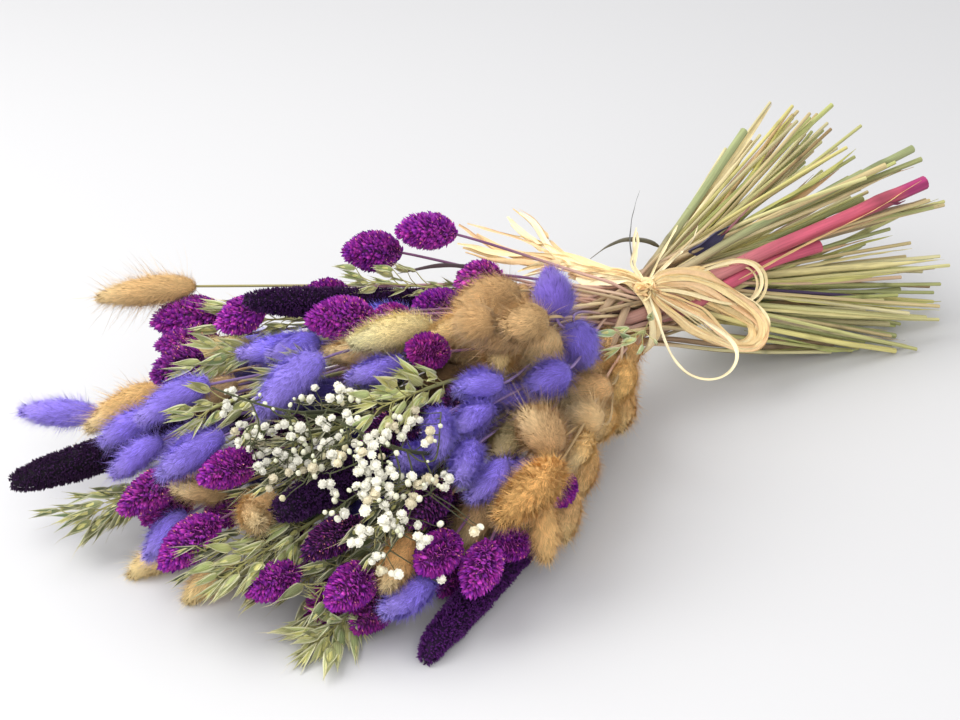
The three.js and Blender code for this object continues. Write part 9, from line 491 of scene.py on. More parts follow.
    ("sheath_38", 5.3, (204,196,112), [(143.3,-14.4,68.5),(173.3,-6.7,75.5),(199.4,0.4,80.6),(230.7,9,86.1),(251.9,14.6,91.2)], {"slot": "canary_grass", "curl": 1.3, "twist": 0.21, "turn": 1.84, "point": 3}),
    ("sheath_39", 6.2, (168,150,120), [(117.6,-27.5,60.6),(158.9,-17.4,68.5),(200.7,-6.4,76.1),(242.6,5,83.5),(278.6,12.1,90.9)], {"slot": "canary_grass", "curl": 1.3, "twist": 1.06, "turn": 2.24, "point": 3}),
    ("sheath_40", 5, (196,190,116), [(153.2,-18.5,75.7),(188.3,-13.1,85.2),(219,-10,94.1),(256.3,-5.3,104),(281.5,-1.1,110.1)], {"slot": "canary_grass", "curl": 1.3, "twist": -0.47, "turn": 2.25, "point": 3}),
    ("sheath_41", 6.7, (216,204,144), [(107.7,-66.8,47.4),(139.8,-78.7,36),(171.5,-90.9,25.5),(203.9,-103.6,14.8),(233.1,-115.3,4.8)], {"slot": "oat", "curl": 1.3, "twist": 0.28, "turn": 0.46, "point": 3}),
    ("sheath_42", 6.3, (178,176,102), [(133.4,-60.3,31.7),(160,-64.1,23.8),(184.5,-68.9,16.5),(212.8,-73.2,8.1),(232.2,-76.9,2.3)], {"slot": "oat", "curl": 1.3, "twist": -0.05, "turn": 0.38, "point": 3}),
    ("sheath_43", 4.7, (206,172,130), [(117,-48.6,79.3),(157.8,-60.7,84.7),(198.8,-73.1,91),(239.8,-85.7,97.2),(276.6,-96.5,100)], {"slot": "oat", "curl": 1.3, "twist": 0.84, "turn": 2.8, "point": 3}),
    ("sheath_44", 4.6, (186,192,120), [(152.1,-27.2,74.1),(185.7,-26.4,80.8),(215.4,-25.6,86.7),(251.1,-24,93.4),(274.6,-24,98.4)], {"slot": "oat", "curl": 1.3, "twist": 0.72, "turn": 0.47, "point": 3}),
    ("sheath_45", 5.6, (222,206,158), [(112.1,-39.2,38.1),(147.2,-33.1,32.7),(182.4,-27.5,27.4),(218,-20.4,21.9),(249.5,-16.7,17.1)], {"slot": "oat", "curl": 1.3, "twist": 0.9, "turn": 1.45, "point": 3}),
    ("sheath_46", 4.3, (204,196,112), [(116.1,-68,19.5),(135.3,-75.1,13.8),(152.3,-81.3,9.1),(173.1,-88.2,3.8),(186.8,-92.6,2)], {"slot": "oat", "curl": 1.3, "twist": -0.16, "turn": 2.64, "point": 3}),
    ("sheath_47", 6.8, (168,150,120), [(115.8,-53,69.8),(158.7,-68.2,71.8),(200.5,-84.3,74.4),(243,-100.2,76.6),(281.3,-114.6,78.7)], {"slot": "violet_bunny_tail", "curl": 1.3, "twist": -0.84, "turn": 0.36, "point": 3}),
    ("sheath_48", 5.7, (196,190,116), [(156.8,-68,47.7),(193,-80.6,42.6),(225.8,-90.4,37.3),(265.2,-101.5,31),(290.9,-109.8,27.5)], {"slot": "natural_bunny_tail", "curl": 1.3, "twist": 1.1, "turn": 2.31, "point": 3}),
    ("sheath_49", 4.9, (216,204,144), [(105.2,-64,53.1),(139,-82.1,44.2),(172.9,-100,35.1),(207,-117.7,25.9),(236.7,-133.2,17.2)], {"slot": "oat", "curl": 1.3, "twist": 0.17, "turn": 1.87, "point": 3}),
    ("sheath_50", 3.9, (178,176,102), [(153.8,-65.3,74.4),(189.1,-78.7,76.2),(220.3,-90.3,77.9),(257.7,-105.3,79),(282.8,-113.4,80.9)], {"slot": "natural_bunny_tail", "curl": 1.3, "twist": 0.8, "turn": 0.27, "point": 3}),
    ("sheath_51", 3.6, (206,172,130), [(112.7,-50.8,67.8),(150.9,-67.3,71.7),(188.9,-84.9,76.5),(226.9,-100.5,81.3),(261.1,-115.3,86.1)], {"slot": "violet_bunny_tail", "curl": 1.3, "twist": 0.2, "turn": 1.52, "point": 3}),
    ("sheath_52", 6.7, (186,192,120), [(156.5,-64.9,53.9),(192.6,-77.5,49.4),(224.8,-89.9,46.1),(262.3,-103,39.9),(287.7,-112.8,36.5)], {"slot": "violet_bunny_tail", "curl": 1.3, "twist": -0.05, "turn": 1.3, "point": 3}),
    ("sheath_53", 5.4, (222,206,158), [(110.9,-47.4,79.4),(148.4,-60.2,84.5),(186.6,-72,89.8),(224.5,-83.2,95.3),(258.5,-93,100.4)], {"slot": "canary_grass", "curl": 1.3, "twist": 0.47, "turn": 1.55, "point": 3}),
    ("sheath_54", 6.3, (204,196,112), [(141.5,-52.2,69.8),(170.7,-60.1,73.5),(196.5,-68.5,76.6),(227.3,-82.2,80.2),(247.7,-89.3,82.6)], {"slot": "violet_bunny_tail", "curl": 1.3, "twist": -0.04, "turn": 1.48, "point": 3}),
    ("sheath_55", 4.5, (168,150,120), [(105.3,-69.5,52.5),(136.3,-84.6,40.3),(166.9,-100.4,27.9),(197.2,-117.3,16),(224.8,-133.4,6.8)], {"slot": "canary_grass", "curl": 1.3, "twist": -0.82, "turn": 2.02, "point": 3}),
    ("sheath_56", 4.8, (196,190,116), [(134,-73,37.7),(160.5,-80.6,29.3),(183.9,-89.5,21.9),(212,-97,13.5),(230.8,-105.8,7.8)], {"slot": "violet_bunny_tail", "curl": 1.3, "twist": 0.15, "turn": 1.23, "point": 3}),
    ("sheath_57", 4.8, (216,204,144), [(114.8,-46.8,72.4),(154.6,-62.8,75.3),(194.3,-79.4,77.3),(234,-94.8,78.4),(269.6,-110.4,78.8)], {"slot": "natural_bunny_tail", "curl": 1.3, "twist": -0.07, "turn": 1.62, "point": 3}),
    ("sheath_58", 5, (178,176,102), [(139.5,-65.7,63.1),(168.3,-76.1,63.2),(193.5,-86.1,62.8),(224.1,-96.8,64.8),(244.2,-105,65)], {"slot": "violet_bunny_tail", "curl": 1.3, "twist": -0.51, "turn": 0.77, "point": 3}),
    ("sheath_59", 4.6, (206,172,130), [(110.1,-51.5,44),(145.3,-57.4,34),(180.7,-62.2,23.8),(215.9,-67,13.4),(247.2,-71.6,4)], {"slot": "natural_bunny_tail", "curl": 1.3, "twist": -0.3, "turn": 1.25, "point": 3}),
    ("sheath_60", 5.1, (186,192,120), [(121.8,-80.2,34.2),(144.1,-89.9,25.4),(163.3,-99,16.3),(186.9,-108.5,5.8),(203,-114.2,2)], {"slot": "violet_bunny_tail", "curl": 1.3, "twist": -0.97, "turn": 1.35, "point": 3}),
]
TIE = (49.18, -42.98, 57.76)  # the middle of the neck under the tie
TIE_REACH = 24.05  # inner radius of the tie
KNOT_REACH, KNOT_TURN = 28.9, 35.0  # the knot's distance from the neck's middle, and its turn from the top

# ---------------------------------------------------------------- small maths


def lin(c):
    c = np.asarray(c, float) / 255.0
    return np.where(c <= 0.04045, c / 12.92, ((c + 0.055) / 1.055) ** 2.4)


def rng_of(name):
    return np.random.RandomState(zlib.crc32(name.encode()) & 0x7FFFFFFF)


def unit(a):
    a = np.asarray(a, float)
    return a / np.maximum(np.linalg.norm(a, axis=-1, keepdims=True), 1e-9)


def ease(x, a, b):
    k = np.clip((np.asarray(x, float) - a) / (b - a), 0, 1)
    return k * k * (3 - 2 * k)


def spline(P, n):
    """n points, evenly spread, on a smooth curve through the points P; any columns past the third are carried along."""
    P = np.asarray(P, float)
    d = np.maximum(np.linalg.norm(np.diff(P[:, :3], axis=0), axis=1), 1e-6)
    t = np.concatenate([[0], np.cumsum(d)])
    s = (P[1:] - P[:-1]) / d[:, None]
    m = np.empty_like(P)
    m[0], m[-1] = s[0], s[-1]
    if len(P) > 2:
        m[1:-1] = (s[1:] * d[:-1, None] + s[:-1] * d[1:, None]) / (d[1:] + d[:-1])[:, None]
    x = np.linspace(0, t[-1], n)
    k = np.clip(np.searchsorted(t, x, side="right") - 1, 0, len(P) - 2)
    h = d[k][:, None]
    u = ((x - t[k]) / d[k])[:, None]
    return (P[k] * (2 * u**3 - 3 * u**2 + 1) + m[k] * h * (u**3 - 2 * u**2 + u)
            + P[k + 1] * (3 * u**2 - 2 * u**3) + m[k + 1] * h * (u**3 - u**2))


def frames(C, first=(0.13, 0.21, 1.0)):
    T = unit(np.gradient(C, axis=0))
    N = np.empty_like(T)
    n = np.array(first, float)
    if abs(unit(n) @ T[0]) > 0.93:
        n = np.array([1.0, 0.1, 0.0])
    for i in range(len(C)):
        n = n - T[i] * (n @ T[i])
        n = n / max(np.linalg.norm(n), 1e-9)
        N[i] = n
    return T, N, np.cross(T, N)


class Axis:
    """A curve that gives its place and frame at any share t of its length."""

    def __init__(self, P, n=72):
        self.C = spline(P, n)
        self.T, self.N, self.B = frames(self.C)
        self.L = float(np.linalg.norm(np.diff(self.C, axis=0), axis=1).sum())

    def at(self, t):
        x = np.clip(np.asarray(t, float), 0, 1) * (len(self.C) - 1)
        i = np.clip(x.astype(int), 0, len(self.C) - 2)
        f = (x - i)[..., None]
        mix = lambda A: A[i] * (1 - f) + A[i + 1] * f
        return mix(self.C), unit(mix(self.T)), unit(mix(self.N)), unit(mix(self.B))


def spread(n, weight, rs, jitter=1.0):
    """n values in 0..1 with that density, evenly spaced apart from a little jitter."""
    x = np.linspace(0, 1, 400)
    c = np.concatenate([[0], np.cumsum(weight((x[1:] + x[:-1]) / 2))])
    q = (np.arange(n) + 0.5 + jitter * (rs.rand(n) - 0.5)) / n
    return np.interp(np.clip(q, 0, 1) * c[-1], c, x)


# ---------------------------------------------------------------- mesh building


class Mesh:
    """Collects parts. fx holds (across or along, height or around, chance) for the materials, tint the part's colour,
    with painted shade multiplied in where a part has it.
    """

    def __init__(self):
        self.parts, self.n = [], 0

    def add(self, V, F, fx, uv, tint, mat, nrm=None, smooth=True):
        V = np.asarray(V, float)
        F = np.asarray(F, int)
        uv = np.asarray(uv, float)
        if uv.ndim == 2:
            uv = uv[F]
        fx = np.broadcast_to(np.asarray(fx, float), V.shape)
        tint = np.broadcast_to(np.asarray(tint, float), V.shape)
        nrm = np.zeros_like(V) if nrm is None else nrm
        self.parts.append((V, F + self.n, fx, uv, tint, mat, nrm, smooth))
        self.n += len(V)

    def build(self, name, materials):
        cat = lambda k: np.concatenate([p[k] for p in self.parts])
        V, fx, tint, nrm = cat(0), cat(2), cat(4), cat(6)
        z, h = V[:, 2], 0.8
        low = z < h
        V[low, 2] = h * np.exp((z[low] - h) / h)
        loops = np.concatenate([p[1].ravel() for p in self.parts]).astype(np.int32)
        uvs = np.concatenate([p[3].reshape(-1, 2) for p in self.parts])
        sides = np.concatenate([np.full(len(p[1]), p[1].shape[1]) for p in self.parts])
        starts = np.concatenate([[0], np.cumsum(sides)[:-1]]).astype(np.int32)
        index = np.concatenate([np.full(len(p[1]), p[5]) for p in self.parts]).astype(np.int32)
        smooth = np.concatenate([np.full(len(p[1]), p[7]) for p in self.parts])
        me = bpy.data.meshes.new(name)
        me.vertices.add(len(V))
        me.vertices.foreach_set("co", (V / 1000).astype(np.float32).ravel())
        me.loops.add(len(loops))
        me.loops.foreach_set("vertex_index", loops)
        me.polygons.add(len(starts))
        me.polygons.foreach_set("loop_start", starts)
        me.polygons.foreach_set("material_index", index)
        me.polygons.foreach_set("use_smooth", smooth)
        for m in materials:
            me.materials.append(m)
        me.update(calc_edges=True)
        layer = me.uv_layers.new(name="OFBake")
        layer.data.foreach_set("uv", np.clip(uvs, 0.002, 0.998).astype(np.float32).ravel())
        a = me.attributes.new("fx", "FLOAT_VECTOR", "POINT")
        a.data.foreach_set("vector", fx.astype(np.float32).ravel())
        a = me.attributes.new("tint", "FLOAT_COLOR", "POINT")
        a.data.foreach_set("color", np.concatenate([tint, np.ones((len(V), 1))], 1).astype(np.float32).ravel())
        if np.any(nrm):
            me.normals_split_custom_set_from_vertices(nrm.astype(np.float32))
        ob = bpy.data.objects.new(name, me)
        bpy.context.scene.collection.objects.link(ob)
        return ob


def box_uv(u, v, box):
    u0, v0, u1, v1 = box
    return np.stack([u0 + np.clip(u, 0, 1) * (u1 - u0), v0 + np.clip(v, 0, 1) * (v1 - v0)], -1)


STEM_UV = (0.01, 0.87, 0.99, 0.985)
CORE_UV = (0.01, 0.64, 0.99, 0.80)
FUR_UV = (0.01, 0.02, 0.99, 0.40)
AWN_UV = (0.01, 0.43, 0.99, 0.60)
END_UV = (0.02, 0.82, 0.20, 0.85)


def tube(M, C, T, N, B, r, k, fx_x, fx_z, tint, mat, box, ripple=0.0):
    """A tube round the points C; r is its radius at each point."""
    n = len(C)
    a = np.arange(k) / k * 2 * math.pi
    rr = np.asarray(r, float)[:, None] * (1 + ripple * np.cos(a * 3 + 0.7))[None]
    V = C[:, None] + rr[..., None] * (np.cos(a)[None, :, None] * N[:, None] + np.sin(a)[None, :, None] * B[:, None])
    i, j = np.meshgrid(np.arange(n - 1), np.arange(k), indexing="ij")
    j2 = (j + 1) % k
    F = np.stack([i * k + j, i * k + j2, (i + 1) * k + j2, (i + 1) * k + j], -1).reshape(-1, 4)
    s = np.linspace(0, 1, n)
    u = np.stack([s[i], s[i], s[i + 1], s[i + 1]], -1).reshape(-1, 4)
    v = np.stack([j / k, (j + 1) / k, (j + 1) / k, j / k], -1).reshape(-1, 4)
    fx = np.empty((n, k, 3))
    fx[..., 0] = np.asarray(fx_x, float)[:, None]
    fx[..., 1] = 0.5 - 0.5 * np.cos(a)[None]
    fx[..., 2] = fx_z
    tt = np.broadcast_to(np.asarray(tint, float), (n, 3)) if np.ndim(tint) < 2 else np.asarray(tint)
    M.add(V.reshape(-1, 3), F, fx.reshape(-1, 3), box_uv(u, v, box), np.repeat(tt, k, 0), mat)


def cap(M, c, out, N, B, r, k, tint, mat, box, hollow=0.0):
    """The end of a stem: a rim, and where it is hollow a shallow hole whose bottom is darkened as painted shade."""
    a = np.arange(k) / k * 2 * math.pi
    ring = np.cos(a)[:, None] * N + np.sin(a)[:, None] * B
    rows = [(r, 0.0, 0.9), (r * 0.72, 0.12 * r, 1.05)]
    if hollow:
        rows += [(r * 0.5, 0.05 * r, 0.9), (r * 0.42, -0.9 * r, 0.32)]
    V = np.concatenate([c + ring * q + out * d for q, d, _ in rows] + [[c + out * rows[-1][1]]])
    F4 = [[i * k + j, i * k + (j + 1) % k, (i + 1) * k + (j + 1) % k, (i + 1) * k + j]
          for i in range(len(rows) - 1) for j in range(k)]
    m = (len(rows) - 1) * k
    F3 = [[m + j, m + (j + 1) % k, len(V) - 1] for j in range(k)]
    # each ring's factor is painted shade: the bottom of the hole is darkest
    painted_shade = np.concatenate([np.full(k, s) for _, _, s in rows] + [[rows[-1][2] * 0.9]])
    q = (V - c) @ np.stack([N, B], -1) / (2.2 * r) + 0.5
    uv = box_uv(q[:, 0], q[:, 1], box)
    fx = np.zeros_like(V)
    fx[:, 1] = 0.5
    for F in (F4, F3):
        M.add(V, F, fx, uv, painted_shade[:, None] * np.asarray(tint), mat)


def instances(M, tv, tf, tfx, tuv, O, R, S, rnd, tint, mat, box, variants=1, smooth=True, nrm=None):
    """Copies of a small template: vertices tv, faces tf, at places O with axes R (rows x, y, z) and sizes S."""
    n, k = len(O), len(tv)
    S = np.asarray(S, float).reshape(n, 1, -1)
    V = O[:, None] + np.einsum("nki,nij->nkj", tv[None] * S, R)
    F = (np.asarray(tf)[None] + (np.arange(n) * k)[:, None, None]).reshape(-1, np.shape(tf)[1])
    kind = np.minimum((rnd * variants).astype(int), variants - 1)
    fx = np.empty((n, k, 3))
    fx[..., :2] = tfx[None, :, :2]
    fx[..., 2] = ((kind + 0.5) / variants)[:, None]
    u = (kind[:, None] + 0.06 + 0.88 * tuv[None, :, 0]) / variants
    v = np.broadcast_to(tuv[None, :, 1], u.shape)
    tt = np.broadcast_to(np.asarray(tint, float).reshape(-1, 1, 3), (n, k, 3))
    nn = None
    if nrm is not None:
        nn = unit(np.broadcast_to(nrm[:, None], V.shape)).reshape(-1, 3)
    M.add(V.reshape(-1, 3), F, fx.reshape(-1, 3), box_uv(u, v, box).reshape(-1, 2), tt.reshape(-1, 3), mat, nn, smooth)


def triad(y, z):
    """Rows x, y, z: y is kept, z is made square to it."""
    y = unit(y)
    z = unit(z - y * (y * z).sum(-1, keepdims=True))
    return np.stack([np.cross(y, z), y, z], -2)


def blades(M, root, d0, d1, length, width, nrm, t, rnd, tint, mat, box, bend=0.5, tips=None):
    """Hairs: a root, a middle and a pointed tip each."""
    mid = root + d0 * (length * bend)[:, None]
    tip = mid + d1 * (length * (1 - bend))[:, None]
    if tips is not None:
        tip = tips(tip)
    w = unit(np.cross(d0, nrm)) * (width / 2)[:, None]
    V = np.stack([root - w, root + w, mid - w * 0.75, mid + w * 0.75, tip], 1)
    n = len(root)
    o = (np.arange(n) * 5)[:, None]
    h = np.array([0, 0, bend, bend, 1.0])
    fx = np.stack([np.broadcast_to(t[:, None], (n, 5)), np.broadcast_to(h, (n, 5)), np.broadcast_to(rnd[:, None], (n, 5))], -1)
    du = np.array([-1, 1, -0.75, 0.75, 0]) * 0.0035
    uv = box_uv(t[:, None] + du, np.broadcast_to(h, (n, 5)), box)
    N5 = np.broadcast_to(nrm[:, None], (n, 5, 3)).reshape(-1, 3)
    tt = np.broadcast_to(np.asarray(tint, float).reshape(-1, 1, 3), (n, 5, 3)).reshape(-1, 3)
    V, fx, uv = V.reshape(-1, 3), fx.reshape(-1, 3), uv.reshape(-1, 2)
    both = [o + np.array([[0, 1, 3, 2]]), o + np.array([[2, 3, 4]])]
    # one vertex list carries both face kinds, so the hairs stay whole
    F4, F3 = both
    base = M.n
    M.add(V, F4, fx, uv, tt, mat, N5)
    V3 = np.zeros((0, 3))
    M.parts.append((V3, F3 + base, V3, uv[F3], V3, mat, V3, True))


def ribbon(M, P, n, width, twist, curl, across, rnd, tint, mat, box, first=(0, 0, 1.0), wave=0.0, rs=None, face=None):
    """A flat strip along P. width, twist and curl are functions of the share s of its length."""
    C = spline(P, n)
    T, N, B = frames(C, first)
    if face is not None:
        # its flat side is turned to that direction
        N = unit(np.cross(T, np.asarray(face, float)))
        for i in range(1, n):
            if N[i] @ N[i - 1] < 0:
                N[i] = -N[i]
        B = np.cross(T, N)
    s = np.linspace(0, 1, n)
    L = float(np.linalg.norm(np.diff(C, axis=0), axis=1).sum())
    a = twist(s)[:, None]
    A = np.cos(a) * N + np.sin(a) * B
    D = np.cross(T, A)
    x = np.linspace(-1, 1, across + 1)
    w = width(s)[:, None] / 2
    c = curl(s)[:, None]
    # the strip bends round an arc of c radians each way
    c = np.where(np.abs(c) < 0.05, 0.05, c)
    off = w * np.sin(c * x[None]) / c
    rise = w * (1 - np.cos(c * x[None])) / c
    if rs is not None and wave:
        ph = rs.rand(across + 1) * 6.28
        rise = rise + wave * np.sin(s[:, None] * L * 0.35 + ph[None]) * (0.3 + 0.7 * np.abs(x)[None])
    V = C[:, None] + off[..., None] * A[:, None] + rise[..., None] * D[:, None]
    k = across + 1
    i, j = np.meshgrid(np.arange(n - 1), np.arange(across), indexing="ij")
    F = np.stack([i * k + j, i * k + j + 1, (i + 1) * k + j + 1, (i + 1) * k + j], -1).reshape(-1, 4)
    fx = np.empty((n, k, 3))
    fx[..., 0] = (x[None] + 1) / 2
    fx[..., 1] = (s * L)[:, None]
    fx[..., 2] = rnd
    uv = box_uv(np.broadcast_to(s[:, None], (n, k)), np.broadcast_to((x[None] + 1) / 2, (n, k)), box)
    tt = np.broadcast_to(np.asarray(tint, float), (n, 3)) if np.ndim(tint) < 2 else np.asarray(tint)
    M.add(V.reshape(-1, 3), F, fx.reshape(-1, 3), uv.reshape(-1, 2), np.repeat(tt, k, 0), mat)
    return C


# ---------------------------------------------------------------- materials


class Nodes:
    """A material whose colour starts from the tint and fx that the mesh carries."""

    def __init__(self, name, rough, spec=0.3, sheen=0.0, sheen_rough=0.5, sheen_tint=(1, 1, 1), coat=0.0):
        m = bpy.data.materials.new(name)
        m.use_nodes = True
        self.m, self.nt = m, m.node_tree
        self.nt.nodes.clear()
        out = self.nt.nodes.new("ShaderNodeOutputMaterial")
        p = self.p = self.nt.nodes.new("ShaderNodeBsdfPrincipled")
        self.nt.links.new(p.outputs[0], out.inputs[0])
        p.inputs["Roughness"].default_value = rough
        p.inputs["Specular IOR Level"].default_value = spec
        p.inputs["Sheen Weight"].default_value = sheen
        p.inputs["Sheen Roughness"].default_value = sheen_rough
        p.inputs["Sheen Tint"].default_value = (*sheen_tint, 1)
        p.inputs["Coat Weight"].default_value = coat
        a = self.nt.nodes.new("ShaderNodeAttribute")
        a.attribute_name = "tint"
        self.tint = a.outputs["Color"]
        a = self.nt.nodes.new("ShaderNodeAttribute")
        a.attribute_name = "fx"
        s = self.nt.nodes.new("ShaderNodeSeparateXYZ")
        self.nt.links.new(a.outputs["Vector"], s.inputs[0])
        self.x, self.y, self.z = s.outputs

    def put(self, value, socket):
        if isinstance(value, bpy.types.NodeSocket):
            self.nt.links.new(value, socket)
        else:
            socket.default_value = value

    def math(self, op, a, b=0.0, clamp=False):
        n = self.nt.nodes.new("ShaderNodeMath")
        n.operation, n.use_clamp = op, clamp
        self.put(a, n.inputs[0])
        self.put(b, n.inputs[1])
        return n.outputs[0]

    def span(self, v, a, b, lo=0.0, hi=1.0, smooth=True):
        n = self.nt.nodes.new("ShaderNodeMapRange")
        n.interpolation_type = "SMOOTHSTEP" if smooth else "LINEAR"
        for k, q in zip(range(5), (v, a, b, lo, hi)):
            self.put(q, n.inputs[k])
        return n.outputs[0]

    def scale(self, colour, k):
        n = self.nt.nodes.new("ShaderNodeVectorMath")
        n.operation = "SCALE"
        self.put(colour, n.inputs[0])
        self.put(k, n.inputs["Scale"])
        return n.outputs[0]

    def mix(self, f, a, b, blend="MIX"):
        n = self.nt.nodes.new("ShaderNodeMix")
        n.data_type, n.blend_type = "RGBA", blend
        self.put(f, n.inputs[0])
        for k, q in ((6, a), (7, b)):
            self.put(q if isinstance(q, bpy.types.NodeSocket) else (*q, 1), n.inputs[k])
        return n.outputs[2]

    def vec(self, x, y, z):
        n = self.nt.nodes.new("ShaderNodeCombineXYZ")
        for k, q in enumerate((x, y, z)):
            self.put(q, n.inputs[k])
        return n.outputs[0]

    def noise(self, vec, scale=1.0, detail=2.0, rough=0.5):
        n = self.nt.nodes.new("ShaderNodeTexNoise")
        self.put(vec, n.inputs["Vector"])
        n.inputs["Scale"].default_value = scale
        n.inputs["Detail"].default_value = detail
        n.inputs["Roughness"].default_value = rough
        return n.outputs[0]

    def times(self, v, k):
        return self.math("MULTIPLY", v, k)

    def bump(self, height, strength, distance):
        n = self.nt.nodes.new("ShaderNodeBump")
        n.inputs["Strength"].default_value = strength
        n.inputs["Distance"].default_value = distance
        self.put(height, n.inputs["Height"])
        self.nt.links.new(n.outputs[0], self.p.inputs["Normal"])

    def colour(self, c):
        self.put(c, self.p.inputs["Base Color"])
        return self.m


def fur_material(name, root, tip, sheen, sheen_tint):
    g = Nodes(name, 0.85, 0.15, sheen, 0.45, sheen_tint)
    # each hair is darker towards its root, as painted shade deep in the fur, and lighter towards its tip
    k = g.math("ADD", g.span(g.y, 0.0, 0.75, root, 1.0), g.span(g.y, 0.6, 1.0, 0.0, tip))
    k = g.times(k, g.span(g.z, 0.0, 1.0, 0.86, 1.14, False))
    c = g.scale(g.tint, k)
    return g.colour(c)


def stem_material(name):
    g = Nodes(name, 0.62, 0.3, 0.08)
    v = g.vec(g.times(g.x, 0.035), g.times(g.y, 7.0), g.times(g.z, 91.0))
    a = g.noise(v, 1.0, 4.0, 0.6)
    b = g.noise(g.vec(g.times(g.x, 0.012), g.times(g.y, 1.6), g.times(g.z, 47.0)), 1.0, 2.0)
    k = g.math("ADD", g.span(a, 0.3, 0.7, 0.82, 1.14), g.span(b, 0.3, 0.7, -0.10, 0.12))
    c = g.scale(g.tint, k)
    spots = g.noise(g.vec(g.times(g.x, 0.5), g.times(g.y, 3.0), g.times(g.z, 13.0)), 1.0, 3.0)
    c = g.mix(g.span(spots, 0.66, 0.74, 0.0, 0.35), c, tuple(lin((112, 84, 58))))
    g.bump(a, 0.35, 0.0004)
    return g.colour(c)


def scale_material(name, dark, pink):
    g = Nodes(name, 0.55, 0.35, 0.25, 0.4, tuple(lin((240, 150, 235))))
    # each scale is darker towards its base, as painted shade where the scales overlap
    c = g.scale(g.tint, g.math("ADD", g.span(g.y, 0.0, 0.55, 0.35, 1.05), g.span(g.z, 0.0, 1.0, -0.16, 0.2, False)))
    # a pink painted highlight along each scale's keel; the dark tips are the dye's own colour
    keel = g.math("MULTIPLY", g.span(g.x, 0.35, 1.0, 0.0, 1.0), g.span(g.y, 0.25, 0.7, 0.15, 1.0))
    c = g.mix(g.math("MULTIPLY", keel, g.span(g.z, 0.0, 1.0, 0.0, 0.65, False)), c, pink)
    c = g.mix(g.span(g.y, 0.74, 1.0, 0.0, 0.85), c, dark)
    v = g.noise(g.vec(g.times(g.x, 5.0), g.times(g.y, 1.2), g.times(g.z, 40.0)), 1.0, 3.0)
    c = g.scale(c, g.span(v, 0.3, 0.7, 0.85, 1.15))
    g.bump(v, 0.25, 0.0003)
    return g.colour(c)


def grain_material(name):
    g = Nodes(name, 0.7, 0.25, 0.35, 0.4, tuple(lin((150, 80, 190))))
    # each grain is darker towards its base, as painted shade between the grains, and lighter towards its point
    k = g.math("ADD", g.span(g.y, 0.15, 1.0, 0.45, 1.45), g.span(g.z, 0.0, 1.0, -0.3, 0.45, False))
    c = g.scale(g.tint, k)
    v = g.noise(g.vec(g.times(g.x, 3.0), g.times(g.y, 3.0), g.times(g.z, 57.0)), 1.0, 2.0)
    c = g.scale(c, g.span(v, 0.3, 0.7, 0.85, 1.2))
    return g.colour(c)


def husk_material(name):
    g = Nodes(name, 0.5, 0.35, 0.12)
    vein = g.math("SINE", g.times(g.x, 2 * math.pi * 6))
    edge = g.span(g.math("ABSOLUTE", g.math("SUBTRACT", g.x, 0.5)), 0.33, 0.5)
    c = g.scale(g.tint, g.math("ADD", g.math("ADD", 0.96, g.times(vein, 0.085)), g.span(g.z, 0.0, 1.0, -0.12, 0.12, False)))
    c = g.mix(g.times(edge, 0.75), c, tuple(lin((232, 228, 196))))
    c = g.mix(g.span(g.y, 0.6, 1.0, 0.0, 0.55), c, tuple(lin((228, 222, 182))))
    c = g.mix(g.span(g.y, 0.25, 0.0, 0.0, 0.35), c, tuple(lin((196, 186, 122))))
    v = g.noise(g.vec(g.times(g.x, 16.0), g.times(g.y, 2.0), g.times(g.z, 31.0)), 1.0, 3.0)
    c = g.scale(c, g.span(v, 0.3, 0.7, 0.88, 1.1))
    g.bump(g.math("ADD", vein, v), 0.4, 0.0003)
    return g.colour(c)


def petal_material(name):
    g = Nodes(name, 0.6, 0.3, 0.2)
    v = g.noise(g.vec(g.times(g.x, 6.0), g.times(g.y, 1.5), g.times(g.z, 23.0)), 1.0, 3.0)
    c = g.scale(g.tint, g.math("ADD", g.span(g.y, 0.0, 0.8, 0.80, 1.0), g.span(v, 0.3, 0.7, -0.05, 0.05)))
    g.bump(v, 0.3, 0.0002)
    return g.colour(c)


def fibre_material(name):
    g = Nodes(name, 0.42, 0.4, 0.15, 0.4)
    fine = g.noise(g.vec(g.times(g.x, 15.0), g.times(g.y, 0.05), g.times(g.z, 83.0)), 1.0, 4.0, 0.65)
    wide = g.noise(g.vec(g.times(g.x, 2.0), g.times(g.y, 0.02), g.times(g.z, 29.0)), 1.0, 2.0)
    cross = g.noise(g.vec(g.times(g.x, 1.0), g.times(g.y, 0.35), g.times(g.z, 17.0)), 1.0, 2.0)
    c = g.scale(g.tint, g.math("ADD", g.span(fine, 0.28, 0.72, 0.86, 1.12), g.span(cross, 0.3, 0.7, -0.05, 0.05)))
    c = g.mix(g.span(wide, 0.52, 0.74, 0.0, 0.4), c, tuple(lin((238, 190, 136))))
    g.bump(g.math("ADD", fine, g.times(cross, 0.35)), 0.5, 0.0006)
    return g.colour(c)


def leaf_material(name):
    g = Nodes(name, 0.55, 0.35, 0.1)
    fine = g.noise(g.vec(g.times(g.x, 11.0), g.times(g.y, 0.03), g.times(g.z, 61.0)), 1.0, 4.0, 0.6)
    wide = g.noise(g.vec(g.times(g.x, 1.5), g.times(g.y, 0.05), g.times(g.z, 19.0)), 1.0, 2.0)
    c = g.scale(g.tint, g.math("ADD", g.span(fine, 0.28, 0.72, 0.78, 1.16), g.span(wide, 0.3, 0.7, -0.14, 0.14)))
    g.bump(fine, 0.45, 0.0005)
    return g.colour(c)


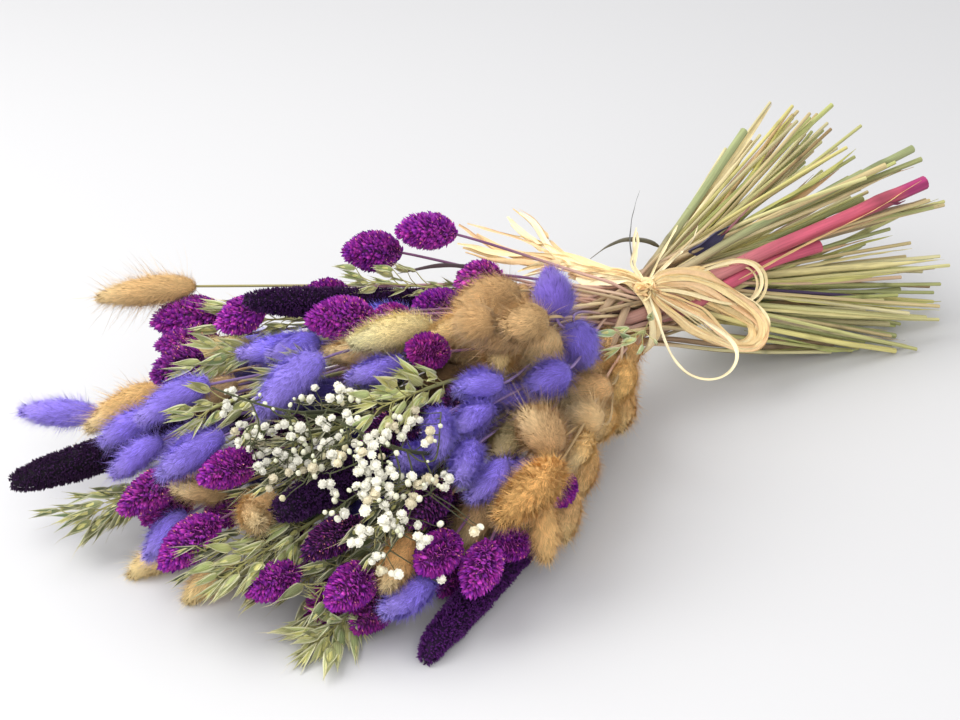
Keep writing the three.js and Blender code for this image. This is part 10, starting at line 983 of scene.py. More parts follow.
DARK_TIP = tuple(lin((84, 26, 140)))
# the pink of the painted highlight on the scales' keels
KEEL_HIGHLIGHT_PINK = tuple(lin((212, 78, 180)))
MATS = [
    fur_material("tan_fur", 0.74, 0.22, 0.30, tuple(lin((255, 238, 205)))),
    fur_material("violet_fur", 0.68, 0.26, 0.45, tuple(lin((205, 198, 255)))),
    scale_material("purple_scales", DARK_TIP, KEEL_HIGHLIGHT_PINK),
    grain_material("aubergine_tufts"),
    husk_material("oat_husk"),
    petal_material("white_petal"),
    fibre_material("raffia_fibre"),
    leaf_material("dry_leaf"),
    stem_material("dry_stem"),
]
TAN, VIOLET, SCALE, TUFT, HUSK, PETAL, FIBRE, LEAF, STEM = range(9)

# ---------------------------------------------------------------- templates of the small parts


def grid_faces(na, nb):
    i, j = np.meshgrid(np.arange(na - 1), np.arange(nb - 1), indexing="ij")
    return np.stack([i * nb + j, i * nb + j + 1, (i + 1) * nb + j + 1, (i + 1) * nb + j], -1).reshape(-1, 4)


def husk_template(na=9, nb=6, length=1.0, width=0.25, depth=0.11, bend=0.0, sharp=1.0):
    """A pointed boat: along y, hollow towards -z."""
    a = np.linspace(0, 1, na)
    b = np.linspace(-1, 1, nb)
    w = 0.5 * width * (0.12 + np.sin(math.pi * a**0.55) ** 0.95 * 0.95) * (1 - a**3.2) ** sharp
    w[-1] = 0.004
    x = w[:, None] * b[None]
    z = depth * (w / w.max())[:, None] * (1 - b[None] ** 2) + bend * (a**2)[:, None]
    y = np.broadcast_to(a[:, None] * length, x.shape)
    V = np.stack([x, y, z], -1).reshape(-1, 3)
    A, Bb = np.meshgrid(a, (b + 1) / 2, indexing="ij")
    fx = np.stack([Bb.ravel(), A.ravel(), A.ravel() * 0], -1)
    uv = np.stack([Bb.ravel(), A.ravel()], -1)
    return V, grid_faces(na, nb), fx, uv


def turn_x(V, a):
    c, s = math.cos(a), math.sin(a)
    return V @ np.array([[1, 0, 0], [0, c, s], [0, -s, c]])


def turn_y(V, a):
    c, s = math.cos(a), math.sin(a)
    return V @ np.array([[c, 0, -s], [0, 1, 0], [s, 0, c]])


def turn_z(V, a):
    c, s = math.cos(a), math.sin(a)
    return V @ np.array([[c, s, 0], [-s, c, 0], [0, 0, 1]])


def join(parts):
    V, F, fx, uv, n = [], [], [], [], 0
    for v, f, x, u in parts:
        V.append(v), F.append(np.asarray(f) + n), fx.append(x), uv.append(u)
        n += len(v)
    return np.concatenate(V), np.concatenate(F), np.concatenate(fx), np.concatenate(uv)


def scale_template():
    """A folded pointed scale of a canary grass head: along y, its keel towards +z."""
    rows = [(0.0, 0.20, 0.08), (0.30, 0.50, 0.30), (0.68, 0.40, 0.30)]
    V, fx, uv = [], [], []
    for a, w, h in rows:
        for x, k, u in ((-w, 0.0, 0.05), (0.0, 1.0, 0.5), (w, 0.0, 0.95)):
            V.append((x, a, h if k else 0.0))
            fx.append((k, a, 0))
            uv.append((u, a))
    V.append((0, 1.0, 0.10)), fx.append((0.8, 1.0, 0)), uv.append((0.5, 1.0))
    F4 = [[r * 3 + j, r * 3 + j + 1, r * 3 + j + 4, r * 3 + j + 3] for r in range(2) for j in range(2)]
    F3 = [[6, 7, 9], [7, 8, 9]]
    tri = [[f[0], f[1], f[2]] for f in F4] + [[f[0], f[2], f[3]] for f in F4] + F3
    return np.array(V, float), np.array(tri), np.array(fx, float), np.array(uv, float)


def tuft_template():
    """A small pointed grain: along y."""
    V = [(0, -0.15, 0), (0.5, 0.3, 0), (0, 0.3, 0.5), (-0.5, 0.3, 0), (0, 0.3, -0.5), (0, 1, 0)]
    F = [[0, 1, 2], [0, 2, 3], [0, 3, 4], [0, 4, 1], [5, 2, 1], [5, 3, 2], [5, 4, 3], [5, 1, 4]]
    fx = [(0.5, 0, 0), (0, .35, 0), (.33, .35, 0), (.66, .35, 0), (1, .35, 0), (.5, 1, 0)]
    uv = [(0.5, 0.0), (0.0, .35), (.33, .40), (.66, .35), (1, .40), (.5, 1)]
    return np.array(V, float), np.array(F)[:, ::-1], np.array(fx, float), np.array(uv, float)


def petal_template(length, width, ruffle, rs):
    """A petal: along y from the flower's middle, with a notched, ruffled end."""
    a = np.array([0.0, 0.5, 1.0])
    b = np.array([-1.0, 0.0, 1.0])
    w = np.array([0.16, 0.95, 0.80]) * width / 2
    V = []
    for i in range(3):
        for j in range(3):
            y = a[i] * length * (1 - (0.14 if (i == 2 and j == 1) else 0) - (0.07 * rs.rand() if i == 2 else 0))
            z = ruffle * (rs.rand() - 0.5) * (i / 2) + 0.25 * ruffle * (b[j] ** 2) * (i / 2)
            V.append((b[j] * w[i], y, z))
    A, B = np.meshgrid(a, (b + 1) / 2, indexing="ij")
    fx = np.stack([B.ravel(), A.ravel(), A.ravel() * 0], -1)
    uv = np.stack([B.ravel(), A.ravel()], -1)
    return np.array(V), grid_faces(3, 3), fx, uv


def bloom_template(seed):
    """A double flower about 5.5 mm across, looking along +z."""
    rs = np.random.RandomState(seed)
    parts = []
    for count, length, width, tilt, lift in ((8, 2.9, 2.6, 2, -0.5), (8, 2.9, 2.5, 24, -0.1), (7, 2.7, 2.3, 44, 0.2), (6, 2.3, 2.0, 62, 0.5), (5, 1.9, 1.8, 78, 0.7), (3, 1.7, 1.6, 92, 0.8)):
        start = rs.rand() * 6.28
        for i in range(count):
            v, f, x, u = petal_template(length * (0.9 + 0.2 * rs.rand()), width, 0.9, rs)
            v = turn_x(v, math.radians(tilt + rs.randn() * 7))
            v = turn_z(v + [0, 0.12, lift], start + i * 6.2832 / count + rs.randn() * 0.1)
            parts.append((v, f, x, u))
    # the crumpled heart of the flower, a small closed dome
    k = 7
    a = np.arange(k) / k * 6.2832
    rows = [(0.6, 1.75), (1.5, 1.6), (2.1, 1.1), (2.45, 0.45)]
    V = np.array([(r * math.cos(t + z) * (1 + 0.22 * rs.rand()), r * math.sin(t + z) * (1 + 0.22 * rs.rand()), z + 0.3 * rs.rand()) for z, r in rows for t in a] + [(0, 0, 2.5)])
    F = np.array([[i * k + j, i * k + (j + 1) % k, (i + 1) * k + (j + 1) % k, (i + 1) * k + j] for i in range(3) for j in range(k)] + [[3 * k + j, 3 * k + (j + 1) % k, 4 * k, 4 * k] for j in range(0)])
    V = V[:-1]
    V[3 * k :] = V[3 * k :] * [0.35, 0.35, 1.0]
    fx = np.array([(j / k, 0.9, 0) for i in range(4) for j in range(k)])
    uv = np.array([((j + 0.5) / k, 0.5 + i / 8) for i in range(4) for j in range(k)])
    parts.append((V, F, fx, uv))
    return join(parts)


def cup_template():
    """The green cup under a flower, with its top at the origin."""
    k = 6
    a = np.arange(k) / k * 6.2832
    rows = [(-1.9, 0.28), (-1.3, 0.85), (-0.5, 1.15), (0.25, 1.0)]
    V = np.array([(r * math.cos(t), r * math.sin(t), z) for z, r in rows for t in a])
    F = np.array([[i * k + j, i * k + (j + 1) % k, (i + 1) * k + (j + 1) % k, (i + 1) * k + j] for i in range(3) for j in range(k)])
    fx = np.array([(j / k, i / 3, 0) for i in range(4) for j in range(k)])
    uv = np.array([((j + 0.5) / k, i / 3) for i in range(4) for j in range(k)])
    return V, F, fx, uv


def bud_template():
    k = 6
    a = np.arange(k) / k * 6.2832
    rows = [(-0.5, 0.25), (-0.2, 0.48), (0.25, 0.5), (0.6, 0.33), (0.78, 0.06)]
    V = np.array([(r * math.cos(t), r * math.sin(t), z) for z, r in rows for t in a])
    F = np.array([[i * k + j, i * k + (j + 1) % k, (i + 1) * k + (j + 1) % k, (i + 1) * k + j] for i in range(4) for j in range(k)])
    fx = np.array([(j / k, i / 4, 0) for i in range(5) for j in range(k)])
    uv = np.array([((j + 0.5) / k, i / 4) for i in range(5) for j in range(k)])
    return V, F, fx, uv


def spikelet_template(opening, florets, seed):
    """An oat spikelet 1 long: two boat-shaped husks that open away from each other, and the florets between them."""
    rs = np.random.RandomState(seed)
    outer, inner = [], []
    for side in (0, 1):
        v, f, x, u = husk_template(length=1.0 - 0.06 * side, width=0.25, depth=0.085, bend=0.02 + 0.03 * rs.rand())
        v = turn_x(v + [0, 0, 0.012], -math.radians(opening / 2 + rs.rand() * 3))
        outer.append((turn_y(v, math.pi * side), f, x, u))
    for k in range(florets):
        v, f, x, u = husk_template(8, 5, length=0.84 - 0.13 * k, width=0.15, depth=0.07, bend=0.01)
        v = turn_x(v, -math.radians(2.5 + 4 * (k % 2)))
        v = turn_y(v, math.pi * k + 0.5 * rs.randn())
        inner.append((v + [0, 0.05 + 0.05 * k, 0], f, x, u))
    return join(outer), (join(inner) if inner else None)


SCALE_T = scale_template()
TUFT_T = tuft_template()
BLOOMS_T = [bloom_template(s) for s in (11, 12, 13, 14)]
CUP_T, BUD_T = cup_template(), bud_template()
SPIKELETS_T = [spikelet_template(*q) for q in ((10, 1, 21), (17, 2, 22), (25, 2, 23), (36, 2, 24))]

# ---------------------------------------------------------------- parts of a stalk

GREENS = [(190, 188, 124), (172, 174, 114), (206, 200, 140), (196, 178, 130), (216, 208, 158), (158, 162, 108), (204, 194, 148), (184, 188, 118), (208, 198, 126), (192, 164, 134)]
NECKS = [(204, 172, 144), (214, 184, 156), (190, 156, 136), (216, 194, 150), (192, 168, 132), (208, 168, 150), (180, 146, 132)]
# stem colours near the head, darkened as painted shade among the heads
NEAR_HEAD_SHADED = {"T": (190, 160, 112), "V": (132, 108, 158), "P": (136, 92, 128), "S": (86, 46, 92), "O": (176, 176, 116), "G": (150, 150, 96)}
STEM_R = {"T": (1.15, 0.75), "V": (1.15, 0.75), "P": (1.2, 0.8), "S": (2.6, 2.2), "O": (1.7, 1.1), "G": (1.3, 1.2)}


def stem(M, name, kind, P, st, rs):
    a, b = st.get("stem", STEM_R[kind])
    P = np.asarray(P, float)
    rad = np.concatenate([a + (b - a) * np.arange(12) / 11, [b * 0.9, b * 0.8]])
    body = P[:14]
    n = 64
    Q = spline(np.concatenate([body, rad[:, None]], 1), n)
    C, r = Q[:, :3], Q[:, 3].copy()
    T, N, B = frames(C)
    L = float(np.linalg.norm(np.diff(C, axis=0), axis=1).sum())
    s = np.linspace(0, 1, n)
    green = lin(st.get("green", GREENS[rs.randint(len(GREENS))]))
    neck = lin(st.get("neck", NECKS[rs.randint(len(NECKS))]))
    # near the head the stem's colour is darkened as painted shade inside the bunch, and a style's deep darkens it
    # further as painted shade
    near_shaded = lin(st.get("near_shaded", NEAR_HEAD_SHADED[kind])) * (0.85 + 0.3 * rs.rand()) * st.get("deep", 1.0)
    # where the tie is, as a share of the stem's length
    i5 = np.argmin(np.linalg.norm(C - P[5], axis=1)) / (n - 1)
    dyed = st.get("dyed", 0.0)
    k1 = ease(s, i5 - 0.28, i5 - 0.02)[:, None]
    k2 = ease(s, i5 + 0.10, 0.92)[:, None]
    tint = green * (1 - k1) + neck * k1
    tint = tint * (1 - k2) + near_shaded * k2
    if st.get("end"):
        k3 = (1 - ease(s * L, 16.0, 26.0))[:, None]
        tint = tint * (1 - k3) + lin(st["end"]) * k3
    # joints of the stalk: a slight swelling with a darker ring
    for s0 in st.get("joints", [0.08 + 0.5 * rs.rand() for _ in range(1 + (kind in "OPS"))]):
        q = np.exp(-(((s - s0) * L / (2.2 * a)) ** 2))
        r = r * (1 + 0.22 * q)
        tint = tint * (1 - 0.42 * q[:, None])
    rnd = rs.rand()
    k = 12 if a > 2.2 else 7
    tube(M, C, T, N, B, r, k, s * L, rnd, tint, STEM, STEM_UV, 0.05)
    pith = lin((214, 200, 150)) if not dyed else lin((196, 120, 120))
    cap(M, C[0], -T[0], N[0], B[0], r[0], k, pith, STEM, END_UV, hollow=1.0 if kind != "S" else 0.0)
    return C, T, N, B, r, s, L, green


def head_core(M, ax, rad, tint, mat, k=12, n=15, dark=0.6):
    t = np.linspace(0, 1, n)
    C, T, N, B = ax.at(t)
    r = np.maximum(rad(t), 0.05)
    r[0] = r[-1] = 0.04
    # a closed body: its first and last rings are almost points
    a = np.arange(k) / k * 2 * math.pi
    V = C[:, None] + r[:, None, None] * (np.cos(a)[None, :, None] * N[:, None] + np.sin(a)[None, :, None] * B[:, None])
    i, j = np.meshgrid(np.arange(n - 1), np.arange(k), indexing="ij")
    j2 = (j + 1) % k
    F = np.stack([i * k + j, i * k + j2, (i + 1) * k + j2, (i + 1) * k + j], -1).reshape(-1, 4)
    u = np.stack([t[i], t[i], t[i + 1], t[i + 1]], -1).reshape(-1, 4)
    v = np.stack([j / k, (j + 1) / k, (j + 1) / k, j / k], -1).reshape(-1, 4)
    fx = np.empty((n, k, 3))
    fx[..., 0], fx[..., 1], fx[..., 2] = t[:, None], 0.3, 0.5
    # dark darkens the body under the hairs, scales or grains as painted shade between them
    tt = np.broadcast_to(np.asarray(tint, float), (n, 3)) * dark
    M.add(V.reshape(-1, 3), F, fx.reshape(-1, 3), box_uv(u, v, CORE_UV), np.repeat(tt, k, 0), mat)


def surface(ax, rad, t, phi):
    """Places on a head, and its outward normals there."""
    C, T, N, B = ax.at(t)
    ring = np.cos(phi)[:, None] * N + np.sin(phi)[:, None] * B
    e = 0.012
    slope = (rad(np.clip(t + e, 0, 1)) - rad(np.clip(t - e, 0, 1))) / ((np.clip(t + e, 0, 1) - np.clip(t - e, 0, 1)) * ax.L)
    nrm = unit(ring - T * np.clip(slope, -4, 4)[:, None])
    return C, T, ring, nrm


def within(root, d, length):
    """Hairs are cut shorter where they would stand too far past the box of the bunch."""
    for k, (low, high) in enumerate(((-308.0, 308.0), (-164.5, 164.5), (0.8, 141.5))):
        room = np.where(d[:, k] > 0, high - root[:, k], root[:, k] - low) / np.maximum(np.abs(d[:, k]), 1e-6)
        length = np.minimum(length, np.maximum(room, 0.4))
    return length


def bunny(M, name, P, r, st, rs, mat):
    H = np.asarray(P[12:19], float)
    ax = Axis(H)
    f = st.get("fat", 0.96)
    # blunt at its base, fullest at two fifths, rounded at its tip
    shape = lambda t: r * f * np.sin(math.pi * np.clip(t, 0, 1) ** 0.80) ** 0.55
    tint0, tint1 = lin(st["col"]), lin(st.get("tip", st["col"]))
    tone = lambda t: tint0 * (1 - ease(t, 0.55, 1.0))[:, None] + tint1 * ease(t, 0.55, 1.0)[:, None]
    head_core(M, ax, shape, tone(np.linspace(0, 1, 15)), mat, dark=0.8)
    area = 2 * math.pi * r * f * ax.L * 0.8
    n = int(area * st.get("dens", 2.6))
    rings = 260
    ring_rnd = rs.rand(rings)
    t = spread(n, lambda x: np.sin(math.pi * x**0.8) ** 0.55 + 0.06, rs)
    rs.shuffle(t)
    t = (np.floor(t * rings) + 0.5) / rings
    rnd = ring_rnd[np.minimum((t * rings).astype(int), rings - 1)]
    phi = rs.rand(n) * 6.2832
    C, T, out, nrm = surface(ax, shape, t, phi)
    root = C + out * (shape(t) * 0.97)[:, None]
    # tufts: hairs that grow close together lean the same way and meet at their tips
    nt, nph = max(6, int(ax.L / st.get("tuft", 4.2))), max(8, int(6.28 * r / st.get("tuft", 4.2)))
    cell = (np.floor(t * nt + 0.35 * np.sin(phi * 3 + t * 9)).astype(int) % nt) * nph + (np.floor((phi / 6.2832 + 0.5 * (np.floor(t * nt) % 2) / nph) * nph).astype(int) % nph)
    lean = rs.randn(nt * nph, 2)[cell] * st.get("lean", 0.13)
    side = np.cross(T, nrm)
    th = np.radians(st.get("tilt", 30)) + rs.randn(n) * 0.12 + lean[:, 0]
    d0 = unit(T * np.cos(th)[:, None] + nrm * np.sin(th)[:, None] + side * (lean[:, 1] + rs.randn(n) * 0.10)[:, None])
    th1 = th * st.get("curve", 0.55)
    d1 = unit(T * np.cos(th1)[:, None] + nrm * np.sin(th1)[:, None] + side * (lean[:, 1] * 1.4 + rs.randn(n) * 0.14)[:, None])
    length = st.get("fur", 4.4) * (0.65 + 0.6 * rs.rand(n)) * (0.75 + 0.35 * np.sin(math.pi * t))
    join_k = st.get("meet", 0.35)

    def tips(p):
        m = nt * nph
        cnt = np.maximum(np.bincount(cell, minlength=m), 1)
        mean = np.stack([np.bincount(cell, p[:, q], m) / cnt for q in range(3)], 1)
        return p * (1 - join_k) + mean[cell] * join_k if join_k else p

    width = np.full(n, 0.24 * math.sqrt(2.6 / st.get("dens", 2.6))) * (0.8 + 0.4 * rs.rand(n))
    soft = unit(nrm * 0.85 + T * 0.25)
    # each head is a little darker or lighter in patches, like the felt of a real one
    patch = 1 + 0.10 * np.sin(phi * 2 + t * 7 + ax.L) + 0.07 * np.sin(phi * 5 - t * 17)
    blades(M, root, d0, d1, length, width, soft, t, rnd, tone(t) * patch[:, None], mat, FUR_UV, tips=tips)
    # the fur that closes over the two ends
    for low, high, way, n in ((0.90, 1.0, 1.0, int(100 + 16 * r)), (0.0, 0.05, 0.25, int(40 + 6 * r))):
        t = low + (high - low) * rs.rand(n) ** (0.7 if way == 1.0 else 1.0)
        phi = rs.rand(n) * 6.2832
        C, T, out, nrm = surface(ax, shape, t, phi)
        side = np.cross(T, out)
        k = rs.rand(n)
        d0 = unit(T * (way * (0.5 + 0.7 * k))[:, None] + out * (0.95 - 0.7 * k * way)[:, None] + side * (rs.randn(n) * 0.28)[:, None])
        d1 = unit(d0 + T * (0.35 * rs.rand(n))[:, None] + side * (rs.randn(n) * 0.2)[:, None])
        length = within(C, d0, st.get("fur", 4.4) * (0.6 + 0.6 * rs.rand(n)))
        blades(M, C + out * (shape(t) * 0.9)[:, None], d0, d1, length, np.full(n, 0.26), unit(T * 0.7 + out * 0.5), t, rs.rand(n), tone(t) * (0.95 + 0.12 * rs.rand(n))[:, None], mat, FUR_UV)
    # soft fuzz that stands off the fur and blurs its outline
    n = int(area * st.get("fuzz", 1.35))
    t = spread(n, lambda x: np.sin(math.pi * x**0.8) ** 0.55 + 0.12, rs)
    phi = rs.rand(n) * 6.2832
    C, T, out, nrm = surface(ax, shape, t, phi)
    root = C + out * (shape(t) * 0.98)[:, None]
    side = np.cross(T, nrm)
    th = np.radians(st.get("tilt", 30) + 20) + rs.randn(n) * 0.25
    d0 = unit(T * np.cos(th)[:, None] + nrm * np.sin(th)[:, None] + side * (rs.randn(n) * 0.22)[:, None])
    d1 = unit(d0 + side * (rs.randn(n) * 0.3)[:, None] + T * (rs.rand(n) * 0.3)[:, None])
    length = within(root, d0, (st.get("fur", 4.4) + 2.4) * (0.5 + 0.7 * rs.rand(n)))
    blades(M, root, d0, d1, length, np.full(n, 0.14), unit(nrm * 0.8 + T * 0.3), t, rs.rand(n), tone(t) * 1.08, mat, FUR_UV)
    # long bristles that stand out of the fur
    n = int(st.get("bristles", 150))
    t = spread(n, lambda x: 0.25 + x * 0 + np.sin(math.pi * np.clip(x, 0, 1)), rs)
    rnd = rs.rand(n)
    phi = rs.rand(n) * 6.2832
    C, T, out, nrm = surface(ax, shape, t, phi)
    root = C + out * (shape(t) * 0.95)[:, None]
    th = np.radians(st.get("stand", 38)) + rs.randn(n) * 0.22
    side = np.cross(T, nrm)
    d0 = unit(T * np.cos(th)[:, None] + nrm * np.sin(th)[:, None] + side * (rs.randn(n) * 0.16)[:, None])
    d1 = unit(d0 + T * (rs.rand(n) * 0.25)[:, None] + side * (rs.randn(n) * 0.16)[:, None])
    length = within(root, d0, st.get("bristle", 9.0) * (0.45 + 0.7 * rs.rand(n)))
    blades(M, root, d0, d1, length, np.full(n, st.get("fine", 0.16)), unit(nrm + T * 0.3), t, rnd, tone(t) * st.get("bright", 1.05), mat, AWN_UV)


def canary(M, name, P, r, st, rs):
    H = np.asarray(P[12:19], float)
    ax = Axis(H)
    # egg-shaped: blunt at its base, drawn in towards its tip
    shape = lambda t: r * np.sin(math.pi * np.clip(t, 0, 1) ** 0.82) ** 0.62
    core = lambda t: shape(t) * 0.70
    tint = lin(st["col"])
    head_core(M, ax, core, tint, SCALE, dark=0.35)
    area = 2 * math.pi * r * ax.L * 0.78
    n = int(area * 0.38 * st.get("dens", 1.0))
    t = spread(n, lambda x: np.sin(math.pi * x**0.82) ** 0.62 + 0.03, rs, 0.6)
    phi = np.arange(n) * 2.39996 + rs.randn(n) * 0.07
    C, T, out, nrm = surface(ax, shape, t, phi)
    # the lowest scales stand away from the stem, the topmost close over the tip
    th = np.radians(np.interp(t, [0, 0.12, 0.5, 0.85, 1], [92, 70, 55, 42, 18]) + rs.randn(n) * 9)
    side = np.cross(T, out)
    y = unit(T * np.cos(th)[:, None] + out * np.sin(th)[:, None] + side * (rs.randn(n) * 0.10)[:, None])
    length = (3.7 + 0.11 * r) * (0.80 + 0.42 * rs.rand(n)) * np.interp(t, [0, 0.15, 0.8, 1], [0.7, 1, 1, 0.8])
    wide = length * 0.50 * (0.85 + 0.3 * rs.rand(n))
    deep = wide * (0.75 + 0.3 * rs.rand(n))
    # a scale's tip ends a little past the outline of the head
    O = C + out * (shape(t) * (1.02 + 0.10 * rs.rand(n)) - length * np.sin(th) * 0.93).clip(0.1)[:, None]
    R = triad(y, out + T * 0.15 + side * (rs.randn(n) * 0.45)[:, None])
    S = np.stack([wide, length, deep], -1)
    rnd = rs.rand(n)
    # the dye took unevenly: purple, magenta and pink scales side by side
    shades = tint * np.array([[0.62, 0.55, 0.92], [0.85, 0.8, 0.95], [1.0, 1.0, 1.0], [1.25, 1.25, 1.05], [1.5, 1.9, 1.15]])[rs.choice(5, n, p=[0.2, 0.25, 0.25, 0.2, 0.1])]
    instances(M, *SCALE_T, O, R, S, rnd, shades, SCALE, (0.01, 0.02, 0.99, 0.52), 10, smooth=False)
    # florets between the scales: a few pale orange points
    m = int(n * 0.10)
    t = spread(m, lambda x: np.sin(math.pi * x**0.82) ** 0.62, rs)
    phi = rs.rand(m) * 6.2832
    C, T, out, nrm = surface(ax, shape, t, phi)
    y = unit(out + T * 0.5 + rs.randn(m, 3) * 0.2)
    size = 1.3 + rs.rand(m) * 0.8
    instances(M, *TUFT_T, C + out * (shape(t) * 0.96)[:, None], triad(y, T), np.stack([size * 0.36, size, size * 0.36], -1),
              rs.rand(m), lin((244, 160, 140)), SCALE, (0.01, 0.54, 0.99, 0.62), 10, smooth=False)


def spike(M, name, P, r, st, rs):
    H = np.asarray(P[11:19], float)
    ax = Axis(H, 110)
    shape = lambda t: r * np.interp(t, [0, 0.05, 0.14, 0.35, 0.6, 0.78, 0.88, 0.95, 0.985, 1], [0.42, 0.66, 0.88, 0.97, 1, 0.94, 0.82, 0.62, 0.38, 0.12])
    tint = lin(st["col"])
    head_core(M, ax, lambda t: shape(t) * 0.84, tint, TUFT, 14, 40, 0.5)
    area = 2 * math.pi * r * 0.92 * ax.L
    n = int(area * 0.88 * st.get("dens", 1.0))
    t = spread(n, lambda x: shape(x) + 0.05, rs)
    phi = rs.rand(n) * 6.2832
    C, T, out, nrm = surface(ax, shape, t, phi)
    # small lumps along the spike, where the side clusters of a real one sit
    lump = 1 + 0.055 * np.sin(phi * 5 + t * ax.L * 0.55) * np.sin(t * ax.L * 0.8 + phi * 2)
    side = np.cross(T, out)
    y = unit(out + T * 0.55 + T * (rs.randn(n) * 0.45)[:, None] + side * (rs.randn(n) * 0.5)[:, None])
    size = 1.6 + rs.rand(n) * 1.4
    O = C + out * (shape(t) * 0.93 * lump)[:, None]
    rnd = rs.rand(n)
    base = tint * (0.8 + 0.4 * rs.rand(n, 1))
    instances(M, *TUFT_T, O, triad(y, T), np.stack([size * 0.46, size, size * 0.46], -1), rnd, tint, TUFT, (0.01, 0.02, 0.99, 0.60), 16, smooth=False)


def oat(M, name, P, r, st, rs):
    P = np.asarray(P, float)
    ax = Axis(P[9:19], 110)
    Lh = float(np.linalg.norm(np.diff(P[12:19], axis=0), axis=1).sum())
    tint = lin(st["col"])
    n = int(st.get("n", 12) * 1.75)
    size = st.get("size", 19.0)
    # the panicle's own axis thins out towards its tip
    t = np.linspace(1 - (Lh + 8) / ax.L, 1 - size * 0.75 / ax.L, 14)
    C, T, N, B = ax.at(t)
    tube(M, C, T, N, B, np.linspace(0.8, 0.35, 14), 5, t * ax.L, 0.4, lin((176, 172, 110)), STEM, (0.3, 0.82, 0.99, 0.85))
    back = np.linspace(size * 0.85, Lh + 6, n)
    for i in range(n):
        s0 = np.array([1 - (back[i] + 8 * rs.rand()) / ax.L])
        C, T, N, B = (q[0] for q in ax.at(s0))
        phi = i * 2.4 + rs.randn() * 0.4
        out = math.cos(phi) * N + math.sin(phi) * B
        # a style's flat is read here but not used
        flat = st.get("flat")
        lean = math.radians(st.get("lean", 24) + rs.randn() * 8) * (0.25 + 0.75 * min(1.0, back[i] / (Lh * 0.6)))
        d = unit(T * math.cos(lean) + out * math.sin(lean))
        foot = C + T * 1.0
        reach = 4 + 11 * rs.rand()
        at = foot + unit(T * 0.9 + out * 0.8) * reach
        if at[2] < 4.5:
            at[2] = 4.5 + 2 * rs.rand()
        if (at + d * size)[2] < 1.6:
            d = unit(d * [1, 1, 0] + [0, 0, (2.2 + rs.rand() * 2 - at[2]) / size])
        Q = np.stack([foot, foot + (at - foot) * 0.5 + T * 1.2, at])
        c = spline(Q, 6)
        t3, n3, b3 = frames(c)
        tube(M, c, t3, n3, b3, np.linspace(0.34, 0.26, 6), 4, np.linspace(0, 10, 6), 0.3, lin((178, 172, 112)), STEM, (0.3, 0.82, 0.99, 0.85))
        wide, florets = SPIKELETS_T[rs.randint(4)]
        z = unit(rs.randn(3) * 0.6 + np.array(CAM_RIGHT) * 0.5 + np.cross(d, out))
        R = triad(d[None], z[None])
        L = size * (0.86 + 0.26 * rs.rand())
        S = np.array([[L * 1.08, L, L * 1.0]])
        tone = tint * (0.9 + 0.22 * rs.rand()) * np.array([1 + 0.07 * rs.randn(), 1, 1 - 0.05 * rs.randn()])
        kind = np.array([rs.rand()])
        instances(M, *wide, at[None], R, S, kind, tone[None], HUSK, (0.01, 0.02, 0.99, 0.52), 8)
        if florets:
            y = lin(st.get("floret", (208, 204, 128)))
            instances(M, *florets, at[None], R, S, kind, (y * (0.85 + 0.25 * rs.rand()))[None], HUSK, (0.01, 0.54, 0.99, 0.80), 8)
        if rs.rand() < 0.6:
            tipp = at + d * L * 0.75
            m = 1
            blades(M, tipp[None], d[None], unit(d + out * 0.25)[None], within(tipp[None], d[None], np.array([9 + 7 * rs.rand()])), np.array([0.24]), z[None], np.array([0.5]), np.array([0.5]), lin((214, 200, 150)), HUSK, (0.01, 0.54, 0.99, 0.80))


def finish_piece(M, name, node):
    ob = M.build(name, MATS)
    # only the materials that a piece uses stay on it
    used = sorted(set(p[5] for p in M.parts))
    index = np.empty(len(ob.data.polygons), np.int32)
    ob.data.polygons.foreach_get("material_index", index)
    table = np.zeros(len(MATS), np.int32)
    for i, u in enumerate(used):
        table[u] = i
    ob.data.materials.clear()
    for u in used:
        ob.data.materials.append(MATS[u])
    ob.data.polygons.foreach_set("material_index", table[index])
    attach(ob, "root")
    if node:
        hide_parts(*([node] if isinstance(node, str) else node))
    return ob


# ---------------------------------------------------------------- gypsophila


def facing(p, rs, up=0.75):
    """A flower looks away from the middle of the bunch, and a little at random."""
    mid = np.array([p[0] + 25.0, -30.0, 20.0])
    return unit(unit(p - mid) + np.array([0, 0, up * 0.6]) + rs.randn(3) * 0.33)


def twig(M, Q, r0, r1, tone, n=10, k=5):
    c = spline(Q, n)
    t3, n3, b3 = frames(c)
    tube(M, c, t3, n3, b3, np.linspace(r0, r1, n), k, np.linspace(0, 40, n), 0.5, tone, STEM, (0.3, 0.82, 0.99, 0.85))


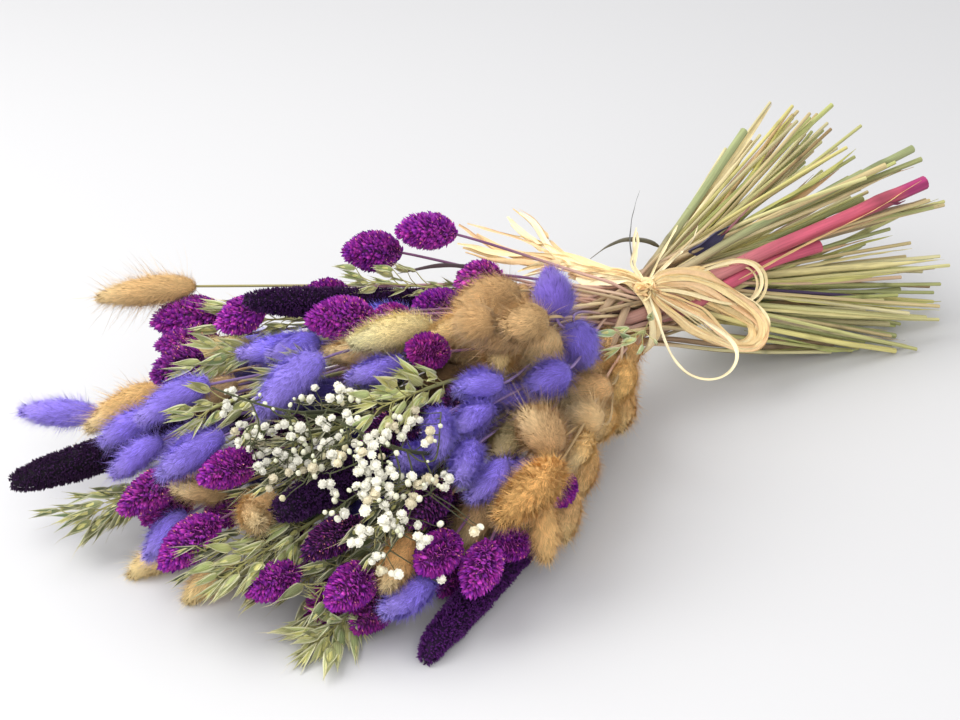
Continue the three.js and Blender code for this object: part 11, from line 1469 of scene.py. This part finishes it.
def spray(M, name, node, route, rs):
    """The branches of one spray, and the flowers that belong to it."""
    # the branches' green is darkened as painted shade among the flowers
    green = lin((76, 80, 50))
    ends = []
    for owner, Q in TWIGS:
        if owner != node:
            continue
        Q = np.asarray(Q, float)
        twig(M, Q, 0.5, 0.34, green * (0.85 + 0.3 * rs.rand()), 26, 6)
        ends.append(spline(Q, 40))
    mine = [b for b in BLOOMS if b[0] == node]
    if not mine or not ends:
        return
    pts = np.concatenate(ends + [spline(np.asarray(route[10:19], float), 30)])
    for _, x, y, z, size, painted_shade in mine:
        p = np.array([x, y, z], float)
        d = np.linalg.norm(pts - p, axis=1)
        # a flower grows from the branch below it, not from the closest point level with it
        k = np.argmin(d + 0.35 * np.maximum(pts[:, 2] - p[2] + 4, 0))
        a = pts[k]
        look = facing(p, rs)
        mid = (a + p) / 2 - look * (0.12 * d[k]) + rs.randn(3) * 0.8
        base = p - look * 1.9 * size
        if d[k] > 2.0:
            twig(M, np.stack([a, mid, base - look * 1.2, base]), 0.34, 0.22, green * (0.85 + 0.35 * rs.rand()), 8, 4)
        x_ = unit(np.cross(look, rs.randn(3)))
        R = np.stack([x_, np.cross(look, x_), look])[None]
        # the last column of BLOOMS darkens a flower as painted shade
        tone = lin((252, 249, 234)) * (0.84 + 0.16 * rs.rand()) * painted_shade
        if rs.rand() < 0.22:
            tone = tone * [0.86, 0.80, 0.66]
        if size > 0.62:
            # flowers stand in twos and threes on short stalks that part at the same fork
            more = [(p, size, look)]
            turn = rs.rand() * 6.28
            for q in range(rs.choice([0, 0, 1, 2])):
                turn += 1.9 + 0.5 * rs.rand()
                away = math.cos(turn) * R[0, 0] + math.sin(turn) * R[0, 1]
                s2 = size * (0.55 + 0.4 * rs.rand())
                more.append((p + away * (size + s2) * (2.0 + 0.6 * rs.rand()) - look * rs.rand() * 2.2, s2, unit(look + away * 0.55)))
            for pp, s2, look2 in more:
                x2 = unit(np.cross(look2, rs.randn(3)))
                R2 = np.stack([x2, np.cross(look2, x2), look2])[None]
                instances(M, *BLOOMS_T[rs.randint(4)], pp[None], R2, np.full((1, 1), s2), np.array([rs.rand()]), (tone * (0.92 + 0.1 * rs.rand()))[None], PETAL, (0.01, 0.02, 0.99, 0.60), 6)
                instances(M, *CUP_T, pp[None], R2, np.full((1, 1), s2 * 0.9), np.array([0.5]), lin((186, 190, 140))[None], STEM, (0.01, 0.64, 0.99, 0.80))
                if pp is not p:
                    twig(M, np.stack([base - look * 1.5, (base + pp) / 2 - look * 1.6, pp - look2 * 1.7 * s2]), 0.26, 0.2, green * 1.1, 5, 4)
        else:
            instances(M, *BUD_T, p[None], R, np.full((1, 1), 2.6 * (0.7 + size)), np.array([rs.rand()]), (tone * [0.95, 0.96, 0.84])[None], PETAL, (0.01, 0.02, 0.99, 0.60), 6)
            instances(M, *CUP_T, (p - look * 0.7)[None], R, np.full((1, 1), 0.62 * (0.7 + size)), np.array([0.5]), lin((168, 178, 118))[None], STEM, (0.01, 0.64, 0.99, 0.80))
    # unopened buds along the twigs
    for Q in ends:
        for _ in range(3):
            a = Q[rs.randint(12, 39)]
            look = unit(facing(a, rs) + rs.randn(3) * 0.5)
            p = a + look * (3 + 7 * rs.rand())
            twig(M, np.stack([a, (a + p) / 2 + rs.randn(3) * 0.5, p]), 0.24, 0.18, green * 1.1, 5, 4)
            x_ = unit(np.cross(look, rs.randn(3)))
            R = np.stack([x_, np.cross(look, x_), look])[None]
            instances(M, *BUD_T, p[None], R, np.full((1, 1), 1.5 + 1.1 * rs.rand()), np.array([rs.rand()]), lin((226, 228, 196))[None], PETAL, (0.01, 0.02, 0.99, 0.60), 6)


# ---------------------------------------------------------------- make the stalks

for name, node, kind, radius, route, st in STALKS:
    rs = rng_of(name)
    M = Mesh()
    if kind == "S":
        stem(M, name, kind, route, st, rs)
        spike(M, name, route, radius, st, rs)
    elif kind in "TV":
        stem(M, name, kind, route, st, rs)
        bunny(M, name, route, radius, st, rs, TAN if kind == "T" else VIOLET)
    elif kind == "P":
        stem(M, name, kind, route, st, rs)
        canary(M, name, route, radius, st, rs)
    elif kind == "O":
        stem(M, name, kind, route, st, rs)
        oat(M, name, route, radius, st, rs)
    else:
        C, *_ = stem(M, name, kind, route, st, rs)
        # the spray's head branch, its green darkened as painted shade
        twig(M, np.asarray(route[12:19], float), 0.8, 0.45, lin((80, 84, 54)), 16, 6)
        spray(M, name, node, route, rs)
    finish_piece(M, name, node)

# ---------------------------------------------------------------- raffia

STRAW = [(250, 226, 168), (252, 234, 184), (240, 210, 152), (248, 212, 164), (253, 240, 198), (247, 226, 172), (238, 202, 150)]


M = Mesh()
rs = rng_of("bow")
for width, straight, route in STRANDS:
    # each strand lies flat towards the outside of the bunch, with a slow twist, and splits into folds along its length
    k0, k1, ph, cu = rs.randn() * 0.45, rs.randn() * 0.5, rs.rand() * 6.28, 0.3 + 0.9 * rs.rand()
    turns = 0.0 if rs.rand() < 0.6 else rs.choice([-1.0, 1.0]) * math.pi
    at_ = 0.25 + 0.5 * rs.rand()
    tint = lin(STRAW[rs.randint(len(STRAW))]) * (0.92 + 0.12 * rs.rand())
    Q = np.asarray(route, float)
    Q[:, 2] = np.maximum(Q[:, 2], 1.2)
    row = (rs.randint(12)) / 12.5
    ribbon(M, Q, 110, lambda x: width * (0.45 + 0.55 * ease(x, 0, 0.07)) * (1 - (0.6 if straight else 0.4) * ease(x, 0.88, 1.0)) * (1 + 0.12 * np.sin(x * 17 + ph)),
           lambda x: k0 + k1 * x + 0.3 * np.sin(x * 9 + ph) + turns * ease(x, at_, at_ + 0.12), lambda x: cu * (1 + 0.6 * np.sin(x * 13 + ph)), 5,
           rs.rand(), tint, FIBRE, (0.01, row + 0.01, 0.99, row + 0.075), wave=0.14, rs=rs, face=CAM_FWD)
bow_mesh = M

tie = np.array(TIE, float)
ka = math.radians(KNOT_TURN)
knot_out = np.array([0, -math.sin(ka), math.cos(ka)])
knot_side = np.array([0, math.cos(ka), math.sin(ka)])
knot_at = tie + knot_out * (KNOT_REACH - 0.6)


def knot(M, rs):
    """Turns of ribbon pulled tight over each other."""
    ex, ey, ez = np.array([1.0, 0, 0]), knot_side, knot_out
    for i in range(12):
        a = np.linspace(0, 6.2832 * (0.72 + 0.5 * rs.rand()), 26) + rs.rand() * 6.28
        turn = rs.rand() * 3.14
        u = math.cos(turn) * ex + math.sin(turn) * ey
        tilt = (rs.rand() - 0.5) * 1.3
        v = unit(math.cos(tilt) * np.cross(ez, u) + math.sin(tilt) * ez)
        w = np.cross(u, v)
        ra, rb = 5.2 + 2.8 * rs.rand(), 2.6 + 1.6 * rs.rand()
        Q = knot_at + u * (np.cos(a) * ra)[:, None] + ez * (np.sin(a) * rb)[:, None] * 0.9 + v * (np.sin(2 * a + i) * 1.3 + rs.randn() * 1.3)[:, None]
        ww, ph = 3.0 + 2.6 * rs.rand(), rs.rand() * 6
        ribbon(M, Q, 40, lambda x: ww * (0.8 + 0.2 * np.sin(x * 9 + ph)), lambda x: 1.2 + 0.6 * np.sin(x * 5 + ph), lambda x: 0.9 + 0 * x, 5, rs.rand(),
               lin(STRAW[rs.randint(len(STRAW))]), FIBRE, (0.01, 0.48 + i * 0.04, 0.99, 0.515 + i * 0.04), first=tuple(ez), wave=0.2, rs=rs)


M = Mesh()
rs = rng_of("band")
for i in range(11):
    # the turns of the tie cross each other at a slight slant
    a = np.linspace(0, 6.2832, 60) + rs.rand() * 0.3
    slant, lift = rs.randn() * 1.6, (rs.rand() - 0.5) * 5.5
    reach = TIE_REACH + 0.15 + 0.12 * i + 0.25 * np.sin(a * 2 + i)
    x = tie[0] + lift + slant * np.sin(a + i) + 0.3 * np.sin(a * 5 + i)
    Q = np.stack([x, tie[1] + reach * np.sin(a), tie[2] + reach * np.cos(a)], -1)
    ww, ph = 3.0 + 2.4 * rs.rand(), rs.rand() * 6
    C = spline(Q, 90)
    ribbon(M, Q, 90, lambda s: ww * (0.85 + 0.15 * np.sin(s * 13 + ph)), lambda s: math.pi / 2 + 0.12 * np.sin(s * 9 + ph), lambda s: 0.25 + 0.2 * np.sin(s * 17 + ph), 5, rs.rand(),
           lin(STRAW[rs.randint(len(STRAW))]), FIBRE, (0.01, i * 0.042 + 0.01, 0.99, i * 0.042 + 0.045), first=tuple(Q[0] - tie), wave=0.12, rs=rs)
knot(M, rs)
finish_piece(M, "raffia_tie", "raffia_band")
finish_piece(bow_mesh, "raffia_loops", "raffia_bow")

# ---------------------------------------------------------------- loose leaves

for lname, width, tint, route, st in LEAVES:
    M = Mesh()
    rs = rng_of(lname)
    ph = rs.rand() * 6
    ribbon(M, np.asarray(route, float), 60, lambda s: width * (0.25 + 0.75 * ease(s, 0, 0.15)) * np.clip((1.0 - s) * st.get("point", 2.4), 0.03, 1) ** 0.8,
           lambda s: st.get("turn", 0.4) + st.get("twist", 1.0) * s + 0.25 * np.sin(s * 6 + ph), lambda s: st.get("curl", 0.7) + 0 * s, 6, rs.rand(),
           lin(tint), LEAF, (0.01, 0.05, 0.99, 0.95), wave=0.15, rs=rs)
    finish_piece(M, lname, None)

# ---------------------------------------------------------------- floor, light and colour

scene = bpy.context.scene


def plain(name, c, rough):
    g = bpy.data.materials.new(name)
    g.use_nodes = True
    nt = g.node_tree
    p = nt.nodes["Principled BSDF"]
    n = nt.nodes.new("ShaderNodeTexNoise")
    n.inputs["Scale"].default_value = 1.7
    m = nt.nodes.new("ShaderNodeMapRange")
    m.inputs[3].default_value, m.inputs[4].default_value = 0.985, 1.0
    nt.links.new(n.outputs[0], m.inputs[0])
    s = nt.nodes.new("ShaderNodeVectorMath")
    s.operation = "SCALE"
    s.inputs[0].default_value = c
    nt.links.new(m.outputs[0], s.inputs["Scale"])
    nt.links.new(s.outputs[0], p.inputs["Base Color"])
    p.inputs["Roughness"].default_value = rough
    p.inputs["Specular IOR Level"].default_value = 0.2
    return g


me = bpy.data.meshes.new("floor")
me.from_pydata([(-9, -9, 0), (9, -9, 0), (9, 9, 0), (-9, 9, 0)], [], [(0, 1, 2, 3)])
floor = bpy.data.objects.new("floor", me)
me.materials.append(plain("pale_floor", tuple(lin((206, 206, 207))), 0.6))
scene.collection.objects.link(floor)

world = bpy.data.worlds.new("studio")
world.use_nodes = True
world.node_tree.nodes["Background"].inputs[0].default_value = (0.985, 0.985, 1.0, 1)
world.node_tree.nodes["Background"].inputs[1].default_value = 0.84
scene.world = world


def area(name, at, to, size, power, colour=(1, 1, 1)):
    d = bpy.data.lights.new(name, "AREA")
    d.shape, d.size, d.size_y = "RECTANGLE", size[0], size[1]
    d.energy, d.color = power, colour
    o = bpy.data.objects.new(name, d)
    scene.collection.objects.link(o)
    o.location = at
    o.rotation_mode = "QUATERNION"
    o.rotation_quaternion = (Vector(to) - Vector(at)).to_track_quat("-Z", "Y")


area("key", (-0.75, 0.75, 1.35), (0, 0, 0.03), (1.5, 1.5), 26.0, (1.0, 0.99, 0.97))
area("fill", (-1.3, -0.9, 1.1), (-0.1, 0, 0.03), (1.6, 1.4), 15.5, (0.99, 0.99, 1.0))
scene.view_settings.view_transform = "Standard"
scene.view_settings.look = "None"
